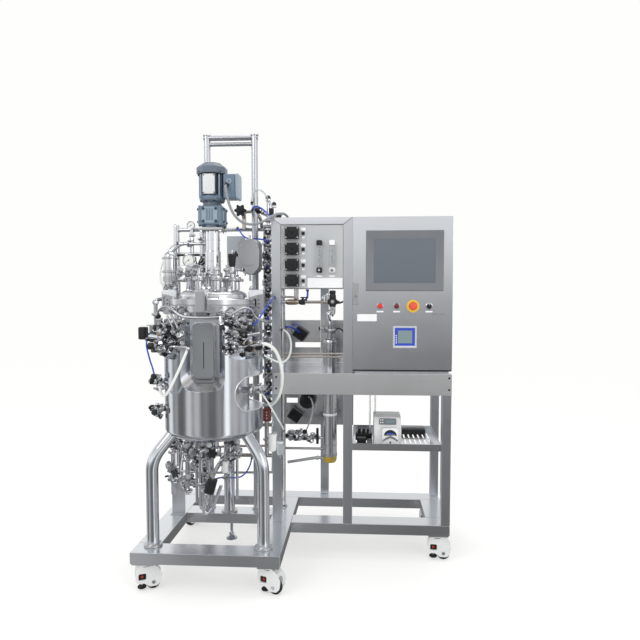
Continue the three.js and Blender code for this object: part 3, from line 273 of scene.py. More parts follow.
def carved(shape, cuts=(), joins=(), bevel=0.0, segments=2, angle=35):
    # a shape with others cut from it or joined to it, and its edges rounded
    blanks = []
    for points, faces in [shape, *joins, *cuts]:
        mesh = bpy.data.meshes.new("blank")
        fillMesh(mesh, points, faces)
        blanks.append(bpy.data.objects.new("blank", mesh))
        bpy.context.scene.collection.objects.link(blanks[-1])
    for k, tool in enumerate(blanks[1:]):
        step = blanks[0].modifiers.new("step", "BOOLEAN")
        step.object, step.solver = tool, "EXACT"
        step.operation = "UNION" if k < len(joins) else "DIFFERENCE"
    if bevel:
        edge = blanks[0].modifiers.new("edge", "BEVEL")
        edge.width, edge.segments, edge.limit_method = bevel, segments, "ANGLE"
        edge.angle_limit = math.radians(angle)
        edge.use_clamp_overlap = True
    result = blanks[0].evaluated_get(bpy.context.evaluated_depsgraph_get()).to_mesh()
    points = np.empty(len(result.vertices) * 3, np.float32)
    result.vertices.foreach_get("co", points)
    loops = np.empty(len(result.loops), np.int32)
    result.loops.foreach_get("vertex_index", loops)
    starts, totals = (np.empty(len(result.polygons), np.int32) for _ in range(2))
    result.polygons.foreach_get("loop_start", starts)
    result.polygons.foreach_get("loop_total", totals)
    faces = [loops[starts[totals == n][:, None] + np.arange(n)] for n in np.unique(totals)]
    for blank in blanks:
        mesh = blank.data
        bpy.data.objects.remove(blank)
        bpy.data.meshes.remove(mesh)
    return points.reshape(-1, 3).astype(float), faces


def makePiece(name, parts, slot, replaces=(), body="skid"):
    piece = bpy.data.objects.new(name, meshOf(name, parts))
    bpy.context.scene.collection.objects.link(piece)
    # large faces keep their own direction, so that eased edges don't shade across them
    piece.modifiers.new("normals", "WEIGHTED_NORMAL").keep_sharp = True
    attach(piece, body)
    if replaces:
        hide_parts(*([replaces] if isinstance(replaces, str) else replaces))
    return piece


# ---------- materials ----------

def linear(hexColour):
    # sRGB to linear: c / 12.92 below 0.04045, else ((c + 0.055) / 1.055) to the power 2.4
    parts = [int(hexColour[i:i + 2], 16) / 255 for i in (1, 3, 5)]
    return [c / 12.92 if c <= 0.04045 else ((c + 0.055) / 1.055) ** 2.4 for c in parts] + [1]


def addNode(tree, kind, inputs=(), **settings):
    # adds a node, makes its settings, and fills or links its inputs
    item = tree.nodes.new("ShaderNode" + kind)
    for name, value in settings.items():
        setattr(item, name, value)
    for socket, value in dict(inputs).items():
        if isinstance(value, bpy.types.NodeSocket):
            tree.links.new(value, item.inputs[socket])
        else:
            item.inputs[socket].default_value = value
    return item


def newMaterial(name, colour, rough, metallic=0.0, ior=None, coat=0.0, transmission=0.0, alpha=1.0):
    material = bpy.data.materials.new(name)
    material.use_nodes = True
    shader = material.node_tree.nodes["Principled BSDF"]
    values = {"Base Color": linear(colour), "Roughness": rough, "Metallic": metallic,
              "Coat Weight": coat, "Transmission Weight": transmission, "Alpha": alpha}
    if ior:
        values["IOR"] = ior
    for socket, value in values.items():
        shader.inputs[socket].default_value = value
    return material, material.node_tree, shader


def grained(name, colour, rough, pitch, stretch, strength, metallic=1.0, swing=0.06, tone=0.06, **more):
    # stretched noise, pitch in mm across the lines, stretch how many times longer along X, Y and Z;
    # it drives a fine bump and a small change of roughness and of colour
    material, tree, shader = newMaterial(name, colour, rough, metallic, **more)
    where = addNode(tree, "TexCoord").outputs["Object"]
    scale = [1000 / pitch / times for times in stretch]
    spread = addNode(tree, "Mapping", {"Vector": where, "Scale": scale})
    lines = addNode(tree, "TexNoise", {"Vector": spread.outputs[0], "Scale": 1.0, "Detail": 2.0})
    broad = addNode(tree, "TexNoise", {"Vector": where, "Scale": 9.0, "Detail": 2.0})
    both = addNode(tree, "Math", {0: lines.outputs[0], 1: broad.outputs[0]}, operation="ADD")
    roughness = addNode(tree, "MapRange", {"Value": both.outputs[0], "From Min": 0.6, "From Max": 1.4,
                                           "To Min": rough - swing, "To Max": rough + swing})
    shade = addNode(tree, "MapRange", {"Value": both.outputs[0], "From Min": 0.6, "From Max": 1.4,
                                       "To Min": 1 - tone, "To Max": 1 + tone})
    tint = addNode(tree, "VectorMath", {0: linear(colour)[:3], 1: shade.outputs[0]}, operation="MULTIPLY")
    bump = addNode(tree, "Bump", {"Height": lines.outputs[0], "Strength": strength, "Distance": 0.0004})
    for socket, output in (("Roughness", roughness), ("Base Color", tint), ("Normal", bump)):
        tree.links.new(output.outputs[0], shader.inputs[socket])
    return material


def moulded(name, colour, rough, grain=1.2, strength=0.12, swing=0.05, **more):
    # an even fine texture, as a tool or a spray gun leaves it; grain in mm
    return grained(name, colour, rough, grain, (1, 1, 1), strength, metallic=more.pop("metallic", 0.0),
                   swing=swing, tone=0.05, **more)


# stainless sheet brushed with a belt: lines run up and down, highlights spread across them
brushedUp = grained("stainless_sheet_brushed_upright", "#c9ccd1", 0.29, 1.3, (1, 1, 160), 0.012, swing=0.02,
                    tone=0.02)
# stainless box section, belt ground along its length
brushedAcross = grained("stainless_section_brushed_across", "#d2d5d9", 0.22, 1.3, (160, 1, 1), 0.012,
                        swing=0.02, tone=0.02)
brushedDeep = grained("stainless_section_brushed_in_depth", "#d2d5d9", 0.22, 1.3, (1, 160, 1), 0.012,
                      swing=0.02, tone=0.02)
# vessel cladding, polished after brushing: nearly a mirror with soft upright streaks
cladding = grained("stainless_cladding_satin_polished", "#d3d7dd", 0.17, 2.0, (1, 1, 150), 0.07, swing=0.04)
# electropolished fittings and tube: bright, with hardly any texture
polished = grained("stainless_fitting_electropolished", "#cdcfd3", 0.12, 3, (1, 1, 1), 0.04, swing=0.04)
# a darker copy of the fitting steel: painted shade and painted dark reflections among crowded fittings
shadedSteel = grained("stainless_fitting_painted_shade_and_reflection", "#5c5f63", 0.2, 3, (1, 1, 1), 0.05, swing=0.04)
# cast and bead-blasted stainless: an even soft sheen
satin = grained("stainless_casting_blasted", "#bfc0c2", 0.34, 0.8, (1, 1, 1), 0.12)
# pickled weld seams and heat-tinted bends keep a warm straw colour
strawTint = grained("stainless_tube_heat_tinted", "#beb6af", 0.24, 4, (1, 1, 1), 0.05)
bronze = grained("bronze_casting", "#a99c8b", 0.33, 1, (1, 1, 1), 0.15)
blackPlastic = moulded("nylon_moulded_black", "#17181b", 0.42)
rubber = moulded("rubber_moulded_black", "#121214", 0.7, 1.5, 0.2)
enamel = moulded("enamel_sprayed_slate_blue", "#64788a", 0.4, 2.0, 0.16, coat=0.15)
enamelLight = moulded("enamel_sprayed_grey_blue", "#8c9ca9", 0.42, 2.0, 0.16, coat=0.1)
whitePlastic = moulded("abs_moulded_white", "#eceeed", 0.38, 1.0, 0.06)
casterWhite = moulded("powder_coat_white", "#dcdddd", 0.36, 1.4, 0.1, coat=0.2)
bezelGrey = moulded("abs_moulded_bezel_grey", "#74787d", 0.5, 0.8, 0.12)
paleGrey = moulded("sheet_painted_pale_grey", "#b9bcbe", 0.5, 1.2, 0.08)
redPlastic = moulded("abs_moulded_red", "#dd3326", 0.34, 1.0, 0.05)
coralPlastic = moulded("abs_moulded_coral_red", "#e8553f", 0.36, 1.0, 0.05)
darkRed = moulded("polycarbonate_moulded_dark_red", "#6d1a20", 0.22, 1.0, 0.04, coat=0.4)
lampRed = moulded("polycarbonate_moulded_signal_red", "#e0211c", 0.2, 1.0, 0.04, coat=0.5)
yellowPlastic = moulded("abs_moulded_yellow", "#f0c22c", 0.38, 1.0, 0.05)
bluePlastic = moulded("abs_moulded_blue", "#2b49b4", 0.36, 1.0, 0.05)
blueTube = moulded("polyurethane_tube_blue", "#2c4fc4", 0.26, 2.0, 0.03, coat=0.2)
orangeTube = moulded("polyurethane_tube_orange", "#d8502c", 0.3, 2.0, 0.03, coat=0.2)
siliconeTube = moulded("silicone_tube_milky", "#e6eae6", 0.3, 3.0, 0.03, coat=0.25)
greyCable = moulded("pvc_cable_grey", "#8d9194", 0.48, 2.0, 0.06)
blackCable = moulded("pvc_cable_black", "#1b1c1f", 0.45, 2.0, 0.06)
brownBlock = moulded("phenolic_block_red_brown", "#6a2f28", 0.5, 1.5, 0.15)
label = moulded("film_label_white", "#f0f1f2", 0.45, 2.0, 0.03)
clearBowl = newMaterial("polycarbonate_moulded_clear", "#eef2f2", 0.08, transmission=0.85, ior=1.58)[0]
clearTube = newMaterial("pvc_tube_clear", "#e9eeee", 0.12, transmission=0.75, ior=1.45)[0]
glassGrey = newMaterial("borosilicate_glass_grey", "#7b7f83", 0.16, coat=0.3, ior=1.47)[0]
screenGlass = newMaterial("display_glass_matte", "#5f6770", 0.22, coat=0.5, ior=1.5)[0]
screenBlue = newMaterial("display_film_blue", "#2f49b8", 0.3, coat=0.3)[0]
lcd = newMaterial("display_lcd_grey_green", "#7f9094", 0.25, coat=0.4)[0]
# black: painted shade in seams, holes, slots and windows, and also the print of ticks and needles
gap = newMaterial("black_painted_shade_and_print", "#0c0d0e", 0.8)[0]
dialFace = moulded("enamel_dial_white", "#f2f2ee", 0.35, 2.0, 0.02, coat=0.4)


# ---------- camera, light and floor ----------

view = {"lens": 32.844, "place": (0.2978, -2.9228, 1.3224), "tilt": -0.058, "swing": 0.0618,
        "shift": (-0.0061, 0.0202)}
camera = bpy.data.objects.new("camera", bpy.data.cameras.new("camera"))
bpy.context.scene.collection.objects.link(camera)
camera.data.lens = view["lens"]
camera.data.shift_x, camera.data.shift_y = view["shift"]
camera.location = view["place"]
camera.rotation_euler = (math.pi / 2 + view["tilt"], 0, view["swing"])
bpy.context.scene.camera = camera
bpy.context.scene.view_settings.view_transform = "Standard"
bpy.context.scene.cycles.use_denoising = True


def makeWorld():
    # a studio with upright strip lights: brightness is a sum of soft bumps in compass angle and in height,
    # seen only in reflections; the camera itself sees a plain pale backdrop
    world = bpy.data.worlds.new("studio")
    bpy.context.scene.world = world
    world.use_nodes = True
    tree = world.node_tree
    tree.nodes.clear()
    way = addNode(tree, "TexCoord").outputs["Generated"]
    axes = addNode(tree, "SeparateXYZ", {0: way})
    back = addNode(tree, "Math", {0: axes.outputs["Y"], 1: -1.0}, operation="MULTIPLY")
    angle = addNode(tree, "Math", {0: axes.outputs["X"], 1: back.outputs[0]}, operation="ARCTAN2")
    total = None
    for degrees, width, strength in studio["strips"]:
        # how far this direction is from the strip, wrapped, then a smooth fall to its edge
        off = addNode(tree, "Math", {0: angle.outputs[0], 1: math.radians(degrees)}, operation="SUBTRACT")
        wrapped = addNode(tree, "Math", {0: off.outputs[0], 1: -math.pi, 2: math.pi}, operation="WRAP")
        far = addNode(tree, "Math", {0: wrapped.outputs[0]}, operation="ABSOLUTE")
        glow = addNode(tree, "MapRange", {"Value": far.outputs[0], "From Min": math.radians(width * 0.25),
                                          "From Max": math.radians(width), "To Min": strength, "To Max": 0.0},
                       interpolation_type="SMOOTHSTEP")
        total = glow if total is None else addNode(
            tree, "Math", {0: total.outputs[0], 1: glow.outputs[0]}, operation="ADD")
    ramp = addNode(tree, "ValToRGB", {"Fac": addNode(
        tree, "MapRange", {"Value": axes.outputs["Z"], "From Min": -1.0, "From Max": 1.0}).outputs[0]})
    stops = studio["heights"]
    while len(ramp.color_ramp.elements) < len(stops):
        ramp.color_ramp.elements.new(0.5)
    for stop, (height, value, strips) in zip(ramp.color_ramp.elements, stops):
        stop.position = (height + 1) / 2
        stop.color = (value, strips, 0, 1)
    level = addNode(tree, "SeparateColor", {0: ramp.outputs[0]})
    strips = addNode(tree, "Math", {0: total.outputs[0], 1: level.outputs["Green"]}, operation="MULTIPLY")
    seen = addNode(tree, "Math", {0: strips.outputs[0], 1: level.outputs["Red"]}, operation="ADD")
    studioLight = addNode(tree, "Background", {"Color": seen.outputs[0], "Strength": studio["strength"]})
    backdrop = addNode(tree, "Background", {"Color": linear(studio["backdrop"]), "Strength": 1.0})
    toCamera = addNode(tree, "LightPath").outputs["Is Camera Ray"]
    chosen = addNode(tree, "MixShader", {0: toCamera, 1: studioLight.outputs[0], 2: backdrop.outputs[0]})
    addNode(tree, "OutputWorld", {"Surface": chosen.outputs[0]})


# strips: compass angle from the front towards the right, half width, brightness
# heights: sine of the elevation, even light there, how much of the strips shows there
studio = {"strips": [(-106, 14, 0.9), (-84, 9, 0.3), (-47, 12, 0.62), (-27, 12, 0.46), (-6, 9, 0.14),
                     (24, 9, 0.2),
                     (43, 9, 1.35), (62, 14, 0.4), (84, 15, 0.42), (106, 11, 0.6), (140, 18, 0.2),
                     (-150, 24, 0.5)],
          "heights": [(-1, 0.2, 0.4), (-0.35, 0.16, 1.1), (-0.12, 0.14, 1), (0.0, 0.4, 0.85), (0.11, 1.15, 0.7),
                      (0.4, 0.9, 0.4), (0.75, 0.6, 0.2), (1, 0.6, 0.1)],
          "strength": 1.0, "backdrop": "#fefefd"}
makeWorld()

lamps = {"key": ((-2.2, -2.6, 3.6), (1.6, 1.6), 34), "fill": ((2.6, -2.8, 2.4), (1.4, 2.0), 14),
         "top": ((0.2, 0.2, 4.2), (2.6, 2.0), 34)}
for lampName, (place, size, power) in lamps.items():
    light = bpy.data.lights.new(lampName, "AREA")
    light.shape = "RECTANGLE"
    light.size, light.size_y = size
    light.energy = power
    lamp = bpy.data.objects.new(lampName, light)
    bpy.context.scene.collection.objects.link(lamp)
    lamp.location = place
    aim = unit(np.array((0.0, 0.0, 1.0)) - place)
    lamp.rotation_euler = (math.acos(-aim[2]), 0, math.atan2(-aim[0], aim[1]))
    lamp.visible_camera = False

ground = bpy.data.meshes.new("floor")
ground.from_pydata([(-9, -9, 0), (9, -9, 0), (9, 9, 0), (-9, 9, 0)], [], [(0, 1, 2, 3)])
floorPiece = bpy.data.objects.new("floor", ground)
bpy.context.scene.collection.objects.link(floorPiece)
floorPaint, _, floorShader = newMaterial("floor_painted_pale", "#c9c9c7", 0.85)
floorShader.inputs["Emission Color"].default_value = linear("#fefefd")  # an evenly lit white sweep
floorShader.inputs["Emission Strength"].default_value = 0.5
ground.materials.append(floorPaint)
floorPiece.visible_glossy = False  # polished steel mirrors the studio, not this sheet
print("stage: camera, lights and floor")


# ---------- hoses and the motor lead ----------

cordFacts = {
    "silicone_hose_left": {
        "node": "hose_left", "radius": 6, "length": 0.347, "stiffness": "medium", "slot": "silicone",
        "finish": siliconeTube, "route": [
            (278, -14, 1098), (270, -17, 1077), (261, -19, 1055), (252, -20, 1034), (242, -18, 1013),
            (232, -15, 993), (221, -11, 973), (210, -6, 953), (198, 1, 934), (186, 10, 917),
            (173, 22, 902), (159, 38, 893), (144, 55, 891), (131, 74, 897), (121, 91, 908),
            (114, 106, 924)]},
    "silicone_hose_right": {
        "node": "hose_right", "radius": 8, "length": 0.443, "stiffness": "medium", "slot": "silicone",
        "finish": siliconeTube, "route": [
            (600, 44, 1128), (623, 57, 1121), (640, 72, 1106), (653, 87, 1086), (660, 102, 1064),
            (666, 117, 1041), (669, 132, 1018), (670, 146, 995), (670, 161, 971), (667, 176, 948),
            (664, 191, 925), (658, 207, 903), (651, 223, 882), (642, 240, 862), (631, 257, 844),
            (617, 275, 827), (600, 292, 814)]},
    "motor_lead": {
        "node": "motor_cable", "radius": 6, "length": 0.581, "stiffness": "medium", "slot": "grey_plastic",
        "finish": greyCable, "route": [
            (414, 170, 1838), (414, 160, 1834), (417, 153, 1818), (424, 152, 1782), (434, 158, 1744),
            (450, 170, 1708), (476, 190, 1680), (508, 222, 1670), (540, 268, 1678), (568, 322, 1700),
            (594, 376, 1728), (620, 424, 1746), (644, 466, 1750), (657, 488, 1738), (660, 494, 1718)]}}
for cordName, facts in cordFacts.items():
    path = smoothPath(facts["route"], 6)
    piece = makePiece(cordName, [(sweep(path, circle(facts["radius"], 16)), facts["finish"])],
                      facts["slot"], facts["node"])
    [tuple(point) for point in inFrame(path)]
print("cords: two hoses and the motor lead")


# ---------- fasteners and small fittings, each on its own Z axis ----------

def hexBolt(radius=7, height=5, paint=polished):
    # washer, hexagon with a turned top, and a shallow dome
    head = slab(circle(radius, 6), height, (0, 0, 1.4), ease=0.8)
    return [(rod((0, 0, 0), (0, 0, 1.6), radius * 1.25, 16, 0.4), paint), (head, paint)]


def capScrew(radius=4, height=3, paint=polished):
    # a round head with a socket
    profile = [(0, 0), (radius, 0), (radius, height * 0.6), (radius * 0.75, height), (radius * 0.45, height),
               (radius * 0.45, height * 0.5), (0, height * 0.5)]
    return [(turn(profile, sides=14), paint)]


def lobed(radius, lobes=6, depth=0.16, steps=8):
    # radius times (1 - depth + depth times the cosine of lobes turns)
    angle = np.arange(lobes * steps) * 2 * math.pi / (lobes * steps)
    reach = radius * (1 - depth + depth * np.cos(lobes * angle))
    return np.stack([reach * np.cos(angle), reach * np.sin(angle)], -1)


def starKnob(radius, depth, paint=blackPlastic, lobes=6):
    # scalloped grip with a raised hub
    return [(slab(lobed(radius, lobes), depth * 0.62, (0, 0, depth * 0.2), ease=depth * 0.16), paint),
            (rod((0, 0, 0), (0, 0, depth * 0.3), radius * 0.5, 20, 1), paint),
            (rod((0, 0, depth * 0.7), (0, 0, depth), radius * 0.42, 20, 2), paint)]


def hexNut(radius, height, paint=polished):
    return [(slab(circle(radius, 6), height, ease=1.2), paint)]


def triClamp(radius, turnWing=True):
    # two ferrules with a tapered band round them, its hinge and its wing nut
    band = radius + 3.5
    profile = [(radius * 0.6, -9), (radius * 0.72, -9), (radius, -3.4), (radius, 3.4), (radius * 0.72, 9),
               (radius * 0.6, 9)]
    ring = [(radius - 3, -6), (band - 1, -5.4), (band, -4.4), (band, 4.4), (band - 1, 5.4), (radius - 3, 6)]
    parts = [(turn([(0, -9)] + profile + [(0, 9)], sides=28), polished),
             (turn([(radius * 0.9, -5)] + ring + [(radius * 0.9, 5)], sides=28, loop=True), satin),
             (box((band - 3, band + 6), (-4, 4), (-5, 5), 1.2), satin),
             (box((-band - 6, -band + 3), (-4, 4), (-5, 5), 1.2), satin)]
    if turnWing:
        parts += [(rod((band + 3, 3, 0), (band + 3, 20, 0), 2.2, 10), polished),
                  (slab(rounded([(-9, 0), (9, 0), (7, 9), (2.5, 6), (-2.5, 6), (-7, 9)], 2, 3, True), 4,
                        (band + 1, 14, 0), (0, 0, 1), (0, 1, 0), 1), satin)]
    return parts


def unionNut(radius, length=16):
    return [(slab(circle(radius * 1.5, 6), length * 0.6, (0, 0, length * 0.2), ease=1.2), polished),
            (rod((0, 0, 0), (0, 0, length), radius * 1.2, 18, 1), polished)]


def handValve(length=46, knob=15, paint=blackPlastic, body=11):
    # a diaphragm valve seen from its seat: forged body, bolted bonnet, neck and a fluted hand wheel
    bonnet = length * 0.42
    parts = [(rod((0, 0, -body), (0, 0, bonnet - 6), body, 18, 2), polished),
             (slab(rounded([(-14, -11), (14, -11), (14, 11), (-14, 11)], 4, 3, True), 6, (0, 0, bonnet - 8),
                   ease=1), satin),
             (rod((0, 0, bonnet - 3), (0, 0, bonnet + 5), 11, 18, 1.2, 9), satin)]
    for x in (-10, 10):
        for y in (-7, 7):
            parts += put(capScrew(2.4, 3), (x, y, bonnet - 2))
    grip = length - bonnet - 6
    parts += [(rod((0, 0, bonnet + 4), (0, 0, bonnet + 8), 6, 14), polished),
              (slab(lobed(knob, 8, 0.07, 5), grip * 0.8, (0, 0, bonnet + 6), ease=2.2), paint),
              (rod((0, 0, length - 3), (0, 0, length), knob * 0.55, 16, 1), paint)]
    return parts


def actuatedValve(length=80, radius=20, paint=blackPlastic):
    # an air-worked angle valve: body, stem housing, black cylinder with a domed cap and an indicator
    return [(rod((0, 0, -12), (0, 0, 16), 12, 18, 2), polished),
            (slab(circle(13, 6), 10, (0, 0, 14), ease=1.2), polished),
            (rod((0, 0, 22), (0, 0, 32), 10, 18, 1), polished),
            (turn([(0, 30), (radius * 0.7, 30), (radius, 35), (radius, length - 16), (radius - 3, length - 12),
                   (radius - 3, length - 8), (radius * 0.7, length - 3), (0, length)], sides=28), paint),
            (turn([(radius - 2, 40), (radius + 2, 42), (radius + 2, 47), (radius - 2, 49)], sides=28,
                  loop=True),
             paint),
            (rod((0, 0, length - 2), (0, 0, length + 5), 4, 12, 1), clearBowl),
            (rod((radius - 4, 0, 44), (radius + 9, 0, 44), 4.4, 12, 0.8), polished)]


def ballValve(paint=blackPlastic, size=1.0):
    # a three-piece body along X, with four studs, a stem along Z and a lever
    k = size
    parts = [(rod((-24 * k, 0, 0), (24 * k, 0, 0), 12 * k, 18, 1.5), polished),
             (slab(rounded([(-15 * k, -15 * k), (15 * k, -15 * k), (15 * k, 15 * k), (-15 * k, 15 * k)], 5, 3,
                           True),
                   18 * k, (-9 * k, 0, 0), (0, 1, 0), (0, 0, 1), 1.5), satin),
             (rod((0, 0, 10 * k), (0, 0, 27 * k), 6 * k, 14, 0.8), polished)]
    for y in (-11 * k, 11 * k):
        for z in (-11 * k, 11 * k):
            parts.append((rod((-16 * k, y, z), (16 * k, y, z), 2.6 * k, 8), polished))
    parts.append((box((-5 * k, 62 * k), (-6 * k, 6 * k), (25 * k, 29 * k), 1.2), paint))
    return parts


def fittingCluster(centre, spread, count, seed, size=1.0, wheel=None):
    # small unions, elbows, clamps, taps and bleed screws round a joint, each on its own stub and turned its own way
    draw = np.random.default_rng(seed)
    centre, parts = np.asarray(centre, float), []
    for k in range(count):
        place = centre + (draw.random(3) * 2 - 1) * spread
        way = unit(draw.normal(size=3))
        across = squareTo(way)[0]
        if k % 5 == 0:
            parts += put(unionNut(7 * size, 18 * size), place, way)
        elif k % 5 == 1:
            parts += put(triClamp(9 * size), place, way)
        elif k % 5 == 2:
            parts += [(pipe([place, place + way * 20 * size, place + (way + across) * 20 * size], 4.6 * size,
                            8 * size, 12, 4),
                       shadedSteel if k % 2 else polished)]
        elif k % 5 == 3:
            parts += put(handValve(26 * size, 8 * size, wheel or blackPlastic, 7 * size), place, way)
        else:
            parts += put([(hexNut(8 * size, 8 * size)[0][0], bronze if k % 2 else polished)], place, way)
            parts.append((rod(place, place + way * 20 * size, 3.6 * size, 12, 0.8), polished))
        # each stub, and every other elbow above, is in the darker steel: painted shade and dark reflections
        parts.append((rod(centre, place, 3.4 * size, 10), shadedSteel))
    return parts


def dialGauge(radius, depth=24, needle=215):
    # a steel case about Z with a rolled bezel, a white face with ticks, a needle and a domed glass
    parts = [(turn([(0, 0), (radius * 0.8, 0), (radius * 0.94, depth * 0.2), (radius * 0.94, depth * 0.75),
                    (radius, depth * 0.8), (radius, depth * 0.96), (radius * 0.93, depth),
                    (radius * 0.86, depth * 0.92),
                    (radius * 0.86, depth * 0.78), (0, depth * 0.78)], sides=40), polished),
             (rod((0, 0, depth * 0.77), (0, 0, depth * 0.8), radius * 0.86, 36), dialFace)]
    for k in range(11):
        angle = math.radians(225 - 27 * k)
        way = np.array((math.cos(angle), math.sin(angle), 0))
        side = np.array((-way[1], way[0], 0))
        long = 0.64 if k % 5 == 0 else 0.7
        parts.append((slab([(long * radius, -0.5), (0.8 * radius, -0.5), (0.8 * radius, 0.5),
                            (long * radius, 0.5)],
                           0.4, (0, 0, depth * 0.8), way, side, 0.1), gap))
    angle = math.radians(needle)
    way = np.array((math.cos(angle), math.sin(angle), 0))
    parts += [(slab([(-0.2 * radius, -1), (0.62 * radius, -0.4), (0.62 * radius, 0.4), (-0.2 * radius, 1)], 0.6,
                    (0, 0, depth * 0.83), way, (-way[1], way[0], 0), 0.1), gap),
              (rod((0, 0, depth * 0.8), (0, 0, depth * 0.87), radius * 0.09, 12), gap)]
    return parts


def gland(radius=9, paint=blackPlastic):
    # a cable gland: hexagon, threaded body and a domed cap, its cable end at Z = 0
    return [(slab(circle(radius * 1.25, 6), 5, (0, 0, -24), ease=0.8), paint),
            (turn([(0, -20), (radius, -20), (radius, -8), (radius * 0.8, -1), (radius * 0.62, 0), (0, 0)],
                  sides=20), paint),
            (slab(lobed(radius * 1.08, 12, 0.04, 3), 9, (0, 0, -17), ease=0.8), paint)]


# ---------- skid, casters and levelling foot ----------

skidFacts = {"rail": 110, "low": 137, "high": 190, "ease": 2.6, "midRail": 500, "setback": 398, "bay": 678}
_, (skidWidth, skidDepth, railTop) = boxOf("base_frame")


def skidRails():
    # box sections butted together, the long ones running through; each grain follows its own rail
    rail, bay, setback, mid = (skidFacts[key] for key in ("rail", "bay", "setback", "midRail"))
    z, ease = (skidFacts["low"], skidFacts["high"]), skidFacts["ease"]
    seam = 0.15
    across = [((0, bay), (0, rail)), ((rail + seam, bay - rail - seam), (mid, mid + rail)),
              ((bay + seam, skidWidth), (setback, setback + rail)),
              ((0, skidWidth), (skidDepth - rail, skidDepth))]
    along = [((0, rail), (rail + seam, skidDepth - rail - seam)),
             ((bay - rail, bay), (rail + seam, skidDepth - rail - seam)),
             ((skidWidth - rail, skidWidth), (setback + rail + seam, skidDepth - rail - seam))]
    parts = [(box(x, y, z, ease), brushedAcross) for x, y in across]
    return parts + [(box(x, y, z, ease), brushedDeep) for x, y in along]


casterPlaces = {"front_left": (55, 55, 205), "front_middle": (623, 55, 160), "front_right": (1423, 453, 175),
                "rear_right": (1423, 835, 150), "rear_left": (55, 835, 60)}
caster = {"trail": 30, "wheel": 31.5, "halfWidth": 26, "slotHalf": 14, "top": 128.7, "pad": 50}


def casterHousing():
    # a die-cast body: its side outline full width, cut by the wheel well and by the window of the adjuster wheel
    t, half, top = caster["trail"], caster["halfWidth"], caster["top"]
    side = rounded([(-t - 14, 25), (-t - 27, 40), (-t - 31, 70), (-t - 16, 98), (-20, top - 12), (24, top - 10),
                    (38, top - 22), (42, 70), (40, 44), (4, 44), (-14, 25)], 12, 5, True)
    # right is X and up is Z, so the depth runs towards -Y
    body = slab(side, 2 * half, (0, half, 0), (1, 0, 0), (0, 0, 1), 7)
    well = box((-t - 42, 4), (-caster["slotHalf"], caster["slotHalf"]), (-5, 84), 6)
    window = slab(rectangle((2, 36), (52, 82), 6), 2 * half + 10, (0, half + 5, 0), (1, 0, 0), (0, 0, 1), 0.1)
    shell = carved(body, [well, window], bevel=1.4, segments=2)
    parts = [(shell, casterWhite),
             (rod((0, 0, top - 12), (0, 0, top), 34, 32, 2), casterWhite),
             # a black ring under the top plate and a black block in the adjuster window are painted shade
             (rod((0, 0, top - 16), (0, 0, top - 10), 30, 32, 1), gap),
             (box((4, 34), (-half + 8, half - 8), (53, 81), 1), gap),
             (slab(lobed(21, 18, 0.06, 4), 12, (20, 0, 60), ease=1.4), redPlastic),
             (rod((20, 0, 8), (20, 0, 18), 20, 24, 3), rubber),
             (rod((20, 0, 16), (20, 0, 52), 7, 14, 1), polished)]
    for sign in (-1, 1):
        parts += put(hexBolt(7, 4), (-t, sign * (half - 0.5), caster["wheel"] + 6), (0, sign, 0))
        # a plate in each side of the window: red on one side, black painted shade on the other
        parts.append((slab(rectangle((5, 33), (62, 79), 3), 1, (0, sign * (half - 7) + 0.5, 0), (1, 0, 0),
                           (0, 0, 1), 0.3), redPlastic if sign < 0 else gap))
    for x in (-23, 23):
        for y in (-23, 23):
            parts += put(capScrew(4, 3), (x, y, top - 4), (0, 0, -1))
    return parts


def casterWheel():
    # tread with rounded shoulders and a recessed hub, about the Y axis
    r, h = caster["wheel"], caster["halfWidth"] / 2
    profile = [(5.6, -h + 3), (r * 0.45, -h + 3), (r * 0.5, -h + 5), (r * 0.78, -h + 4.5), (r * 0.86, -h + 1),
               (r - 3, -h),
               (r - 0.6, -h + 3), (r, -h + 6)]
    profile += [(x, -y) for x, y in profile[::-1]]
    return [(turn(profile, (-caster["trail"], 0, r), (0, 1, 0), 40, loop=True), blackPlastic)]


makePiece("skid_frame", skidRails() + [(box((x - 50, x + 50), (y - 50, y + 50), (129, 136.8), 1.6),
                                        brushedAcross)
                                       for x, y, _ in casterPlaces.values()], "brushed_steel", "base_frame")
housing, tyre = casterHousing(), casterWheel()
for place, (x, y, heading) in casterPlaces.items():
    facing = (math.cos(math.radians(heading)), math.sin(math.radians(heading)), 0)
    makePiece(f"caster_body_{place}", put(housing, (x, y, 0), facing=facing), "caster_cream",
              f"caster_{place}", f"caster_{place}")
    makePiece(f"caster_tyre_{place}", put(tyre, (x, y, 0), facing=facing), "black_plastic",
              f"wheel_{place}", f"wheel_{place}")

foot = {"x": 339.5, "y": 555, "pad": 30, "low": 34, "screw": 8, "top": 177}


def levellingFoot():
    x, y, low = foot["x"], foot["y"], foot["low"]
    # the thread is a stack of ridges, drawn at twice its real pitch
    turns = int((foot["top"] - low - 34) / 3)
    ridges = [(foot["screw"] - (1.1 if k % 2 else 0), low + 34 + k * 1.5) for k in range(2 * turns)]
    return [(turn([(0, low), (foot["pad"], low), (foot["pad"], low + 4), (foot["pad"] - 3, low + 6.5),
                   (15, low + 17),
                   (0, low + 18)], (x, y, 0), sides=36), polished),
            (slab(circle(15, 6), 9, (x, y, low + 22), ease=1), polished),
            (rod((x, y, low + 12), (x, y, low + 35), foot["screw"] - 1, 16), polished),
            (turn([(0, low + 34)] + ridges + [(0, foot["top"])], (x, y, 0), sides=16), polished)]


makePiece("levelling_screw_foot", levellingFoot(), "polished_steel", "levelling_foot", "levelling_foot")
print("skid: rails, casters and foot")


# ---------- console frame ----------

console = {"front": 398, "post": 46, "left": 586, "middle": 943, "top": 1724, "band": 36, "ease": 2.2,
           "rearLeft": 540, "rearMiddle": 800, "beam": 46}
rearY = skidDepth - console["post"]


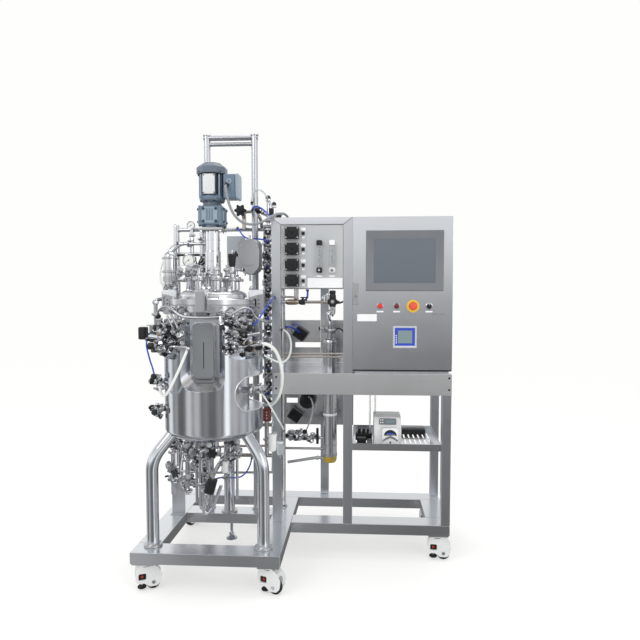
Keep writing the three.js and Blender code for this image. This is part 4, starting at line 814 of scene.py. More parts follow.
def mitredPost(x, y, z, band, left=True):
    # a post whose top is cut at 45 degrees to meet the band
    inner = x[1] if left else x[0]
    corners = [(x[0], z[0]), (x[1], z[0]), (x[1], z[1] - (band if left else 0)),
               (x[0], z[1] - (0 if left else band))]
    return slab(corners, y[1] - y[0], (0, y[1], 0), (1, 0, 0), (0, 0, 1), console["ease"])


def frontPortal():
    y = (console["front"], console["front"] + console["post"])
    left, middle, top, band = console["left"], console["middle"], console["top"], console["band"]
    right = middle + console["post"]
    bandOutline = [(left + 46.3, top - band), (middle - 0.3, top - band), (right - 0.3, top), (left + 0.3, top)]
    parts = [(mitredPost((left, left + 46), y, (railTop, top), band), brushedUp),
             (mitredPost((middle, right), y, (railTop, top), band, False), brushedUp),
             (slab(bandOutline, 46, (0, y[1], 0), (1, 0, 0), (0, 0, 1), console["ease"]), brushedAcross)]
    return parts + [(rod((left + 30, y[0] + 23, z), (middle + 16, y[0] + 23, z), 5, 14), strawTint)
                    for z in (1032, 1048)]


def rearPortal():
    y, top, beam = (rearY, skidDepth), console["top"], console["beam"]
    posts = [(console["rearLeft"], console["rearLeft"] + 46),
             (console["rearMiddle"], console["rearMiddle"] + 46)]
    parts = [(box(x, y, (railTop, top - beam - 0.2), console["ease"]), brushedUp) for x in posts]
    return parts + [(box((posts[0][0], posts[1][1]), y, (top - beam, top), console["ease"]), brushedAcross)]


def rightEndFrame():
    x, under = (skidWidth - 46, skidWidth), 950
    parts = [(box(x, y, (railTop, under - 46.2), console["ease"]), brushedUp)
             for y in ((398, 444), (rearY, skidDepth))]
    return parts + [(box(x, (398, skidDepth), (under - 46, under), console["ease"]), brushedDeep)]


makePiece("console_front_posts", frontPortal(), "brushed_steel", "front_portal")
makePiece("console_rear_posts", rearPortal(), "brushed_steel", "rear_portal")
makePiece("console_end_frame", rightEndFrame(), "brushed_steel", "right_end_frame")
print("console frame")


# ---------- worktop, tray and rear panel ----------

frameGrey = moulded("abs_moulded_light_grey", "#b9bec4", 0.4, 1.0, 0.05)
# a brighter copy of the brushed steel for the worktop's front apron: painted light that the apron catches
apronSteel = grained("stainless_sheet_brushed_across_painted_light", "#f1f2f3", 0.3, 1.3, (160, 1, 1), 0.01,
                     swing=0.02, tone=0.02)


def worktopSheet():
    (x0, y0, z0), (x1, y1, z1) = boxOf("worktop")
    apron = slab(rectangle((x0, x1), (z0, z1 - 0.3), 1.5), 2.7, (0, y0 + 2.7, 0), (1, 0, 0), (0, 0, 1), 1)
    # the sheet stops short of the posts, the rear panel and the upright tubes that pass it
    sheet = box((x0, x1), (y0 + 0.2, y1), (z1 - 3, z1), 1)
    holes = [box((585, 632.4), (397.6, 444.4), (940, 960), 0.1),
             box((942.6, 989.4), (397.6, 444.4), (940, 960), 0.1),
             box((500, 989.4), (841.3, 900), (940, 960), 0.1), box((799.6, 846.4), (843, 900), (940, 960), 0.1),
             rod((606, 630, 940), (606, 630, 960), 19, 24), rod((870, 545, 940), (870, 545, 960), 33, 32)]
    parts = [(carved(sheet, holes), brushedAcross), (apron, apronSteel),
             (box((848, 1430), (y1 - 3, y1), (913, z1 - 3.2), 0.8), brushedAcross)]
    for x in (x0 + 13, x1 - 13):
        for z in (z1 - 20, z1 - 78):
            parts += put(capScrew(5, 3, rubber), (x, y0 + 0.2, z), (0, -1, 0))
    return parts


def trayParts():
    (x0, y0, z0), (x1, y1, z1) = boxOf("shelf_tray")
    floor = slab(rectangle((x0, x1), (y0, y1), 2), 2, (0, 0, z0), ease=0.5)
    # rows of slots run from front to back
    pitch, cuts = 26, []
    for x in np.arange(x0 + 20, x1 - 14, pitch):
        for low, high in ((y0 + 30, y0 + 130), (y0 + 150, y0 + 250), (y0 + 270, y0 + 400)):
            cuts.append(slab(rectangle((x - 4, x + 4), (low, high), 4), 12, (0, 0, z0 - 5), ease=0.1))
    walls = [box((x0, x1), (y0, y0 + 2), (z0 + 1, z1), 0.6), box((x0, x1), (y1 - 2, y1), (z0 + 1, z1), 0.6),
             box((x0, x0 + 2), (y0 + 2, y1 - 2), (z0 + 1, z1), 0.6),
             box((x1 - 2, x1), (y0 + 2, y1 - 2), (z0 + 1, z1), 0.6)]
    return [(carved(floor, cuts), brushedDeep)] + [(wall, brushedAcross) for wall in walls]


def solenoidCoil(size=48, depth=40):
    # a moulded coil with a ribbed face, its valve body and a blue push-in elbow; it stands out along Z
    parts = [(slab(rectangle((-size / 2, size / 2), (4 - size / 2, size / 2 - 4), 5), depth - 8, (0, 0, 8),
                   ease=2), blackPlastic),
             (slab(rectangle((-size / 2 + 5, size / 2 - 5), (-16, 16), 3), 3, (0, 0, depth), ease=1), rubber),
             (rod((0, 0, 0), (0, 0, 9), 15, 20, 1), polished)]
    for k in range(4):
        parts.append((box((-18, 18), (-13 + 7 * k, -10 + 7 * k), (depth + 2, depth + 4.5), 0.8), blackPlastic))
    return parts


def rearPanelParts():
    (x0, y0, z0), (x1, y1, z1) = boxOf("rear_panel")
    y = (y1 - 2, y1)
    fold = 800
    # two sheets meet at an upright fold, and a third hangs below the worktop
    upper, lower = box((655, 806), (y1 - 20, y1 + 20), (1046, 1075),
                       0), box((604, 668), (y1 - 20, y1 + 20), (724, 752), 0)
    parts = [(carved(plate((x0, fold - 0.4), (960, z1), y, 0.6), [upper]), polishedSheet),
             (carved(plate((fold + 0.4, x1), (960, z1), y, 0.6), [upper]), polishedSheet),
             (carved(plate((x0, x1), (z0, 959.2), y, 0.6), [lower]), polishedSheet)]
    for x, z in ((688, 1126), (658, 660)):
        tilt = math.radians(-35)
        parts += put(solenoidCoil(70, 62), (x, y[0], z), (0, -1, 0), (math.cos(tilt), 0, math.sin(tilt)))
    x, z = 728, 745
    parts += put([(turn([(0, 0), (30, 0), (44, 6), (46, 14), (46, 52), (42, 58), (42, 62), (30, 70), (0, 70)],
                        sides=44), blackPlastic),
                  (turn([(0, 69), (16, 69), (18, 74), (16, 80), (0, 80)], sides=28), rubber)] +
                 [part for k in range(6) for part in put(capScrew(3, 3),
                                                         (37 * math.cos(k * 1.047), 37 * math.sin(k * 1.047),
                                                          60))],
                 (x, y[0], z), (0, -1, 0))
    return parts


polishedSheet = grained("stainless_sheet_polished", "#cfd0d2", 0.16, 2.5, (90, 1, 1), 0.06, swing=0.04)
makePiece("worktop_sheet", worktopSheet(), "brushed_steel", "worktop")
makePiece("tray_slotted", trayParts(), "brushed_steel", "shelf_tray")
makePiece("rear_panel_fitted", rearPanelParts(), "polished_steel", "rear_panel")


# ---------- cabinet ----------

cabinet = {"left": 989.3, "right": 1478, "low": 972, "high": 1724, "back": 748.3, "shellFront": 418.3,
           "sheet": 3}


def cabinetShellParts():
    c = cabinet
    outer = box((c["left"], c["right"]), (c["shellFront"], c["back"]), (c["low"], c["high"]), 2.5)
    hollow = box((c["left"] + 3, c["right"] - 3), (c["shellFront"] - 9, c["back"] - 3),
                 (c["low"] + 3, c["high"] - 3), 0.1)
    plinth = box((c["left"] + 12, c["right"] - 12), (c["shellFront"] + 4, c["back"] - 12), (953, c["low"]), 1)
    # a black strip under the door is a painted shadow line in its seam
    seam = [(box((c["left"] + 2, c["right"] - 2), (399, 417), (c["low"] - 6, c["low"] - 0.5), 0.5), gap)]
    backDoor = [(box((c["left"] + 30, c["right"] - 30), (c["back"] - 1, c["back"] + 2),
                     (c["low"] + 30, c["high"] - 30), 0.8),
                 brushedUp)]
    # louvres in two rows on the right side and on the back
    for z in np.arange(1090, 1250, 16):
        backDoor.append((box((1100, 1200), (c["back"] + 1, c["back"] + 5), (z, z + 5), 1.5), brushedUp))
        backDoor.append((box((1270, 1370), (c["back"] + 1, c["back"] + 5), (z, z + 5), 1.5), brushedUp))
    return seam + [(carved(outer, [hollow]), brushedUp), (plinth, brushedAcross)] + backDoor


def cabinetDoorParts():
    c = cabinet
    x, z, y = (c["left"] + 0.3, c["right"] - 0.3), (c["low"], c["high"]), (398, 418)
    leaf = plate(x, z, y, 1.6, 1.5)
    hollow = box((x[0] + 3, x[1] - 3), (y[0] + 3, y[1] + 9), (z[0] + 3, z[1] - 3), 0.1)
    parts = [(carved(leaf, [hollow, box((1073, 1412), (390, 425), (1382, 1637), 0.1),
                            box((1196.3, 1295.7), (390, 425), (1089.3, 1181.7), 0.1)]), brushedAcross)]
    # latch plate with its lock boss, and the label fields under the buttons
    parts += [(plate((990.6, 1019.6), (1295, 1401), (396, 399), 0.7, 3), satin)]
    for px, pz in ((1000, 1305), (1010, 1391)):
        parts += put(capScrew(2.6, 1.4), (px, 396.2, pz), (0, -1, 0))
    for lx in (1124, 1205, 1363):
        parts.append((plate((lx - 17, lx + 17), (1257, 1264), (397.4, 398.5), 0.2, 1), label))
    parts.append((plate((1012, 1108), (1213, 1248), (397.5, 398.5), 0.2, 1.5), label))
    # indicator lamps: chrome bezel and a ribbed lens
    for lx, paint in ((1124, lampRed), (1205, darkRed)):
        parts += put([(turn([(0, 0), (16, 0), (16, 4), (14.5, 6), (12.5, 6), (12.5, 3), (0, 3)], sides=32),
                       polished),
                      (turn([(0, 2), (12.4, 2), (12.4, 8), (11, 10.4), (6, 11.6), (0, 12)], sides=32), paint),
                      (turn([(0, 11.5), (3, 11.6), (0, 12.6)], sides=16), paint)], (lx, 398, 1288), (0, -1, 0))
    # the stop button's yellow collar, open for the button's stem
    ring = [(10, 0), (30, 0), (31, 1.5), (31, 4), (27, 8), (22, 11.6), (10, 11.6)]
    parts += put([(turn(ring, sides=48, loop=True), yellowPlastic)], (1285, 398, 1288), (0, -1, 0))
    # a black ring inside the collar is painted shade in its opening
    parts += put([(turn([(10, 8), (20.5, 8), (20.5, 12.2), (10, 12.2)], sides=40, loop=True), gap)],
                 (1285, 398, 1288), (0, -1, 0))
    # selector bezel
    parts += put([(turn([(9.5, 0), (17, 0), (17, 2), (15.5, 4.5), (13, 5), (9.5, 5)], sides=36, loop=True),
                   polished)],
                 (1363, 398, 1288), (0, -1, 0))
    # a bare trim strip to the right of the buttons, and the hinge knuckles on the closing edge
    parts.append((plate((1375, 1452), (1247, 1252), (397.2, 398.4), 0.3, 1), polished))
    return parts


def displayParts():
    (x0, _, z0), (x1, _, z1) = boxOf("display")
    front = 397.7

    def ring(inward, y):
        return [(x0 + inward, y, z0 + inward), (x1 - inward, y, z0 + inward), (x1 - inward, y, z1 - inward),
                (x0 + inward, y, z1 - inward)]
    levels = [(0, 0), (0, 12), (2, 16.4), (5, 17), (31, 4.4), (36, 3.4), (38, 2.2), (50, 2.2), (50, 0)]
    parts = [(loft([ring(inward, front - proud) for inward, proud in levels], loop=True), bezelGrey),
             (plate((x0 + 38, x1 - 38), (z0 + 38, z1 - 38), (front - 2.8, front - 1), 0.4, 1), screenGlass),
             (box((1073.8, 1411.2), (front - 1, 442), (1382.8, 1636.2), 2), paleGrey)]
    return parts


def controllerParts():
    (x0, _, z0), (x1, _, z1) = boxOf("mini_controller")
    y = 397.7
    parts = [(plate((x0, x1), (z0, z1), (y - 8, y), 2.4, 5), frameGrey),
             (plate((x0 + 9, x1 - 9), (z0 + 9, z1 - 9), (y - 8.5, y - 6), 0.3, 2), screenBlue),
             (plate((x0 + 24, x1 - 22), (z0 + 24, z1 - 22), (y - 9, y - 6), 0.3, 1.5), lcd),
             (plate((x0 + 9, x1 - 9), (z0 + 9, z0 + 11.5), (y - 8.9, y - 6), 0.2, 0.5), whitePlastic),
             (box((x0 + 8.5, x1 - 8.5), (y - 1, y + 39), (z0 + 8.5, z1 - 8.5), 2), blackPlastic)]
    for k in range(5):
        parts.append((plate((x0 + 13, x0 + 19), (z0 + 24 + k * 9, z0 + 28 + k * 9), (y - 8.9, y - 6), 0.2, 1),
                      label))
    return parts


def stopButtonParts():
    # a mushroom head with a raised rim and a domed centre, and its stem; y runs back from the head's front
    head = [(0, 0), (9.2, 0), (9.2, 26), (9, 27), (0, 27)]
    dome = [(0, 0), (5, 0.1), (11, 1.0), (15, 2.8), (18.6, 6), (20, 9.4), (19.6, 12.4), (18, 13.6), (12, 13.6),
            (0, 13.6)]
    return put([(turn(dome, sides=44), coralPlastic)], (1285, 365.6, 1288), (0, 1, 0)) + \
        put([(turn(head, sides=24), blackPlastic)], (1285, 378, 1288), (0, 1, 0)) + \
        put([(turn([(12, 0), (12.6, 0), (12.6, 0.7), (12, 0.7)], sides=40, loop=True), redPlastic)],
            (1285, 366.7, 1288), (0, 1, 0))


def keySwitchParts():
    x, z = 1363, 1288
    return put([(turn([(0, 0), (9, 0), (12, 1), (12, 7), (10.5, 8.7), (0, 8.7)], sides=32), blackPlastic),
                (box((-3, 3), (-10, 10), (7, 15.4), 1.4), blackPlastic),
                (box((-0.7, 0.7), (3, 9.6), (15.2, 15.9), 0.2), label)], (x, 397.7, z), (0, -1, 0)) + \
        [(rod((x, 397, z), (x, 421, z), 8.8, 16), blackPlastic)]


def doorLockParts():
    x, z = 1004.6, 1337
    # the keyway's black slot and disc are painted shade in its recess
    return put([(turn([(0, 0), (7, 0), (7, 20), (6.2, 22), (0, 22)], sides=28), polished),
                (box((-1, 1), (-4, 4), (21.8, 22.2), 0.1), gap),
                (rod((0, 0, 21.5), (0, 0, 22.3), 2, 14), gap)], (x, 416, z), (0, -1, 0)) + \
        [(box((x - 6, x + 6), (413.2, 416), (z - 8, z + 34), 0.8), polished)]


makePiece("cabinet_body", cabinetShellParts(), "brushed_steel", "cabinet_shell")
makePiece("cabinet_door_leaf", cabinetDoorParts(), "brushed_steel", "cabinet_door", "door")
makePiece("display_panel", displayParts(), "grey_plastic", "display", "door")
makePiece("temperature_controller", controllerParts(), "white_plastic", "mini_controller", "door")
makePiece("stop_mushroom", stopButtonParts(), "red_plastic", "e_stop_button", "e_stop_button")
makePiece("selector_knob", keySwitchParts(), "black_plastic", "key_switch", "key_switch")
makePiece("door_cam_lock", doorLockParts(), "polished_steel", "door_lock", "door_lock")
print("cabinet and door")


# ---------- instrument panel ----------

panel = {"face": 404, "pumpX": 690, "pumpZ": (1414, 1491, 1569, 1647), "split": 762}


def pumpHead():
    # a black pump head on its Z axis: squared body with clipped corners, dished rotor cover, four screws
    w, h = 34.5, 29.5
    body = slab(rounded([(-w, -h), (w, -h), (w, h), (-w, h)], 4, 3, True), 26, ease=2)
    parts = [(body, blackPlastic),
             (turn([(0, 25), (24, 25), (24, 29), (22, 31.5), (17, 31.5), (16, 30), (0, 30)], sides=36),
              blackPlastic),
             (turn([(0, 29), (9, 29), (9, 32), (7.6, 33.6), (0, 33.6)], sides=24), rubber)]
    for k in range(3):
        a = 2.094 * k + 0.5
        parts.append((slab([(7, -2.4), (17, -1.6), (17, 1.6), (7, 2.4)], 2.6, (0, 0, 29.6),
                           (math.cos(a), math.sin(a), 0), (-math.sin(a), math.cos(a), 0), 0.6), rubber))
    for x in (-28, 28):
        for y in (-23, 23):
            parts += put(capScrew(4, 3.2), (x, y, 25.4))
    for y in (-12, 0, 12):
        parts.append((rod((-38, y, 8), (-33, y, 8), 3.4, 12, 0.5), siliconeTube))
    return parts


def rotameter(dark):
    # a clear flow tube between two end blocks, with a scale strip behind and a valve knob below; Y is up
    ends = blackPlastic if dark else whitePlastic
    half, r = 79, 14
    parts = [(slab(rectangle((-11, 11), (-58, 58), 4), 16, (0, 0, 10), ease=2), clearBowl),
             (box((-3, 3), (-56, 56), (13, 14.5), 0.4), label),
             (rod((0, -57, 20), (0, 57, 20), 4.6, 16), clearTube),
             (rod((0, 4, 20), (0, 12, 20), 3.4, 14), ends)]
    for sign in (-1, 1):
        parts += [(slab(rectangle((-r, r), (54, half) if sign > 0 else (-half, -54), 5), 28, (0, 0, 1),
                        ease=2.4), ends),
                  (rod((0, sign * 68, 0), (0, sign * 68, 5), 9, 18), polished)]
    for k in range(9):
        parts.append((box((-3, 0.5), (-44 + 11 * k, -43 + 11 * k), (14.4, 14.8), 0.05), gap))
    if dark:
        parts += [(slab(lobed(9.5, 10, 0.06, 4), 13, (0, -68, 28), ease=1.6), blackPlastic),
                  (rod((0, -68, 40), (0, -68, 42), 5.5, 16, 0.6), polished)]
    else:
        parts += [(slab(lobed(9.5, 10, 0.06, 4), 13, (0, -68, 28), ease=1.6), polished),
                  (rod((0, -68, 40), (0, -68, 42), 4, 16, 0.6), rubber)]
    return parts


def instrumentParts():
    (x0, _, z0), (x1, y1, z1) = boxOf("instrument_panel")
    x1, z1, face = 942.7, 1687.7, panel["face"]
    back = 553.7
    shell = box((x0, x1), (face, back), (z0, z1), 1.5)
    hollow = box((x0 + 3, x1 - 3), (face + 3, back + 9), (z0 + 3, z1 - 3), 0.1)
    parts = [(carved(shell, [hollow]), brushedUp)]
    split = panel["split"]
    # the pump side is four modules one above the other, the flow side one plate
    levels = [z0 + 1, 1452.5, 1530, 1608, z1 - 1]
    for low, high in zip(levels, levels[1:]):
        parts.append((plate((x0 + 1, split - 1), (low + 0.8, high - 0.8), (face - 2.4, face + 0.5), 0.8, 2),
                      paleGrey))
        middle = (low + high) / 2
        parts += [(plate((732, 757), (middle + 12, middle + 26), (face - 3, face), 0.3, 1), label),
                  (plate((737, 752), (middle - 10, middle + 6), (face - 6, face), 0.8, 2), blackPlastic),
                  (plate((740, 749), (middle - 4, middle + 1), (face - 7.4, face), 0.4, 1), rubber),
                  (plate((738, 751), (middle - 26, middle - 18), (face - 3.2, face), 0.3, 1), label)]
    parts.append((plate((split + 1, x1 - 1), (z0 + 2, z1 - 2), (face - 1.6, face + 0.5), 0.8, 2),
                  paleGreySheet))
    parts.append((plate((split + 4, x1 - 4), (z0 + 4, z0 + 52), (face - 2.4, face), 0.4, 1), label))
    for lx in (825, 888):
        parts.append((plate((lx - 13, lx + 13), (1432, 1439), (face - 2.6, face), 0.2, 1), label))
    for z in panel["pumpZ"]:
        parts += put(pumpHead(), (panel["pumpX"], face - 2, z), (0, -1, 0), (1, 0, 0))
    parts += put(rotameter(True), (825, face - 1, 1531), (0, -1, 0), (1, 0, 0))
    parts += put(rotameter(False), (888, face - 1, 1531), (0, -1, 0), (1, 0, 0))
    for x in (split + 8, x1 - 8):
        for z in (z0 + 60, z1 - 10):
            parts += put(capScrew(2.6, 1.6), (x, face - 1.8, z), (0, -1, 0))
    lead = np.array(cordFacts["motor_lead"]["route"][-2:], float)
    parts += put(gland(9), lead[1], lead[0] - lead[1])
    return parts


paleGreySheet = moulded("sheet_anodised_pale_grey", "#c6c9cb", 0.42, 1.0, 0.06, metallic=0.5)
makePiece("pump_and_flow_panel", instrumentParts(), "brushed_steel", "instrument_panel")
print("instrument panel")


# ---------- vessel: cladding, cup, lid, clamps and legs ----------

vessel = {"x": 334.5, "y": 235, "radius": 229, "top": 1232, "bottom": 658, "dish": 63, "core": 160,
          "pocket": 165, "neck": 150, "dome": 157, "flange": 205}


def around(radius, degrees, z):
    # a point at a radius and compass angle about the vessel's axis, angle 0 towards the console
    a = math.radians(degrees)
    return np.array((vessel["x"] + radius * math.cos(a), vessel["y"] + radius * math.sin(a), z))


def dish(radius, poleZ, rimZ, steps=14, start=0.0):
    # a quarter ellipse from its pole to its rim: radius times sine, height times cosine
    a = np.linspace(math.asin(start / radius), math.pi / 2, steps)
    return [(radius * math.sin(t), rimZ + (poleZ - rimZ) * math.cos(t)) for t in a]


def claddingPocket(degrees, backHalf, frontHalf, floor, flare, corner):
    # rounded outlines lofted from the flat back to beyond the cladding, wider towards the front, open at the top
    top = vessel["top"] + 30
    rings = []
    for radius, half, low in ((vessel["pocket"], backHalf, floor),
                              (vessel["radius"] + 26, frontHalf * 1.06, floor - flare * 1.12)):
        outline = rounded([(-half, low), (half, low), (half, top), (-half, top)], [corner, corner, 1, 1], 7,
                          True)
        a = math.radians(degrees)
        out, side = np.array((math.cos(a), math.sin(a), 0)), np.array((-math.sin(a), math.cos(a), 0))
        rings.append(np.array((vessel["x"], vessel["y"],
                               0)) + out * radius + outline[:, :1] * side + outline[:, 1:] * (0, 0, 1))
    return loft(rings)


sampleSlot = (-33, 50, 893, 79)  # first and last angle, height of its middle, half height


def slotOutline(first, last, z, half):
    # a slot with half-round ends, in angle and height
    reach = math.degrees(half / vessel["radius"])
    turns = np.linspace(-math.pi / 2, math.pi / 2, 13)
    right = [(last + reach * math.cos(t), z + half * math.sin(t)) for t in turns]
    left = [(first - reach * math.cos(t), z - half * math.sin(t)) for t in turns]
    along = np.linspace(first, last, 12)[1:-1]
    return right + [(a, z + half) for a in along[::-1]] + left + [(a, z - half) for a in along]


def claddingSlot(*place):
    # the slot's outline lofted outwards through the cladding
    outline = slotOutline(*place)
    rings = [[around(radius, a, height) for a, height in outline] for radius in (60, 200,
        vessel["radius"] + 170)]
    return loft(rings)


def portFerrule(degrees, z, start, end, radius=15):
    # a short welded tube with its ferrule and clamp, pointing out from the vessel
    way = around(1, degrees, 0) - around(0, degrees, 0)
    return [(rod(around(start, degrees, z), around(end - 6, degrees, z), radius, 24), polished),
            (rod(around(start, degrees, z), around(start + 3, degrees, z), radius + 5, 28, 1.4), satin)] + \
        put(triClamp(radius + 7), around(end - 8, degrees, z), way, (0.3, 0, 1))


def claddingParts():
    v = vessel
    outside = dish(v["radius"], v["bottom"], v["bottom"] + v["dish"], 20) + \
        [(v["radius"], v["top"] - 9), (v["radius"] - 3, v["top"] - 3), (v["radius"] - 9, v["top"])]
    inside = [(v["core"] + 1, v["top"])] + dish(v["core"] + 1, v["bottom"] + 9, v["bottom"] + v["dish"] + 10,
                                                12)[::-1]
    shell = turn(outside + inside, (v["x"], v["y"], 0), sides=144)
    cuts = [claddingPocket(-90, 67, 131, 964, 62, 46), claddingPocket(-140, 60, 82, 1062, 12, 18),
            claddingPocket(-40, 60, 82, 1062, 12, 18), claddingSlot(*sampleSlot)]
    points, faces = carved(shell, cuts, bevel=4.5, segments=3, angle=40)
    # the sloped lip under the front pocket is ground, the slot's wall is satin, the rest is polished
    lip, rest, slot = [], [], []
    for group in faces:
        corners = points[group]
        middle = corners.mean(1)
        normal = np.cross(corners[:, 1] - corners[:, 0], corners[:, 2] - corners[:, 0])
        rise = normal[:, 2] / np.maximum(np.linalg.norm(normal, axis=1), 1e-9)
        reach = np.hypot(middle[:, 0] - v["x"], middle[:, 1] - v["y"])
        isLip = (rise > 0.35) & (reach > v["pocket"] - 1) & (reach < v["radius"] - 1) & (middle[:, 2] < 1000) & (middle[:, 0] < v["x"] + 130)
        isSlot = (reach > v["pocket"] + 1) & (reach < v["radius"] - 1) & (abs(middle[:, 2] - sampleSlot[2]) < 96) & (middle[:, 0] > v["x"] + 90)
        lip.append(group[isLip & ~isSlot])
        slot.append(group[isSlot])
        rest.append(group[~isLip & ~isSlot])
    parts = [((points, [group for group in kept if len(group)]), paint) for kept, paint in ((rest, cladding),
        (lip, lipSteel), (slot, slotSteel))]
    # the inner wall that shows at the back of the slot, and the slot's rounded rim
    rim = [around(v["radius"] - 1, a, height) for a, height in slotOutline(*sampleSlot)]
    parts.append((sweep(smoothPath(rim + rim[:1], 2), circle(3, 10)), rimSteel))
    parts.append((turn([(161.5, 800), (164.5, 800), (164.5, 984), (161.5, 984)], (v["x"], v["y"], 0),
                       sides=120, loop=True), slotSteel))
    for degrees in (-140, -40):
        for z in (1112, 1186):
            parts += portFerrule(degrees, z, 161, 206)
    parts += portFerrule(-24, 903, 161, 222)
    # the sampling tap in the slot: a body, two small valves and a bent outlet
    tap = around(226, -24, 903)
    parts += [(pipe([tap, tap + (14, -8, 4), tap + (52, -14, 24)], 8, 12), polished)]
    parts += put(handValve(34, 9, satin, 9), tap + (16, -8, 6), (0.1, -1, 0.5)) + put(triClamp(13),
        tap + (34, -12, 15), (0.9, -0.1, 0.4))
    parts += fittingCluster(tap + (30, -10, 14), (30, 14, 20), 10, 5, 0.9)
    for z in (812, 938):
        seat = around(v["radius"] - 5, 196, z)
        way = around(v["radius"] + 24, 196, z) - seat
        parts += [(rod(seat, seat + way, 11, 20), polished),
                  (rod(seat + way * 0.18, seat + way * 0.3, 17, 24, 1.5), satin)]
        parts += put(triClamp(14), seat + way * 0.92, way)
        parts += put(handValve(50, 15), around(v["radius"] + 22, 196, z), (-1, -0.4, 0.1), (0, 0, 1))
        # the tee under each sample valve, with its small outlet
        tee = around(v["radius"] + 30, 196, z)
        parts += [(rod(tee + (0, 0, 10), tee + (0, 0, -34), 7, 16), polished)]
        parts += put(triClamp(12), tee + (0, 0, -32), (0, 0, -1), (1, 0, 0))
        parts += put(handValve(42, 14), tee + (6, -18, 24 if z > 900 else -16), (-0.3, -1, 0.2), (0, 0, 1))
        parts += fittingCluster(tee + (4, -4, -14), (26, 20, 34), 9, z, 1.0)
    # hose seats: a barbed spigot where each hose ends
    for route, start, radius in (("silicone_hose_left", around(v["radius"] - 4, 200, 942), 6),
                                 ("silicone_hose_right", around(v["radius"] - 4, 22, 806), 8)):
        end = np.array(cordFacts[route]["route"][-2:], float)
        way = unit(end[1] - end[0])
        parts.append((pipe([start, end[1] + way * 16, end[1] + way * 0.3], radius, 7), polished))
        parts += put([(hexNut(radius * 1.5, 6)[0][0], polished)], end[1] + way * 3, way)
    return parts


def cupParts():
    v = vessel
    core, neck, flange = v["core"], v["neck"], v["flange"]
    outside = dish(core, v["bottom"] + 10, v["bottom"] + v["dish"] + 10, 16) + \
        [(core, 1246), (core - 2, 1248), (neck, 1248), (neck, 1262), (flange - 1.5, 1262), (flange, 1263.5),
         (flange, 1290.5),
         (flange - 1.5, 1292), (140, 1292)]
    return [(turn(outside + dish(140, 742, 802, 14)[::-1], (v["x"], v["y"], 0), sides=120), polished)]


def lidPlace(index):
    return around(108, (index + 0.5) * 45, 0)


def lidNozzle(x, y, cap=True):
    # a welded stub with its ferrules and clamp; a blanked one ends in a domed cap
    parts = [(rod((x, y, 1340), (x, y, 1410), 17.5, 28), polished),
             (turn([(17, 1352), (23, 1345), (17, 1360)], (x, y, 0), sides=28, loop=True), satin)]
    parts += put(triClamp(26), (x, y, 1412), (0, 0, 1), (x - vessel["x"] + 3, y - vessel["y"] - 40, 0))
    if cap:
        parts.append((turn([(0, 1418), (25, 1418), (25, 1423), (21, 1427), (0, 1428)], (x, y, 0), sides=28),
                      polished))
    return parts


def lidParts():
    v = vessel
    x, y = v["x"], v["y"]
    # a deep dome with an upright skirt, a rolled rim where it meets the flange, and a collar for the drive
    profile = [(15, 1432), (43, 1432), (44, 1431), (44, 1422), (43, 1420),
               (38, 1416)] + dish(v["dome"], 1382, 1336, 18, 38) + \
        [(v["dome"], 1326), (v["dome"] + 4, 1322), (v["flange"] - 2, 1322), (v["flange"], 1320),
         (v["flange"], 1297.5),
         (v["flange"] - 1.5, 1296)] + dish(140, 1342, 1296, 14, 15)[::-1]
    parts = [(turn(profile, (x, y, 0), sides=120, loop=True), domeSteel)]
    for k in range(8):
        px, py, _ = lidPlace(k)
        parts += lidNozzle(px, py, k not in (3, 7))
    # the probe with its black connector head and the silver plug above it
    px, py, _ = lidPlace(7)
    parts += [(rod((px, py, 1416), (px, py, 1478), 12, 24, 1), polished),
              (slab(circle(17, 6), 14, (px, py, 1438), ease=1.5), polished),
              (turn([(0, 1470), (12, 1470), (13.5, 1474), (19.5, 1526), (18.5, 1530), (0, 1531)], (px, py, 0),
                    sides=28), blackPlastic),
              (rod((px, py, 1530), (px, py, 1546), 6, 18, 1), polished),
              (slab(circle(9, 6), 6, (px, py, 1533), ease=1), polished)]
    for z in range(1480, 1520, 9):
        parts.append((turn([(13, z), (16 + (z - 1480) * 0.09, z + 1), (16 + (z - 1480) * 0.09, z + 4),
                            (13, z + 5)],
                           (px, py, 0), sides=28, loop=True), rubber))
    return parts + lidFittings()


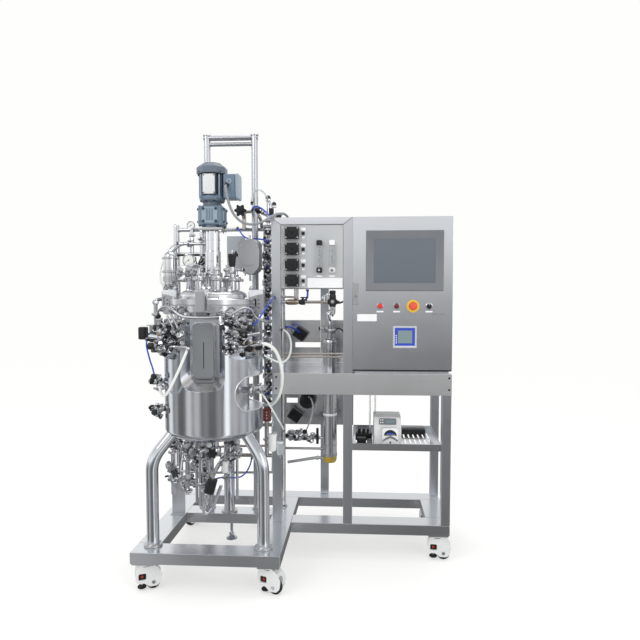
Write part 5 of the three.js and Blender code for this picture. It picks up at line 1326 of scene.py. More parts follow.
def lidFittings():
    # what stands on the nozzles: small valves, elbows and unions in their own directions
    parts = []
    for k, height, way, grip in ((4, 1448, (-1, -0.5, 0.1), "valve"), (5, 1452, (-0.5, -1, 0.15), "elbow"),
                                 (6, 1446, (0.2, -1, 0.1), "valve"),
                                 (0, 1444, (1, -0.4, 0), "elbow"), (1, 1450, (0.8, 0.6, 0.2), "valve"),
                                 (2, 1446, (-0.3, 1, 0), "elbow")):
        px, py, _ = lidPlace(k)
        seat = np.array((px, py, height))
        parts += [(rod((px, py, 1424), (px, py, height + 6), 9, 20, 1), polished),
                  (slab(circle(14, 6), 10, (px, py, 1427), ease=1.4), polished)]
        if grip == "valve":
            parts += put(ballValve(satin, 0.62), seat + (0, 0, 14), (0, 0, 1),
                         way) + put(unionNut(8, 18), seat + (0, 0, 12), unit(way))
            parts.append((rod(seat + (0, 0, 26), seat + (0, 0, 40), 5, 16, 1), polished))
        else:
            parts += [(pipe([seat, seat + (0, 0, 18), seat + (0, 0, 18) + unit(way) * 34], 8, 14), polished)]
            parts += put(unionNut(8, 20), seat + (0, 0, 18) + unit(way) * 24, way)
    # a short header with three taps runs in front of the drive's foot on the left
    bar = [np.array((176.0, 196.0, 1440)), np.array((284.0, 142.0, 1440))]
    way = unit(bar[1] - bar[0])
    parts.append((rod(*bar, 7, 20, 1.5), polished))
    for share, length in ((0.12, 34), (0.5, 40), (0.85, 30)):
        place = bar[0] + (bar[1] - bar[0]) * share
        parts += put(triClamp(12, False), place, way) + [(rod(place, place + (0, 0, length), 6, 16, 1),
            polished)]
        parts += put(handValve(30, 10, satin, 8), place + (0, 0, 12), (-way[1] * 0.9, way[0] * 0.9 - 1.4, 0.2),
                     (0, 0, 1))
    # low gland plugs between the nozzles, and bolts round the dome
    for k in range(8):
        parts += put([(slab(circle(11, 6), 12, ease=1.4), polished),
                      (rod((0, 0, 10), (0, 0, 24), 7, 18, 1), polished),
                      (rod((0, 0, 22), (0, 0, 27), 9, 18, 1), satin)],
                      around(96 + 38 * (k % 2), 45 * k + 1, 1366 - 12 * (k % 2)))
        parts += put(hexBolt(7, 6), around(184, 45 * k + 22.5, 1322), (0, 0, 1))
    return parts


def clampParts(degrees):
    # a forged swing clamp, solid outside, with a hollowed cheek on each side, a slotted arm, an eye bolt and its pins
    jaw, back, reach, width = vessel["dome"] + 13, vessel["flange"] + 0.3, 243, 41
    outline = rounded([(jaw, 1322.4), (back, 1322.4), (back, 1261.6), (jaw, 1261.6), (jaw, 1249.3),
                       (reach - 14, 1249.3),
                       (reach, 1264), (reach, 1357), (reach - 8, 1366), (jaw + 5, 1366), (jaw, 1350)],
                      [2, 2, 2, 1, 1, 8, 8, 6, 6, 5, 6], 4, True)
    cheeks = [slab(rectangle((back + 5, reach - 9), (1268, 1334), 6), 7, (0, y, 0), (1, 0, 0), (0, 0, 1),
                   0) for y in (width / 2 + 1, 6 - width / 2)]
    slot = slab(rectangle((jaw - 4, jaw + 34), (1338, 1370), 3), 13, (0, 6.5, 0), (1, 0, 0), (0, 0, 1), 0)
    block = carved(slab(outline, width, (0, width / 2, 0), (1, 0, 0), (0, 0, 1), 2.4), cheeks + [slot],
                   bevel=1.2)
    parts = [(block, clampSteel), (rod((jaw + 12, 0, 1330), (jaw + 12, 0, 1384), 6, 18, 1), polished),
             (rod((jaw + 22, -19, 1352), (jaw + 22, 19, 1352), 4, 14, 0.8), polished)]
    parts += [((points + (jaw + 12, 0, 1366), faces), paint) for (points, faces), paint in hexNut(12, 10)]
    # holes through the cheeks, black inside as painted shade, and a white plate over the arm as a painted highlight
    # of overhead light
    for sign in (-1, 1):
        for r, z in ((reach - 14, 1350), (back + 13, 1318), (back + 13, 1300), (back + 13, 1282)):
            depth = width / 2 + 0.3 if z > 1340 else width / 2 - 5.6
            parts.append((rod((r, sign * (depth - 1), z), (r, sign * depth, z), 4.2 if z > 1340 else 3.4, 14),
                          gap))
        parts.append((slab(rounded([(jaw + 3, 1330), (back + 16, 1344), (reach - 4, 1344), (reach - 4, 1364),
                                    (jaw + 3, 1364)], 5, 4, True), 1.6,
                           (0, sign * (width / 2 + 0.5) + 0.8, 0), (1, 0, 0), (0, 0, 1), 0.6), clampBright))
    a = math.radians(degrees)
    return put(parts, (vessel["x"], vessel["y"], 0), (0, 0, 1), (math.cos(a), math.sin(a), 0))


clampSteel = grained("stainless_forging_ground", "#b4b6b9", 0.36, 1.2, (1, 1, 40), 0.06)
# a white non-metal plate over each clamp arm: a painted highlight standing for overhead light on the arm
clampBright = moulded("clamp_arm_plate_painted_highlight", "#dfe2e4", 0.4, 1.4, 0.05)


def glassParts():
    # the level glass: a flat grey pane with rounded corners, a thin polished rim, a ruled slot and a shadow line
    (x0, y0, z0), (x1, y1, z1) = boxOf("sight_glass")
    middle = (x0 + x1) / 2
    parts = [(plate((x0, x1), (z0, z1), (y0 + 2.5, y1), 3, 20), polished),
             (plate((x0 + 0.5, x1 - 7), (z0 + 3, z1 - 5), (y0, y0 + 4), 1.6, 16), glassGrey),
             (plate((middle - 2.4, middle + 0.6), (z0 + 44, z1 - 88), (y0 - 0.5, y0 + 0.4), 0.2, 1), gap),
             (plate((x1 - 9.4, x1 - 7.6), (z0 + 22, z1 - 60), (y0 + 0.6, y0 + 3), 0.2, 0.6), gap)]
    for k in range(9):
        z = z0 + 50 + k * 13
        parts.append((plate((middle + 0.6, middle + (5 if k % 3 else 8)), (z, z + 1.2), (y0 - 0.3, y0 + 0.4),
                            0.1, 0.3), gap))
    return parts


legFacts = {"circle": 296, "radius": 28, "flange": 42,
            "angles": {"front_left": -150, "front_right": -30, "back": 90},
            "bend": ((296, 196), (296, 545), (268, 640), (146, 742))}


def legParts(degrees):
    # a bent tube cut where it meets the cladding, a weld bead there, and a bolted floor flange
    f = legFacts
    line = rounded([around(r, degrees, z) for r, z in ((f["circle"], 198), (f["circle"], 590), (190, 712),
        (150, 742))],
                   [0, 150, 60, 0], 14)
    tube = sweep(line, circle(f["radius"], 40))
    v = vessel
    block = turn(dish(v["radius"] + 0.6, v["bottom"] - 0.6, v["bottom"] + v["dish"], 20) +
                 [(v["radius"] + 0.6, v["top"]), (0, v["top"])], (v["x"], v["y"], 0), sides=96)
    foot = around(f["circle"], degrees, 190)
    parts = [(carved(tube, [block]), legSteel),
             (turn([(0, 0.2), (f["flange"] - 1, 0.2), (f["flange"], 1.2), (f["flange"], 8.6),
                    (f["flange"] - 1.4, 10), (0, 10)], foot,
                   sides=48), satin),
             (turn([(f["radius"] - 1, 9), (f["radius"] + 4, 9.6), (f["radius"] + 1.4, 13),
                    (f["radius"] - 1, 14)], foot,
                   sides=40, loop=True), satin)]
    for k in range(4):
        a = math.radians(45 + 90 * k)
        parts += put(capScrew(3.6, 3), foot + np.array((math.cos(a) * 36, math.sin(a) * 36, 9.4)))
    return parts


rimSteel = grained("stainless_rim_rolled", "#eceef0", 0.3, 3.0, (1, 1, 1), 0.04)
slotSteel = grained("stainless_slot_wall_satin", "#cfd2d6", 0.3, 3.0, (1, 1, 30), 0.04)
lipSteel = grained("stainless_lip_ground", "#c6c6c7", 0.2, 3.0, (1, 1, 1), 0.1)
domeSteel = grained("stainless_dome_spun_and_polished", "#cfd1d4", 0.24, 2.0, (1, 1, 1), 0.06, swing=0.04)
legSteel = grained("stainless_tube_polished", "#c9cdd2", 0.15, 3.0, (1, 1, 30), 0.05, swing=0.03)
makePiece("vessel_cladding_shell", claddingParts(), "polished_steel", "vessel_cladding")
makePiece("vessel_cup", cupParts(), "polished_steel", "vessel_body")
makePiece("lid_dome", lidParts(), "polished_steel", "vessel_lid")
seal = vessel["flange"] - 5
makePiece("flange_gasket", [(turn([(144, 1292.3), (seal, 1292.3), (seal + 1.5, 1294), (seal, 1295.7),
                                   (144, 1295.7)],
                                  (vessel["x"], vessel["y"], 0), sides=96, loop=True), siliconeTube)],
                                  "silicone", "lid_gasket")
for place, degrees in {"front": -90, "right": 0, "back": 90, "left": 180}.items():
    makePiece(f"swing_clamp_{place}", clampParts(degrees), "brushed_steel", f"lid_clamp_{place}")
makePiece("level_glass", glassParts(), "grey_plastic", "sight_glass")
for place, degrees in legFacts["angles"].items():
    makePiece(f"vessel_leg_{place}", legParts(degrees), "brushed_steel", f"leg_{place}")
print("vessel, lid, clamps and legs")


# ---------- stirrer and drive ----------

def stirrerParts():
    x, y = vessel["x"], vessel["y"]
    parts = [(rod((x, y, 790), (x, y, 1671), 12, 24, 1), polished)]
    for z in (850, 1020):
        parts += [(rod((x, y, z - 2), (x, y, z + 2), 34, 36, 0.8), polished),
                  (rod((x, y, z - 14), (x, y, z + 14), 20, 28, 1.5), polished)]
        for k in range(6):
            a = math.radians(60 * k)
            out, side = np.array((math.cos(a), math.sin(a), 0)), np.array((-math.sin(a), math.cos(a), 0))
            parts.append((slab(rectangle((24, 46), (-10, 10), 1.5), 2.4, np.array((x, y, z)) + side * 1.2, out,
                               (0, 0, 1), 0.5), polished))
    return parts


def standParts():
    # a two-tier polished housing with a square head plate; it is open down the middle for the shaft
    x, y = vessel["x"], vessel["y"]
    wall = [(17, 1432.3), (43, 1432.3), (44, 1433.5), (44, 1444), (42.6, 1446), (37.5, 1448), (36, 1450),
            (36, 1541), (35, 1544), (33, 1546),
            (32, 1549), (32, 1640), (17, 1640)]
    parts = [(turn(wall, (x, y, 0), sides=56, loop=True), polished)]
    for z in (1500, 1598):
        parts.append((turn([(30, z - 3), (37.5 if z < 1545 else 33.6, z - 2),
                            (37.5 if z < 1545 else 33.6, z + 2), (30, z + 3)],
                           (x, y, 0), sides=56, loop=True), polished))
    head = carved(box((x - 55, x + 55), (y - 55, y + 55), (1640, 1651.7), 1.6, 6),
                  [rod((x, y, 1630), (x, y, 1660), 16, 32)])
    parts.append((head, satin))
    for sx in (-1, 1):
        for sy in (-1, 1):
            parts += put(hexBolt(7, 5), (x + sx * 45, y + sy * 45, 1639.8), (0, 0, -1))
    return parts


def gearboxParts():
    # a cast box with chamfered corners, ribs and cover plates, a waisted bell over it, bored underneath for the shaft
    x, y = vessel["x"], vessel["y"]
    body = carved(box((x - 56, x + 56), (y - 56, y + 56), (1664, 1752), 6, 20),
                  [rod((x, y, 1600), (x, y, 1672), 13, 28)])
    bell = [(0, 1748), (44, 1748), (50, 1752), (50, 1756), (43, 1760), (42, 1768), (52, 1776), (58, 1778),
            (58, 1784.7), (0, 1784.7)]
    parts = [(body, enamel), (turn(bell, (x, y, 0), sides=48), enamelCowl),
             (turn([(13, 1652), (50, 1652), (51, 1653), (51, 1660), (47, 1668), (13, 1668)], (x, y, 0),
                   sides=48, loop=True), enamelCowl)]
    for way, side in (((0, -1, 0), (1, 0, 0)), ((1, 0, 0), (0, 1, 0)), ((0, 1, 0), (-1, 0, 0)),
                      ((-1, 0, 0), (0, -1, 0))):
        way, side = np.array(way), np.array(side)
        base = np.array((x, y, 1708)) + way * 55
        up = np.cross(way, side)
        parts.append((slab(rectangle((-37, 37), (-36, 37), 12), 4.6, base, side, up, 1.8), enamelLight))
        # the cover bolts are in the darker enamel copy that stands for painted shade
        for sx in (-29, 29):
            for sz in (-28, 29):
                parts += put(hexBolt(5.6, 4.4, enamelDeep), base + side * sx + up * sz + way * 3.6, way)
        # upright ribs and a lug at each lower corner
        for k in (-1, 0, 1):
            parts.append((slab(rectangle((-2.6, 2.6), (-25, 30), 2), 4, base + side * (k * 12) + way * 3.4,
                               side, up, 1.2), enamel))
        corner = np.array((x, y, 0)) + (way + side) * 47
        parts += [(rod(corner + (0, 0, 1662), corner + (0, 0, 1684), 9, 18, 2), enamel),
                  (rod(corner + (0, 0, 1736), corner + (0, 0, 1752), 8, 18, 2), enamel)]
        # the lug's bolt is in the darker enamel copy, painted shade
        parts += put(hexBolt(6, 4, enamelDeep), corner + (0, 0, 1662), (0, 0, -1))
    # the bell's bolts are in the darker enamel copy, painted shade
    for k in range(8):
        a = math.radians(45 * k + 22.5)
        parts += put(hexBolt(5, 4, enamelDeep), (x + 50 * math.cos(a), y + 50 * math.sin(a), 1777), (0, 0, -1))
    # the oil plug and the breather stand out on the left
    parts += put([(slab(circle(9, 6), 7, ease=1), bronze), (rod((0, 0, 6), (0, 0, 13), 5, 16, 1), bronze)],
                 (x - 55, y - 20, 1740), (-1, 0, 0))
    parts += put([(slab(circle(8, 6), 6, ease=1), polished)], (x - 59, y + 20, 1690), (-1, 0, 0))
    return parts


def motorParts():
    x, y = vessel["x"], vessel["y"]
    # the core drum is in the darker enamel: painted shade in the gaps between the fins
    parts = [(turn([(0, 1785), (50, 1785), (50, 1899), (0, 1899)], (x, y, 0), sides=48), enamelDeep),
             (turn([(44, 1785), (58, 1785), (59.5, 1787), (59.5, 1799), (56, 1803), (44, 1803)], (x, y, 0),
                   sides=48, loop=True), enamel)]
    # upright cooling fins with deep gaps between them, and four long tie bolts
    for k in range(22):
        a = math.radians(360 * k / 22 + 4)
        out, side = np.array((math.cos(a), math.sin(a), 0)), np.array((-math.sin(a), math.cos(a), 0))
        parts.append((slab(rectangle((48, 61), (1800, 1899), 1), 5.4, np.array((x, y, 0)) + side * 2.7, out,
                           (0, 0, 1), 1.6), enamel))
    for k in range(4):
        a = math.radians(45 + 90 * k)
        bolt = np.array((x + 60 * math.cos(a), y + 60 * math.sin(a), 0))
        parts += [(rod(bolt + (0, 0, 1784), bolt + (0, 0, 1899), 5, 14), enamelLight),
                  (rod(bolt + (0, 0, 1786), bolt + (0, 0, 1798), 9, 16, 1.5), enamel)]
        # the tie bolts' screws are in the darker enamel, painted shade
        parts += put(capScrew(3.4, 2.6, enamelDeep), (x + 70 * math.cos(a), y + 70 * math.sin(a), 1907),
                     (math.cos(a), math.sin(a), 0))
    # the fan cowl: an eight-sided drum with a chamfered shoulder; the seam under it and the slots in its top are
    # black, painted shade
    outline = np.array([(69 * math.cos(a),
                         69 * math.sin(a)) for a in np.radians(22.5 + 45 * np.arange(8))]) * 1.055
    levels = [(1899, 0.955), (1900.5, 0.985), (1903, 1.0), (1926, 1.0), (1930, 0.985), (1943, 0.74),
              (1948, 0.64), (1951, 0.6)]
    rings = [np.column_stack([rounded(outline * share, 12, 5, True) + (x, y),
                              np.full(48, z)]) for z, share in levels]
    parts += [(loft(rings), enamelCowl),
              (turn([(40, 1895), (66, 1895), (66, 1899.4), (40, 1899.4)], (x, y, 0), sides=48, loop=True), gap)]
    for k in range(16):
        a = math.radians(22.5 * k)
        out, side = np.array((math.cos(a), math.sin(a), 0)), np.array((-math.sin(a), math.cos(a), 0))
        parts.append((slab(rectangle((14, 36), (-1.6, 1.6), 1), 1.2, np.array((x, y, 1950.3)), out, side, 0.2),
                      gap))
    # a bare silver rating plate on a raised pad; the pad and its screws are in the darker enamel, painted shade
    parts += [(box((x - 33, x + 33), (y - 63.4, y - 40), (1799, 1897), 2), enamelDeep),
              (plate((x - 28, x + 28), (1803, 1893), (y - 65.4, y - 62), 0.6, 7), labelSilver)]
    for sz in (1809, 1887):
        for sx in (-23, 23):
            parts += put(capScrew(3, 1.2, enamelDeep), (x + sx, y - 65.2, sz), (0, -1, 0))
    return parts


def terminalBoxParts():
    x0, x1, y0, y1, z0, z1 = 394.8, 465.5, 187, 277, 1783, 1898.7
    parts = [(box((x0, x1 - 12), (y0 + 3, y1 - 3), (z0 + 3, z1 - 3), 5, 9), enamel),
             (slab(rectangle((y0, y1), (z0, z1), 12), 13, (x1 - 13, 0, 0), (0, 1, 0), (0, 0, 1), 4),
              enamelLight)]
    for y in (y0 + 9, y1 - 9):
        for z in (z0 + 9, z1 - 9):
            parts += put(capScrew(3.4, 1.6), (x1 - 1.4, y, z), (1, 0, 0))
    # round plug and gland on the front face, where the lead leaves
    parts += put([(turn([(0, 0), (13, 0), (13, 3), (11, 5), (0, 5)], sides=28), enamelLight),
                  (rod((0, 0, 4), (0, 0, 6), 6, 6), enamel)],
                 (424, y0 + 3.6, 1862), (0, -1, 0))
    lead = np.array(cordFacts["motor_lead"]["route"][:2], float)
    return parts + put(gland(9), lead[0], lead[1] - lead[0])


# a darker copy of the slate enamel, painted shade: the motor's core between its fins, the rating plate's pad, and the
# dark bolts and screws
enamelDeep = moulded("enamel_slate_painted_shade", "#35404b", 0.5, 2.0, 0.1)
enamelCowl = moulded("enamel_sprayed_slate", "#5b6875", 0.42, 2.0, 0.14, coat=0.15)
labelSilver = grained("aluminium_foil_plate", "#d9dadb", 0.32, 2.0, (1, 1, 1), 0.05)
makePiece("stirrer_shaft", stirrerParts(), "polished_steel", "stirrer", "stirrer")
makePiece("drive_stand", standParts(), "polished_steel", "motor_stand")
makePiece("gearbox_casting", gearboxParts(), "motor_enamel", "gearbox")
makePiece("motor_finned", motorParts(), "motor_enamel", "motor")
makePiece("motor_terminal_box", terminalBoxParts(), "motor_enamel", "terminal_box")
print("stirrer and drive")


# ---------- hoist frame, pipe rack and what they carry ----------

rack = {"y": 630, "posts": (36, 606), "radius": 18, "top": 1712, "tubes": (1694, 1150, 640, 470), "tube": 11,
        "risers": (120, 180, 520)}
hoist = {"y": 585, "posts": (221, 472), "radius": 17, "top": 2178,
         "bars": ((2164, 14, 18), (2131, 10, 0), (1250, 10, 0))}


def bead(point, way, radius, size=2.6):
    # a weld bead: a thin rounded ring where one tube meets another
    point, way = np.asarray(point, float), unit(way)
    return (turn([(radius - 1, -size), (radius + size * 0.6, -size * 0.5), (radius + size * 0.6, size * 0.5),
                  (radius - 1, size)],
                 point, way, 24, loop=True), satin)


def hoistParts():
    parts = []
    for x in hoist["posts"]:
        parts += [(rod((x, hoist["y"], railTop), (x, hoist["y"], hoist["top"]), hoist["radius"], 32),
                   tubeSatin),
                  (rod((x, hoist["y"], hoist["top"] - 4), (x, hoist["y"], hoist["top"] + 4.6),
                       hoist["radius"] + 5, 32, 1.6), polished),
                  (turn([(16, 190), (26, 190), (26, 195), (17, 201)], (x, hoist["y"], 0), sides=32, loop=True),
                   satin)]
    for z, radius, over in hoist["bars"]:
        ends = [(hoist["posts"][0] - over, hoist["y"], z), (hoist["posts"][1] + over, hoist["y"], z)]
        parts.append((rod(*ends, radius, 24, 1.5), tubeSatin))
        parts += [bead((x + sign * hoist["radius"], hoist["y"], z), (1, 0, 0),
                       radius) for x, sign in zip(hoist["posts"], (1, -1))]
    # the condenser's arm with its split clamp
    x, y, radius, z = 475, 450, 56, 1500
    parts += [(rod((x, hoist["y"], z), (x, y + radius + 1, z), 10, 20), polished),
              bead((x, hoist["y"] - 17, z), (0, 1, 0), 10)]
    return parts


def rackParts():
    y, (left, right) = rack["y"], rack["posts"]
    parts = []
    for x in rack["posts"]:
        cap = [(rack["radius"], rack["top"]), (15, rack["top"] + 8), (8, rack["top"] + 12),
               (0, rack["top"] + 12)]
        parts += [(turn([(0, railTop), (rack["radius"], railTop)] + cap, (x, y, 0), sides=32), polishedUp),
                  (turn([(17, 190), (27, 190), (27, 195), (18, 202)], (x, y, 0), sides=32, loop=True), satin)]
    for z in rack["tubes"]:
        parts.append((rod((left, y, z), (right, y, z), rack["tube"], 20), polished if z > 1000 else strawTint))
        parts += [bead((x + sign * rack["radius"], y, z), (1, 0, 0),
                       rack["tube"]) for x, sign in ((left, 1), (right, -1))]
    for x in rack["risers"]:
        parts.append((rod((x, y, rack["tubes"][3]), (x, y, rack["tubes"][0]), 12, 20), polished))
        for z in (560, 900, 1400):
            parts += put(triClamp(17), (x, y, z), (0, 0, 1), (0.4, -1, 0))
    for x in hoist["posts"]:
        parts.append((box((x - 10, x + 10), (602.4, y), (1682, 1706), 3), satin))
    # the filter's arm, and a ring that holds it
    parts += [(pipe([(120, y, 1420), (95, 570, 1420), (95, 375.4, 1420)], 8, 20), polished),
              (turn([(34.6, 1408), (38, 1408), (38, 1432), (34.6, 1432)], (95, 340, 0), sides=40, loop=True),
               satin)]
    # the top valve: a tube that arches forward, its body and bonnet, and the pipe it feeds on the right
    x, z, reach = 405, 1780, 84
    parts += [(pipe([(x, y, 1694), (x, y, z), (x, y - reach + 14, z)], 12, 34, 20, 8), strawTint),
              (rod((x, y - reach + 26, z), (x, y - reach + 6, z), 20, 28, 2), polished),
              (slab(rectangle((x - 17, x + 17), (z - 17, z + 17), 6), 8, (0, y - reach + 12, 0), (1, 0, 0),
                    (0, 0, 1), 2), satin),
              (rod((x, y - reach + 5, z), (x, y - reach + 0.4, z), 13, 24, 1), polished)]
    arch = [(x, y - 30, z), (x + 40, y - 30, z + 4), (x + 72, y - 30, z - 6), (x + 92, y - 20, z - 34),
            (x + 96, y, 1694)]
    return parts + [(sweep(smoothPath(arch, 6), circle(9, 18)), strawTint)]


def instrumentClusterParts():
    # air valves stacked beside the console's post: two black bodies on a manifold, their fittings and a silver cap
    parts = [(rod((540, 598, 1712), (540, 598, 1842), 9, 18), polished),
             (rod((572, 598, 1712), (572, 598, 1812), 8, 18), polished)]
    for x, z, size in ((540, 1846, 15), (572, 1812, 13)):
        parts += [(slab(circle(size, 6), 14, (x, 598, z - 10), ease=2), polished),
                  (turn([(0, z), (size * 0.9, z), (size * 0.9, z + 12), (size * 0.5, z + 20), (0, z + 21)],
                        (x, 598, 0), sides=24), blackPlastic)]
    parts += put(actuatedValve(66, 15), (528, 598, 1770), (-0.8, -0.5, 0.35))
    parts += put(handValve(48, 13), (586, 590, 1752), (0.5, -0.85, 0.1))
    parts += put(triClamp(15), (540, 598, 1734)) + put(triClamp(14), (572, 598, 1730))
    parts += [(box((548, 566), (585, 611), (1764, 1800), 3), blackPlastic),
              (box((512, 596), (604, 622), (1700, 1716), 3), satin)]
    return parts


def backboardParts():
    # behind the drive: a bare grey plate, a slotted bracket, cross pipes with their taps, and the looped riser on the left
    parts = [(plate((326, 424), (1476, 1652), (562, 566), 1, 3), paleSheet),
             (plate((233, 268), (1476, 1640), (556, 563), 1.4, 6), satin)]
    # black discs down the bracket are painted shade in its slots
    for z in (1500, 1560, 1616):
        parts += put(capScrew(4, 2, gap), (250, 556, z), (0, -1, 0))
    for x in (334, 416):
        parts.append((box((x - 6, x + 6), (565, 585), (1560, 1584), 2), satin))
    for z, x0, x1, y, radius, paint in ((1617, 60, 222, 596, 9, polished), (1564, 2, 222, 596, 6, satin),
                                        (1556, 36, 240, 600, 5, blackCable)):
        parts.append((rod((x0, y, z), (x1, y, z), radius, 20, 1), paint))
    parts += [(sweep(smoothPath([(96, 596, 1617), (66, 580, 1606), (38, 560, 1572), (24, 540, 1524),
                                 (20, 520, 1470), (20, 500, 1372)], 6),
                     circle(7, 16)), tubeSatin), (rod((20, 500, 1376), (20, 500, 1330), 9, 18, 1), satin),
                     (rod((20, 500, 1340), (36, 628, 1340), 6, 16), satin)]
    parts += put(triClamp(14), (20, 500, 1372)) + put(triClamp(15), (112, 596, 1617),
        (1, 0, 0)) + put(dialGauge(22, 16), (130, 592, 1712),
        (0, -1, 0))
    parts += [(rod((130, 600, 1617), (130, 600, 1700), 7, 16), polished),
              (rod((180, 600, 1564), (180, 600, 1694), 9, 18), polished)]
    parts += put(triClamp(13), (130, 600, 1660)) + put(unionNut(9, 24),
        (130, 600, 1630)) + put(handValve(40, 12, satin), (180, 596, 1640),
        (-0.2, -1, 0.2))
    parts += put(hexBolt(9, 8), (6, 596, 1564), (-1, 0, 0))
    # the orange plug with its red collar, on a lead from above, and a black clip on the drive's left
    plug = [(437, 470, 1548), (438, 462, 1528), (440, 456, 1506), (444, 452, 1484)]
    parts += [(sweep(smoothPath(plug, 4), circle(7, 14)), orangeTube),
              (rod((438, 462, 1526), (439, 459, 1500), 10, 18, 2), coralPlastic)]
    parts += [(box((374, 404), (470, 494), (1540, 1556), 3), blackPlastic),
              (rod((390, 482, 1556), (390, 482, 1566), 5, 14), blackPlastic),
              (rod((444, 452, 1484), (444, 452, 1440), 3, 12), greyCable),
              (rod((388, 494, 1548), (388, 566, 1548), 4, 12), satin),
              (rod((437, 470, 1547), (437, 586, 1600), 3.4, 12), greyCable)]
    return parts + fittingCluster((160, 588, 1500), (44, 14, 60), 12, 41, 1.0)


def underVesselParts():
    # condensate traps, taps and unions crowd under the vessel behind the legs, each group on its own risers
    parts = []
    for k, (x, y, z) in enumerate(((76, 380, 600), (150, 380, 560), (86, 380, 450), (158, 380, 404),
                                   (366, 330, 490), (300, 250, 600),
                                   (236, 260, 560), (420, 330, 600), (250, 330, 470))):
        parts += fittingCluster((x, y, z), (34, 16, 44), 12, 80 + k, 1.15, satin if k % 3 else blackPlastic)
        # every other collar is in the darker steel: painted shade among the fittings
        parts += [(rod((x, y, 330), (x, y, 660), 7, 18), polished),
                  (rod((x, y, z - 30), (x, y, z + 6), 17, 24, 4), satin if k % 2 else shadedSteel)]
        parts += put(handValve(44, 14, satin), (x, y - 8, z + 22),
                     (0.4 if k % 2 else -0.5, -1, 0.2)) + put(triClamp(17), (x, y, z - 52))
    # the leaning black drain actuator with its looped outlet tubes
    parts += put([(box((-24, 24), (-22, 22), (-36, 36), 7, 10), blackPlastic),
                  (box((-15, 15), (-25, -21), (-16, 20), 2, 4), rubber),
                  (rod((0, 0, -60), (0, 0, 60), 8, 18, 1), polished)], (322, 196, 436), (0.28, 0, 1))
    parts += [(pipe([(302, 196, 388), (288, 196, 316), (304, 196, 296), (330, 196, 330), (372, 196, 440)], 8,
                    12), polished),
              (pipe([(318, 214, 388), (300, 214, 300), (284, 214, 290), (276, 214, 330)], 7, 12), polished)]
    return parts


def columnParts():
    # a column of small air valves and tees stands against the console's post, with its black coils and blue elbows
    x, y = 549, 560
    parts = [(rod((x, y, 700), (x, y, 1690), 8, 20), polished),
             (rod((x - 26, y + 6, 730), (x - 26, y + 6, 1670), 5, 16), satin)]
    for k in range(29):
        z = 744 + 33 * k
        lean = (-1 if k % 2 else 1) * 0.5
        if k % 3 == 0:
            parts += put(handValve(34, 11), (x, y, z), (-0.5 + lean, -1, 0.1))
        elif k % 3 == 1:
            parts += [(box((x - 17, x + 13), (y - 30, y - 2), (z - 11, z + 11), 3), blackPlastic),
                      (rod((x, y - 30, z), (x, y - 36, z), 6, 14, 1), satin)]
        else:
            parts += put(triClamp(14), (x, y, z)) + put(unionNut(8, 20), (x - 26, y + 6, z))
        parts += put([(hexNut(9, 9)[0][0], bluePlastic if k % 4 == 2 else polished)], (x - 8, y - 8, z + 14),
                     (lean, -1, 0.3))
    for z in (1236, 1660):
        parts += [(rod((x - 26, y + 6, z), (x, y, z), 5, 14), satin),
                  (rod((x, y, z), (x + 12, 846, z), 6, 14), satin)]
    for z in (1570, 1440, 1310, 1120, 960, 820):
        parts += fittingCluster((x - 6, y - 10, z), (22, 12, 70), 12, z, 1.0)
    return parts


def topKnobParts():
    return put(starKnob(33, 26), (405, 545.7, 1780), (0, -1, 0), (1, 0, 0))


def airFilterParts():
    # a filter housing: two dished ends, a clamped joint near the middle and one near the top, a vent and a side port
    x, y, r, (z0, z1) = 95, 340, 34, (1372, 1560)
    parts = [(turn([(0, z0), (20, z0), (28, z0 + 5), (33, z0 + 14), (r, z0 + 22), (r, z1 - 32), (31, z1 - 22),
                    (24, z1 - 12), (10, z1 - 6),
                    (9, z1), (0, z1)], (x, y, 0), sides=48), polishedUp),
             (rod((x, y, z0 - 34), (x, y, z0 + 2), 9, 20), polished)]
    for z in (z0 + 84, z0 + 150):
        parts += [((points + (0, 0, 0), faces), paint) for (points, faces), paint in put(triClamp(36.5),
            (x, y, z), (0, 0, 1), (0.7, -0.7, 0))]
    parts += put(triClamp(15), (x, y, z0 - 14), (0, 0, 1), (1, -1, 0)) + put(unionNut(7, 12), (x, y, z1 - 6))
    return parts


def condenserParts():
    # a flat-faced shell pressed in two halves: a rounded oblong face with its waisted corners, four bolts and stub pipes
    x, y, r, (z0, z1) = 475, 450, 56, (1444, 1625)
    low, high = dish(r, z0, z0 + 40, 12), dish(r, z1, z1 - 32, 12)
    parts = [(turn(low + high[::-1], (x, y, 0), sides=56), greySatin),
             (rod((x, y, z0 - 30), (x, y, z0 + 4), 12, 24, 1), polished),
             (rod((x, y, z1 - 3), (x, y, z1 + 19), 12, 24, 1), polished)]
    face = rounded([(x - 50, z0 + 34), (x - 22, z0 + 2), (x + 22, z0 + 2), (x + 50, z0 + 34),
                    (x + 54, z1 - 62), (x + 38, z1 - 18), (x + 12, z1 - 4),
                    (x - 10, z1 - 12), (x - 36, z1 - 2), (x - 54, z1 - 26), (x - 55, z1 - 70)],
                    [20, 18, 18, 20, 26, 14, 10, 14, 14, 12, 26], 5, True)
    parts.append((slab(face, 6, (0, y - r - 1, 0), (1, 0, 0), (0, 0, 1), 2.4), greySatin))
    pressed = rounded([(x - 34, z0 + 44), (x + 30, z0 + 44), (x + 36, z1 - 70), (x, z1 - 44),
                       (x - 36, z1 - 60)], 16, 5, True)
    parts.append((slab(pressed, 3, (0, y - r - 6, 0), (1, 0, 0), (0, 0, 1), 2.6), greySatin))
    for dx, dz in ((-40, 142), (38, 138), (-18, 24), (26, 26)):
        parts += put(capScrew(5, 3, satin), (x + dx, y - r - 6.6, z0 + dz), (0, -1, 0))
    # the arm's clamp
    parts += [(box((x - 14, x + 14), (y + r - 4, y + r + 6), (1488, 1512), 2), satin)]
    return parts


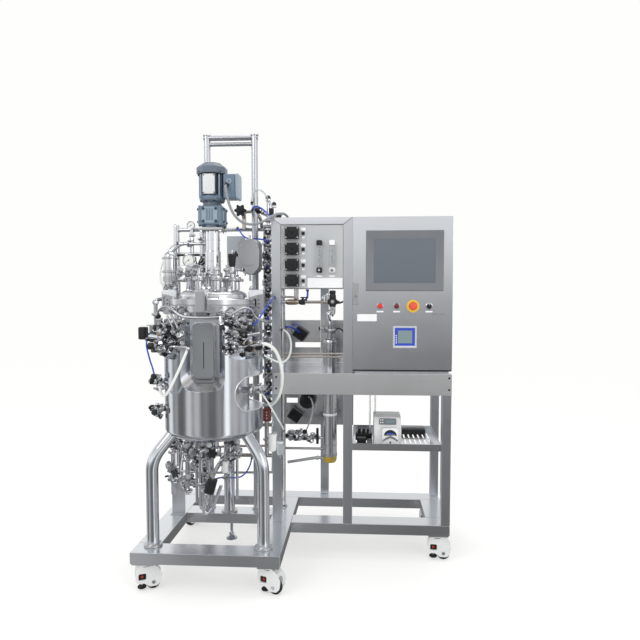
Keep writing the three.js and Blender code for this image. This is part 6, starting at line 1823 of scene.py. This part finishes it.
def gaugeParts():
    x, y, _ = lidPlace(3)
    dial = x - 28
    return [(rod((x, y, 1428), (x, y, 1456), 7, 20), polished),
            (slab(circle(13, 6), 14, (x, y, 1429), ease=1.6), polished),
            (pipe([(x, y, 1450), (x, y, 1458), (dial, y, 1482), (dial, y, 1492)], 6, 12), polished),
            (slab(circle(11, 6), 9, (dial, y, 1474), ease=1.2), polished)] + \
        put(dialGauge(30, 23), (dial, y + 12.6, 1508), (0, -1, 0), (1, 0, 0))


def treeParts(degrees, along):
    # a welded manifold on two spurs from the vessel's ports, with six diaphragm valves in their own directions
    hub = around(262, degrees, 0)
    at = lambda z: hub + (0, 0, z)
    parts = [(rod(at(1082), at(1226), 13, 28, 2), polished)]
    for z in (1112, 1186):
        start, way = around(206.4, degrees, z), around(1, degrees, 0) - around(0, degrees, 0)
        parts += [(rod(start, at(z), 11, 22), polished)] + put(triClamp(22), start + way * 8, way, (0, 0.3, 1))
        parts += put(triClamp(18), start + way * 36, way, (0, -0.3, 1))
    valves = [(1220, (0.25 * along, -0.3, 1), 34, 14), (1186, (0.3 * along, -1, 0.3), 46, 15),
              (1150, (-0.9 * along, -0.5, 0), 46, 15),
              (1112, (0.2 * along, -1, -0.2), 50, 16), (1112, (along, -0.1, 0), 60, 16),
              (1086, (-0.8 * along, -0.6, -0.2), 44, 14)]
    for z, way, length, knob in valves:
        parts += put(handValve(length, knob), at(z), way, (0.2, 0, 1) if abs(way[2]) < 0.9 else (1, 0, 0))
    # small elbows, hexagon unions and bleed fittings fill the gaps between the valves
    for z, way in ((1168, (0, -1, 0)), (1204, (-along, -0.3, 0)), (1096, (along, -0.7, 0)),
                   (1132, (along * 0.5, -1, 0))):
        way = unit(way)
        parts += [(rod(at(z), at(z) + way * 30, 6.5, 16), polished)] + put([(hexNut(9.5, 9)[0][0], polished)],
            at(z) + way * 18, way)
        parts += put([(hexNut(8, 5)[0][0], bronze)], at(z) + way * 30, way)
    # the sample and steam taps crowd round the ports, and a round port cover shows between them
    middle = around(246, degrees - 16 * along, 0)
    for z, seed in ((1108, 11), (1158, 12), (1200, 13)):
        parts += fittingCluster(middle + (0, 0, z), (48, 26, 26), 18, seed + along, 1.15)
        parts.append((rod(at(z), middle + (0, 0, z), 7, 18), polished))
    return parts


def leftTreeParts():
    start = np.array(cordFacts["silicone_hose_left"]["route"][:2], float)
    way = unit(start[0] - start[1])
    hub = around(262, -140, 0)
    parts = treeParts(-140, -1)
    parts += [(pipe([hub + (0, 0, 1106), (220, -14, 1116), start[0] + way * 14, start[0]], 7, 18), polished),
              (pipe([hub + (0, 0, 1150), (55, 150, 1150), (55, 235, 1150), (55, 235, 1316), (55, 300, 1322),
                     (95, 340, 1322), (95, 340, 1337.6)],
                    9.4, 20), polished)]
    parts += put([(hexNut(10, 9)[0][0], polished)], start[0] + way * 8, way)
    # the air-worked shut-off valve that stands out to the left: a blocky black head, its body, a blue tag and a cover plate
    parts += [(rod((55, 235, 1150), (20, 235, 1150), 11, 22), polished),
              (box((-26, 12), (212, 258), (1130, 1190), 6, 9), blackPlastic),
              (box((6, 34), (216, 254), (1122, 1160), 4, 7), blackPlastic),
              (box((30, 66), (206, 246), (1118, 1166), 5, 7), blackPlastic),
              (box((36, 58), (203, 207), (1134, 1160), 1, 2), blueTag),
              (box((20, 84), (200, 262), (1196, 1202), 1.5, 4), satin),
              (box((40, 92), (196, 240), (1070, 1112), 6, 9), blackPlastic),
              (rod((74, 220, 1112), (74, 220, 1196), 7, 18), polished)]
    for x in (34, 70):
        parts.append((rod((x, 222, 1160), (x, 222, 1197), 6, 16), bronze if x > 50 else polished))
    parts += put(triClamp(15), (38, 235, 1150), (1, 0, 0), (0, -0.4, 1)) + put(triClamp(16), (55, 235, 1250),
        (0, 0, 1), (0, -1, 0))
    parts += put(unionNut(10, 22), (55, 235, 1296))
    return parts


def rightTreeParts():
    start = np.array(cordFacts["silicone_hose_right"]["route"][:2], float)
    way = unit(start[0] - start[1])
    hub = around(262, -40, 0)
    parts = treeParts(-40, 1) + [(pipe([hub + (0, 0, 1130), start[0] + way * 16, start[0]], 8, 12),
                                  polished)] + \
        put([(hexNut(12, 9)[0][0], polished)], start[0] + way * 9, way)
    # two black actuators lie across in front, one more faces forward with its link to the right
    parts += put(actuatedValve(74, 13), (500, 22, 1112), (-1, -0.12, 0.02)) + put(actuatedValve(60, 11),
        (508, 30, 1098), (-1, -0.3, -0.1))
    parts += put(actuatedValve(56, 14), (534, 40, 1166), (-0.1, -1, 0.05))
    return parts + [(rod((540, 14, 1166), (592, 24, 1172), 7, 18, 1), polished),
                    (rod((470, 18, 1108), (600, 44, 1124), 6, 18, 1), polished)]


def flangeLineParts():
    # a bent line of small tube hangs round the front under the flange, with its valve and two bushes
    left = [(128, 118, 1210), (118, 84, 1258), (146, 52, 1282), (178, 30, 1288), (214, 8, 1272),
            (250, -8, 1250), (290, -14, 1243), (360, -16, 1242),
            (424, -14, 1245), (462, -6, 1252), (492, 8, 1270), (520, 26, 1284), (548, 46, 1276),
            (560, 62, 1248), (590, 84, 1226), (608, 112, 1222)]
    parts = [(sweep(smoothPath(left, 5), circle(5.4, 14)), tubeSatin)]
    parts += put(actuatedValve(46, 11), (430, -12, 1236), (0.2, -0.4, -1)) + put(unionNut(8, 22),
        (452, -10, 1249), (1, 0.2, 0.2))
    parts += put(triClamp(11), (206, 12, 1276), (0.7, -0.5, -0.4)) + put(unionNut(8, 20), (136, 70, 1274),
        (0.5, -0.5, 0.4))
    parts += [(rod((196, 18, 1262), (236, 2, 1196), 6, 16, 1), satin),
              (rod((180, 26, 1250), (214, 12, 1190), 5, 16, 1), polished)]
    return parts + fittingCluster((466, 0, 1236), (30, 12, 22), 8, 31, 0.9)


paleSheet = moulded("sheet_anodised_grey", "#b7bcc1", 0.42, 2.0, 0.05, metallic=0.5)
polishedUp = grained("stainless_tube_ground_upright", "#cfd0d2", 0.18, 2.0, (1, 1, 80), 0.08, swing=0.04)
blueTag = moulded("polyester_film_blue", "#5f7fa8", 0.4, 1.0, 0.03)
tubeSatin = grained("stainless_tube_satin", "#b9bcc0", 0.34, 2.0, (1, 1, 40), 0.05)
greySatin = grained("stainless_shell_blasted_grey", "#b9bbbe", 0.44, 1.0, (1, 1, 1), 0.1)
makePiece("hoist_portal", hoistParts(), "brushed_steel", "hoist_frame")
makePiece("rack_tubes", rackParts(), "brushed_steel", "pipe_rack")
makePiece("air_valve_cluster", instrumentClusterParts(), "polished_steel")
makePiece("top_valve_star_knob", topKnobParts(), "black_plastic", "top_valve_knob", "top_valve_knob")
makePiece("filter_housing", airFilterParts(), "polished_steel", "air_filter")
makePiece("condenser_shell", condenserParts(), "brushed_steel", "exhaust_condenser")
makePiece("dial_gauge", gaugeParts(), "polished_steel", "pressure_gauge")
makePiece("manifold_left", leftTreeParts(), "polished_steel", "valve_tree_left")
makePiece("flange_front_line", flangeLineParts(), "polished_steel")
makePiece("under_vessel_taps", underVesselParts(), "polished_steel")
makePiece("backboard_fittings", backboardParts(), "polished_steel")
makePiece("valve_column", columnParts(), "polished_steel")
makePiece("manifold_right", rightTreeParts(), "polished_steel", "valve_tree_right")
print("hoist, rack, filter, condenser and manifolds")


# ---------- left bay: air line, filter regulator, steam heater ----------

def airLineParts():
    # one run of tube with a bronze strainer, a black valve and the filter regulator hung in it
    y, z, x = 421, 1307, 889
    parts = [(rod((632.6, y, z), (656, y, z), 8, 20), satin),
             (rod((750, y, z), (870, y, z), 7.4, 20), strawTint),
             (turn([(0, 0), (9, 0), (13.5, 9), (14, 14), (14, 46), (12.5, 56), (8.5, 63), (8, 67), (0, 67)],
                   (655, y, z), (1, 0, 0), 24), bronze),
             (slab(circle(13, 6), 9, (721, y, z), (0, 1, 0), (0, 0, 1), 1), blackPlastic),
             (box((727, 752), (y - 14, y + 14), (z - 14, z + 14), 4), blackPlastic),
             (rod((740, y, z + 12), (740, y, z + 22), 6, 16), blackPlastic),
             (box((728, 768), (y - 6, y + 6), (z + 20, z + 26), 1.6), blackPlastic)]
    # small branch above the strainer with its elbow
    parts += [(pipe([(633, y, 1334), (690, y, 1332), (716, y, 1322), (722, y, 1310)], 5, 10), strawTint)]
    parts += put([(hexNut(9, 8)[0][0], polished)], (644, y, 1333.6), (1, 0, 0))
    for px, low in ((701, 1316), (713, 1324)):
        parts.append((rod((px, y + 6, low), (px, y + 6, 1373.5), 5.4, 18), satin))
    # regulator: black head with ports and a gauge stub, ribbed knob, clear bowl with its guard and a drain
    parts += [(box((x - 20, x + 20), (y - 19, y + 19), (z - 14, z + 17), 4), blackPlastic),
              (turn([(0, z + 15), (15.5, z + 15), (17, z + 19), (17, z + 33), (14, z + 37), (14, z + 41),
                     (15, z + 43), (15, z + 56), (13, z + 58),
                     (0, z + 58)], (x, y, 0), sides=32), blackPlastic),
              (slab(lobed(15.6, 20, 0.04, 3), 12, (x, y, z + 43), ease=1), blackPlastic),
              (rod((x, y - 18, z + 2), (x, y - 22, z + 2), 9, 24, 1), satin),
              (turn([(0, z - 14), (16, z - 14), (17, z - 18), (16, z - 23), (0, z - 23)], (x, y, 0), sides=32),
               blackPlastic),
              (turn([(10.5, z - 22), (14, z - 22), (15, z - 28), (14.6, z - 52), (12, z - 60), (8, z - 64),
                     (5, z - 64), (5, z - 61), (9, z - 56),
                     (11.4, z - 48), (11.6, z - 30)], (x, y, 0), sides=32, loop=True), clearBowl),
              (rod((x, y, z - 40), (x, y, z - 22), 5, 16, 1), bronze),
              (rod((x, y, z - 72), (x, y, z - 60), 5, 14, 1.4), blackPlastic),
              (rod((x, y, z - 60), (x, y, z - 42), 3, 12), whitePlastic)]
    for sign in (-1, 1):
        parts.append((rod((x + sign * 19, y, z), (x + sign * 25, y, z), 11, 20, 1), blackPlastic))
    # its elbow to the right, with a push-in fitting and a short dark tube
    parts += [(pipe([(x + 22, y, z), (x + 34, y, z - 5), (x + 44, y, z - 1), (942.4, y, z + 3)], 4.6, 8),
               blackCable),
              (slab(lobed(8, 10, 0.05, 3), 9, (x + 26, y, z - 1), (0, 1, 0), (0, 0, 1), 1), blackPlastic)]
    # two clear plugs on a tee left of the head
    for px, pz in ((842, 1334), (862, 1346)):
        parts.append((rod((px - 10, y + 4, pz - 9), (px + 12, y + 4, pz + 10), 6, 16, 1.2, 4.5), clearBowl))
    return parts + [(rod((848, y, z + 4), (848, y + 4, 1334), 5, 14), satin),
                    (rod((862, y, z + 4), (862, y + 4, 1342), 4.4, 14), satin)]


def heaterParts():
    # an upright heater tube: dished cover with clamps, side fittings, a white band, and a yellow end cap
    x, y, low, high, r = 870, 545, 463, 1117, heaterRadius
    parts = [(turn([(0, 500), (r, 500), (r, high - 20), (r - 2, high - 12), (r - 6, high - 4), (r - 12, high),
                    (0, high)], (x, y, 0), sides=56),
              polishedUp),
             (turn([(r - 4, 498), (r + 1.6, 498), (r + 1.6, 512), (r - 4, 512)], (x, y, 0), sides=56,
                   loop=True), satin),
             (turn([(0, low), (r - 14, low), (r - 8, low + 2), (r - 3, low + 9), (r, low + 20), (r, 499),
                    (0, 499)], (x, y, 0), sides=56), yellowCap),
             (turn([(r - 2, 714), (r + 0.6, 714), (r + 0.6, 726), (r - 2, 726)], (x, y, 0), sides=56,
                   loop=True), label),
             (rod((x, y, high - 2), (x, y, high + 36), 14, 24), polished)]
    for z in (high - 24, 560, 880):
        parts.append((turn([(r - 1, z - 3), (r + 1.2, z - 2), (r + 1.2, z + 2), (r - 1, z + 3)], (x, y, 0),
                           sides=56, loop=True), satin))
    parts += put(triClamp(24), (x, y, high + 39), (0, 0, 1), (-1, -0.6, 0))
    # three cover bolts with their ears
    for degrees in (215, 330, 90):
        a = math.radians(degrees)
        parts += put(hexBolt(5.5, 5), (x + (r - 9) * math.cos(a), y + (r - 9) * math.sin(a), high - 3))
    # wing handle on a side tap, brass bleed, and the vent that leans back to the wall
    parts += [(rod((x - 14, y - 4, high + 52), (x - 52, y - 12, high + 52), 5, 16), polished),
              (slab(lobed(11, 3, 0.3, 8), 6, (x - 58, y - 14, high + 52), (0, 1, 0), (0, 0, 1), 1.6),
               blackPlastic),
              (rod((x + 18, y - 8, high + 22), (x + 18, y - 8, high + 44), 7, 16, 1), bronze),
              (pipe([(x, y, high + 44), (x, y, high + 86), (x - 12, y + 40, high + 130),
                     (x - 12, 811, high + 130)], 9, 34, 20, 8), polished)]
    parts += put(triClamp(14), (x - 12, 770, high + 130), (0, 1, 0), (1, 0, 1)) + put(triClamp(13),
        (x - 34, y - 8, high + 52), (1, 0, 0), (0, 0, 1))
    # lower drain pipe, slanting down to the left, and the tie to the rear panel
    parts += [(pipe([(x - 20, y - 10, 484), (x - 62, y - 14, 490), (x - 90, y - 14, 486), (646, y, 459)], 7.6,
                    14), satin),
              (slab(circle(12, 6), 10, (x - 70, y - 14, 489), (0, 1, 0), (0, 0, 1), 1), satin),
              (rod((x, y + 20, 937), (x, 841.4, 937), 9, 18), polished)]
    # the feed at half height: two lines, a diaphragm valve and a ball valve with an upright black lever
    z = 592
    parts += [(rod((634, y, z), (x - r + 2, y, z), 7, 18), polished),
              (rod((634, y, 534), (x - r + 2, y, 534), 6.4, 18), satin)]
    parts += put(handValve(42, 13, blackPlastic, 12), (742, y, z + 2), (-0.15, -0.2, 1),
                 (1, 0, 0)) + put(triClamp(14), (772, y, z), (1, 0, 0))
    parts += [(rod((804, y - 14, z), (804, y + 14, z), 12, 20, 1.5), polished),
              (box((798, 812), (y - 20, y - 13), (z - 30, z + 56), 3), blackPlastic),
              (pipe([(640, y, z + 4), (652, y, z + 34), (668, y, z + 36), (690, y, z + 32)], 6, 12), polished),
              (slab(lobed(12, 6), 10, (690, y, z + 30), (0, 1, 0), (0, 0, 1), 1), blackPlastic)]
    parts += fittingCluster((690, y, z + 4), (46, 12, 26), 14, 71, 1.2) + fittingCluster((760, y, z + 2),
        (30, 12, 22), 8, 72, 1.1)
    return parts


heaterRadius = 36
yellowCap = moulded("epoxy_cap_moulded_mustard", "#b49b2c", 0.4, 1.5, 0.05, coat=0.2)
makePiece("air_line_regulator", airLineParts(), "black_plastic", "filter_regulator")
makePiece("steam_heater", heaterParts(), "polished_steel", "heater_tube")


# ---------- right bay: the bench pump, its tubes and the cables beside it ----------

def benchPumpParts():
    # side outline in depth and height, with a sloped display at the top and a flat front below the head
    (x0, _, _), (x1, _, _) = boxOf("bench_pump")
    base = 567
    outline = rounded([(470, 0.6), (650, 0.6), (650, 152), (560, 152), (512, 146), (484, 104), (474, 84),
                       (470, 60)],
                      [4, 6, 16, 10, 12, 10, 8, 4], 5, True) + (0, base)
    body = slab(outline, x1 - x0, (x0, 0, 0), (0, 1, 0), (0, 0, 1), 5)
    well = rod((rotorX, 440, rotorZ), (rotorX, 466.5, rotorZ), 33, 40)
    front = slab(rectangle((rotorX - 42, rotorX + 42), (572, 671), 12), 31, (0, 474, 0), (1, 0, 0), (0, 0, 1),
                 4)
    parts = [(body, whitePlastic), (carved(front, [well]), whitePlastic),
             (slab(rectangle((rotorX - 46, rotorX + 46), (569, 675), 14), 5, (0, 474.5, 0), (1, 0, 0),
                   (0, 0, 1), 1.4), whitePlastic),
             (slab(rectangle((rotorX - 41, rotorX + 41), (574, rotorZ + 2), 10), 3.6, (0, 447, 0), (1, 0, 0),
                   (0, 0, 1), 1), whitePlastic)]
    # dark roller window: a half disc above the rotor, with a blue rim, and the grey occlusion bed below it
    half = [(33 * math.cos(t), 33 * math.sin(t)) for t in np.linspace(0.12, math.pi - 0.12, 24)]
    parts += [(slab(np.array(half) + (rotorX, rotorZ + 6), 2, (0, 445.4, 0), (1, 0, 0), (0, 0, 1), 0.6),
               smokedCover),
              (slab(rectangle((rotorX - 17, rotorX + 17), (rotorZ + 10, rotorZ + 17), 3), 1.2, (0, 443.2, 0),
                    (1, 0, 0), (0, 0, 1), 0.4),
               bluePlastic)]
    chevron = rounded([(-33, -34), (-17, -23), (0, -16), (17, -23), (33, -34), (33, -26), (18, -12), (0, -4),
                       (-18, -12), (-33, -26)],
                      3, 4, True)
    parts.append((slab(chevron * (1.15, 1) + (rotorX, rotorZ + 6), 3.4, (0, 444.6, 0), (1, 0, 0), (0, 0, 1),
                       1), bezelGrey))
    for dx, dz in ((0, -32), (-25, -47), (25, -47)):
        parts.append((turn([(0, 0), (4.6, 0), (4.6, 1.6), (3, 2.6), (0, 2.6)],
                           (rotorX + dx, 443.6, rotorZ + dz), (0, -1, 0), 20), blackPlastic))
    # sloped display with its grey bezel, and three soft keys
    slope = unit((0, 28, 42))
    face = np.array(((x0 + x1) / 2, 498, 567 + 125))
    normal = np.cross((1, 0, 0), slope)
    parts += [(slab(rectangle((-44, 44), (-17, 17), 6), 3, face + normal * 1.2, (1, 0, 0), slope, 1),
               bezelGrey),
              (slab(rectangle((-12, 38), (-11, 11), 2), 0.8, face + normal * 3.9, (1, 0, 0), slope, 0.2), lcd)]
    for dx in (-36, -25):
        for dz in (-7, 7):
            parts.append((slab(rectangle((dx - 3.6, dx + 3.6), (dz - 3, dz + 3), 1.6), 1.4,
                               face + normal * 3.8, (1, 0, 0), slope, 0.5), label))
    # four feet under the base
    for fx in (x0 + 14, x1 - 14):
        for fy in (486, 634):
            parts.append((rod((fx, fy, 566.2), (fx, fy, 568.5), 8, 18, 0.5), rubber))
    return parts


def rotorParts():
    # three rollers between two plates, on a hub
    parts = [(rod((rotorX, 449, rotorZ), (rotorX, 465.6, rotorZ), 10, 24, 1), bezelGrey)]
    for y in (449.4, 462):
        parts.append((slab(lobed(27, 3, 0.12, 16), 2.4, (rotorX, y + 2.4, rotorZ), (1, 0, 0), (0, 0, 1), 0.5),
                      satin))
    for k in range(3):
        a = math.radians(90 + 120 * k)
        x, z = rotorX + 20 * math.cos(a), rotorZ + 20 * math.sin(a)
        parts += [(rod((x, 451, z), (x, 464, z), 7.5, 20, 0.8), paleGrey),
                  (rod((x, 448.4, z), (x, 465, z), 2.6, 12), polished)]
    return parts


(rotorLow, rotorHigh) = boxOf("pump_rotor")
rotorX, rotorZ = rotorLow[0] / 2 + rotorHigh[0] / 2, 629
smokedCover = newMaterial("acrylic_cover_smoked_blue", "#26303c", 0.14, coat=0.6)[0]
makePiece("bench_pump_case", benchPumpParts(), "white_plastic", "bench_pump")
makePiece("bench_pump_rollers", rotorParts(), "grey_plastic", "pump_rotor", "pump_rotor")


def rightBayParts():
    # a black socket strip and folded leads on the tray, and two clear tubes that come down from the console
    parts = [(box((1004, 1092), (600, 660), (566.4, 606), 6), blackPlastic),
             (box((1012, 1060), (520, 575), (566.4, 598), 5), blackPlastic),
             (box((1064, 1092), (500, 560), (566.4, 590), 5), bezelGrey)]
    for k, px in enumerate((1024, 1048, 1072)):
        parts += [(rod((px, 630, 605), (px, 630, 609), 11, 20, 1), blackPlastic),
                  (rod((px, 630, 607), (px, 630, 626), 8, 16, 2), blackPlastic)]
    # two black boxes lie along the back of the tray, with a steel strip between them: painted shade for its dark
    # recesses
    for y in (770, 812):
        parts.append((box((1250, 1390), (y - 14, y + 14), (566.4, 596), 2), blackPlastic))
    parts += [(box((1250, 1400), (785, 797), (566.4, 604), 1), satin),
              (rod((1080, 600, 606), (1080, 600, 846), 5, 16), clearBowl),
              (rod((1107, 600, 606), (1107, 600, 846), 5, 16), clearBowl)]
    return parts


makePiece("socket_strip", rightBayParts(), "black_plastic")
print("left bay and right bay")


# ---------- drain, traps and pipework under the vessel ----------

def drainParts():
    # ball valve body under the dish, its flange, the outlet that drops, bends back and climbs to the rack
    x, y, z = 334.5, 235, 598
    parts = [(turn([(0, -30), (12, -28), (23, -20), (28, -10), (30, 0), (28, 10), (23, 20), (12, 28), (0, 30)],
                   (x, y, z), sides=40), polished),
             (rod((x, y, z + 20), (x, y, 657.6), 18, 32), polished),
             (turn([(17, 643), (29, 643), (30, 644), (30, 656.6), (17, 656.6)], (x, y, 0), sides=40,
                   loop=True), satin),
             (rod((x, y, z), (x, y - 45.8, z), 10, 20), polished),
             (slab(circle(15, 6), 9, (x, y - 27, z), (1, 0, 0), (0, 0, 1), 1), polished)]
    line = [(x - 20, y, z), (264, y, z), (264, y, 312), (286, y + 30, 300), (286, y + 70, 420),
            (286, 612.7, 470)]
    parts.append((pipe(line, 11, 42, 22, 8), polished))
    for pz in (560, 430):
        parts += put(triClamp(17), (264, y, pz), (0, 0, 1), (0.7, -1, 0))
    parts += put(triClamp(17), (x - 42, y, z), (1, 0, 0), (0, -0.3, 1))
    # the sampling angle valve with its black actuator, leaning to the front
    parts += put(actuatedValve(84, 19), (286, y - 12, 402), (0.62, -0.5, 0.55), (0, 0, 1)) + put(triClamp(15),
        (300, y - 24, 414), (0.62, -0.5, 0.55))
    parts += [(rod((264, y, 402), (290, y - 16, 406), 9, 18), polished)]
    return parts


def underRigParts():
    # filter cups, traps and thin pipes that stand between the legs
    parts = []
    for x, y, low, high, r, paint in ((366, 300, 470, 520, 17, whitePlastic),
                                      (384, 310, 462, 500, 11, clearBowl),
                                      (590, 380, 560, 640, 20, whitePlastic),
                                      (626, 390, 538, 600, 17, clearBowl)):
        parts += [(turn([(0, low), (r * 0.6, low), (r * 0.9, low + 5), (r, low + 12), (r, high - 8),
                         (r * 1.08, high - 6), (r * 1.08, high),
                         (0, high)], (x, y, 0),
                        sides=32), paint),
                  (slab(lobed(r * 1.1, 12, 0.05, 3), 9, (x, y, high - 1), ease=1.2),
                   satin if r < 15 else whitePlastic),
                  (rod((x, y, high + 6), (x, y, high + 26), 5, 16), polished),
                  (rod((x, y, low - 14), (x, y, low + 2), 4, 14), polished)]
    parts += [(pipe([(366, 300, 544), (366, 300, 575), (380, 420, 590), (420, 612, 640)], 5, 16), polished),
              (pipe([(590, 380, 664), (590, 380, 700), (592, 500, 712), (600, 618, 700)], 5, 16), polished)]
    # condensate traps in a row along the rack's lower left
    for x, z in ((80, 596), (150, 552), (96, 500), (168, 452), (118, 412)):
        parts += [(turn([(0, -24), (12, -24), (17, -19), (18, -4), (22, -3), (22, 3), (18, 4), (17, 17),
                         (11, 23), (0, 23)], (x, 590, z),
                        (0.15, -0.2, 1), 28), satin),
                  (rod((x - 34, 590, z), (x + 34, 590, z), 6, 18), polished),
                  (slab(circle(10, 6), 9, (x + 20, 590, z), (0, 1, 0), (0, 0, 1), 1), polished),
                  (slab(circle(10, 6), 9, (x - 30, 590, z), (0, 1, 0), (0, 0, 1), 1), bronze)]
        parts.append((rod((x, 600, z), (x, 619, z), 7, 16), polished))
    for x, low, high in ((186, 318, 640), (204, 330, 560)):
        parts.append((rod((x, 560, low), (x, 560, high), 8, 20), polished))
        parts += put(triClamp(13), (x, 560, low + 90), (0, 0, 1), (1, -1, 0)) + put(triClamp(13),
            (x, 560, high - 60), (0, 0, 1), (1, -1, 0))
        parts.append((rod((x, 566, high - 12), (x, 619, high - 12), 6, 16), polished))
    parts += [(pipe([(40, 560, 520), (214, 560, 520), (300, 590, 528), (540, 612, 528)], 6.5, 20), strawTint),
              (pipe([(60, 575, 390), (210, 575, 384), (330, 600, 380), (560, 600, 386)], 6.5, 20), satin),
              (rod((556, 600, 386), (556, 618, 470), 6.5, 18), satin),
              (rod((60, 575, 390), (60, 615, 470), 6.5, 18), satin)]
    # the bent splash guard on the left rail, and the brown terminal block on the console post
    guard = rounded([(34, 191), (104, 191), (104, 374), (68, 374), (34, 306)], [2, 2, 4, 10, 10], 3, True)
    return parts + [(slab(guard, 3, (0, 500, 0), (1, 0, 0), (0, 0, 1), 0.6), tubeSatin),
                    (box((34, 104), (462, 500), (191, 194), 1), tubeSatin)]


def terminalParts():
    parts = [(box((540, 578), (392, 430), (706, 772), 3), brownBlock),
             (box((545, 573), (388, 393), (714, 764), 1.5), brownBlock)]
    for z in (724, 739, 754):
        parts += put(capScrew(3.4, 1.6), (559, 388, z), (0, -1, 0))
    return parts + [(box((578, 585.6), (398, 424), (730, 750), 1), satin)]


makePiece("drain_line", drainParts(), "polished_steel", "drain_valve")
makePiece("drain_star_knob", put(starKnob(27, 24), (334.5, 188.7, 598), (0, -1, 0), (1, 0, 0)),
          "black_plastic", "drain_knob", "drain_knob")
makePiece("under_vessel_pipes", underRigParts(), "polished_steel")
makePiece("terminal_block", terminalParts(), "black_plastic")


# ---------- small clear, blue and white tubes, each from one fitting to another ----------

tubeFacts = {
    # finish, radius, stiffness, what its far end joins, route
    "air_tube_blue_upper": (blueTube, 4, "medium", "object", [
        (372, 612, 1702), (386, 600, 1684), (402, 580, 1664), (420, 556, 1648), (444, 524, 1636),
        (474, 490, 1630), (510, 460, 1626),
        (548, 432, 1618),
        (580, 412, 1612)]),
    "air_tube_blue_arch": (blueTube, 4, "medium", "object", [
        (458, 574, 1784), (464, 562, 1796), (474, 552, 1801), (490, 542, 1802), (508, 530, 1794),
        (526, 512, 1782), (546, 486, 1764),
        (566, 452, 1744),
        (584, 420, 1727)]),
    "sample_tube_clear_upper": (clearTube, 5, "medium", "object", [
        (458, 574, 1822), (462, 560, 1846), (472, 556, 1872), (490, 556, 1888), (510, 560, 1886),
        (530, 570, 1866), (552, 590, 1826),
        (578, 614, 1780),
        (598, 628, 1734)]),
    "air_tube_blue_left": (blueTube, 4, "medium", "object", [
        (18, 216, 1134), (18, 206, 1112), (24, 198, 1084), (34, 190, 1056), (44, 182, 1030), (56, 174, 1004),
        (66, 164, 980), (72, 156, 960)]),
    "air_tube_blue_bay": (blueTube, 6, "medium", "object", [
        (614, 646, 1168), (630, 664, 1172), (650, 694, 1168), (668, 730, 1154), (682, 766, 1138),
        (690, 790, 1128)]),
    "sample_tube_clear_right": (siliconeTube, 5, "medium", "object", [
        (633, 393, 1172), (648, 390, 1168), (664, 386, 1156), (676, 382, 1138), (683, 378, 1114),
        (685, 374, 1086), (682, 366, 1056),
        (672, 354, 1032),
        (654, 340, 1016), (630, 320, 1016), (604, 296, 1030), (578, 262, 1050), (562, 240, 1062)]),
    "sample_tube_white_right": (siliconeTube, 4, "limp", "object", [
        (556, 166, 902), (576, 160, 884), (592, 174, 856), (606, 204, 822), (620, 244, 780), (632, 290, 738),
        (642, 340, 700), (646, 390, 664)]),
    "vent_tube_white_left": (siliconeTube, 5, "medium", "object", [
        (46, 612, 1622), (38, 580, 1612), (28, 540, 1590), (18, 500, 1556), (14, 460, 1510), (16, 420, 1460),
        (28, 388, 1416), (46, 366, 1384),
        (66, 352, 1372)]),
    "pump_tube_white": (siliconeTube, 4, "limp", "fitting", [
        (744, 766, 768), (758, 750, 752), (766, 728, 724), (764, 700, 690), (756, 666, 656), (744, 630, 628),
        (732, 594, 606), (722, 568, 594)]),
    "air_tube_blue_drain": (blueTube, 4, "medium", "object", [
        (296, 302, 424), (306, 310, 430), (326, 334, 432), (350, 370, 424), (378, 420, 408), (404, 480, 394),
        (424, 540, 402), (436, 590, 430),
        (440, 618, 458)]),
    "air_tube_blue_right": (blueTube, 4, "medium", "object", [
        (548, 80, 1196), (560, 96, 1216), (574, 124, 1240), (586, 164, 1266), (594, 214, 1290),
        (598, 270, 1310), (600, 330, 1324),
        (602, 392, 1332)]),
    "cable_black_heater": (blackCable, 4, "medium", "object", [
        (894, 556, 1160), (912, 590, 1168), (930, 640, 1156), (944, 690, 1124), (950, 740, 1084),
        (948, 790, 1048), (940, 838, 1020)]),
    "air_tube_dark_blue_panel": (blueTube, 5, "medium", "object", [
        (763, 424, 1372), (764, 425, 1352), (762, 426, 1334), (756, 424, 1320), (750, 422, 1312)])}
for tubeName, (finish, radius, stiffness, farEnd, route) in tubeFacts.items():
    path = smoothPath(route, 6)
    ends = []
    for end, towards in ((path[0], path[1]), (path[-1], path[-2])):
        # a push-in fitting covers each end
        ends += put([(slab(circle(radius * 1.9, 6), radius * 1.6, (0, 0, -radius), ease=0.6), satin),
                     (rod((0, 0, 0), (0, 0, radius * 2.2), radius * 1.4, 16, 0.6), blackPlastic)], end,
                     towards - end)
    piece = makePiece(tubeName, [(sweep(path, circle(radius, 12)), finish)], "silicone")
    fittings = makePiece(tubeName + "_fittings", ends, "polished_steel")
    [tuple(point) for point in inFrame(path)]
print("drain, traps and small tubes")
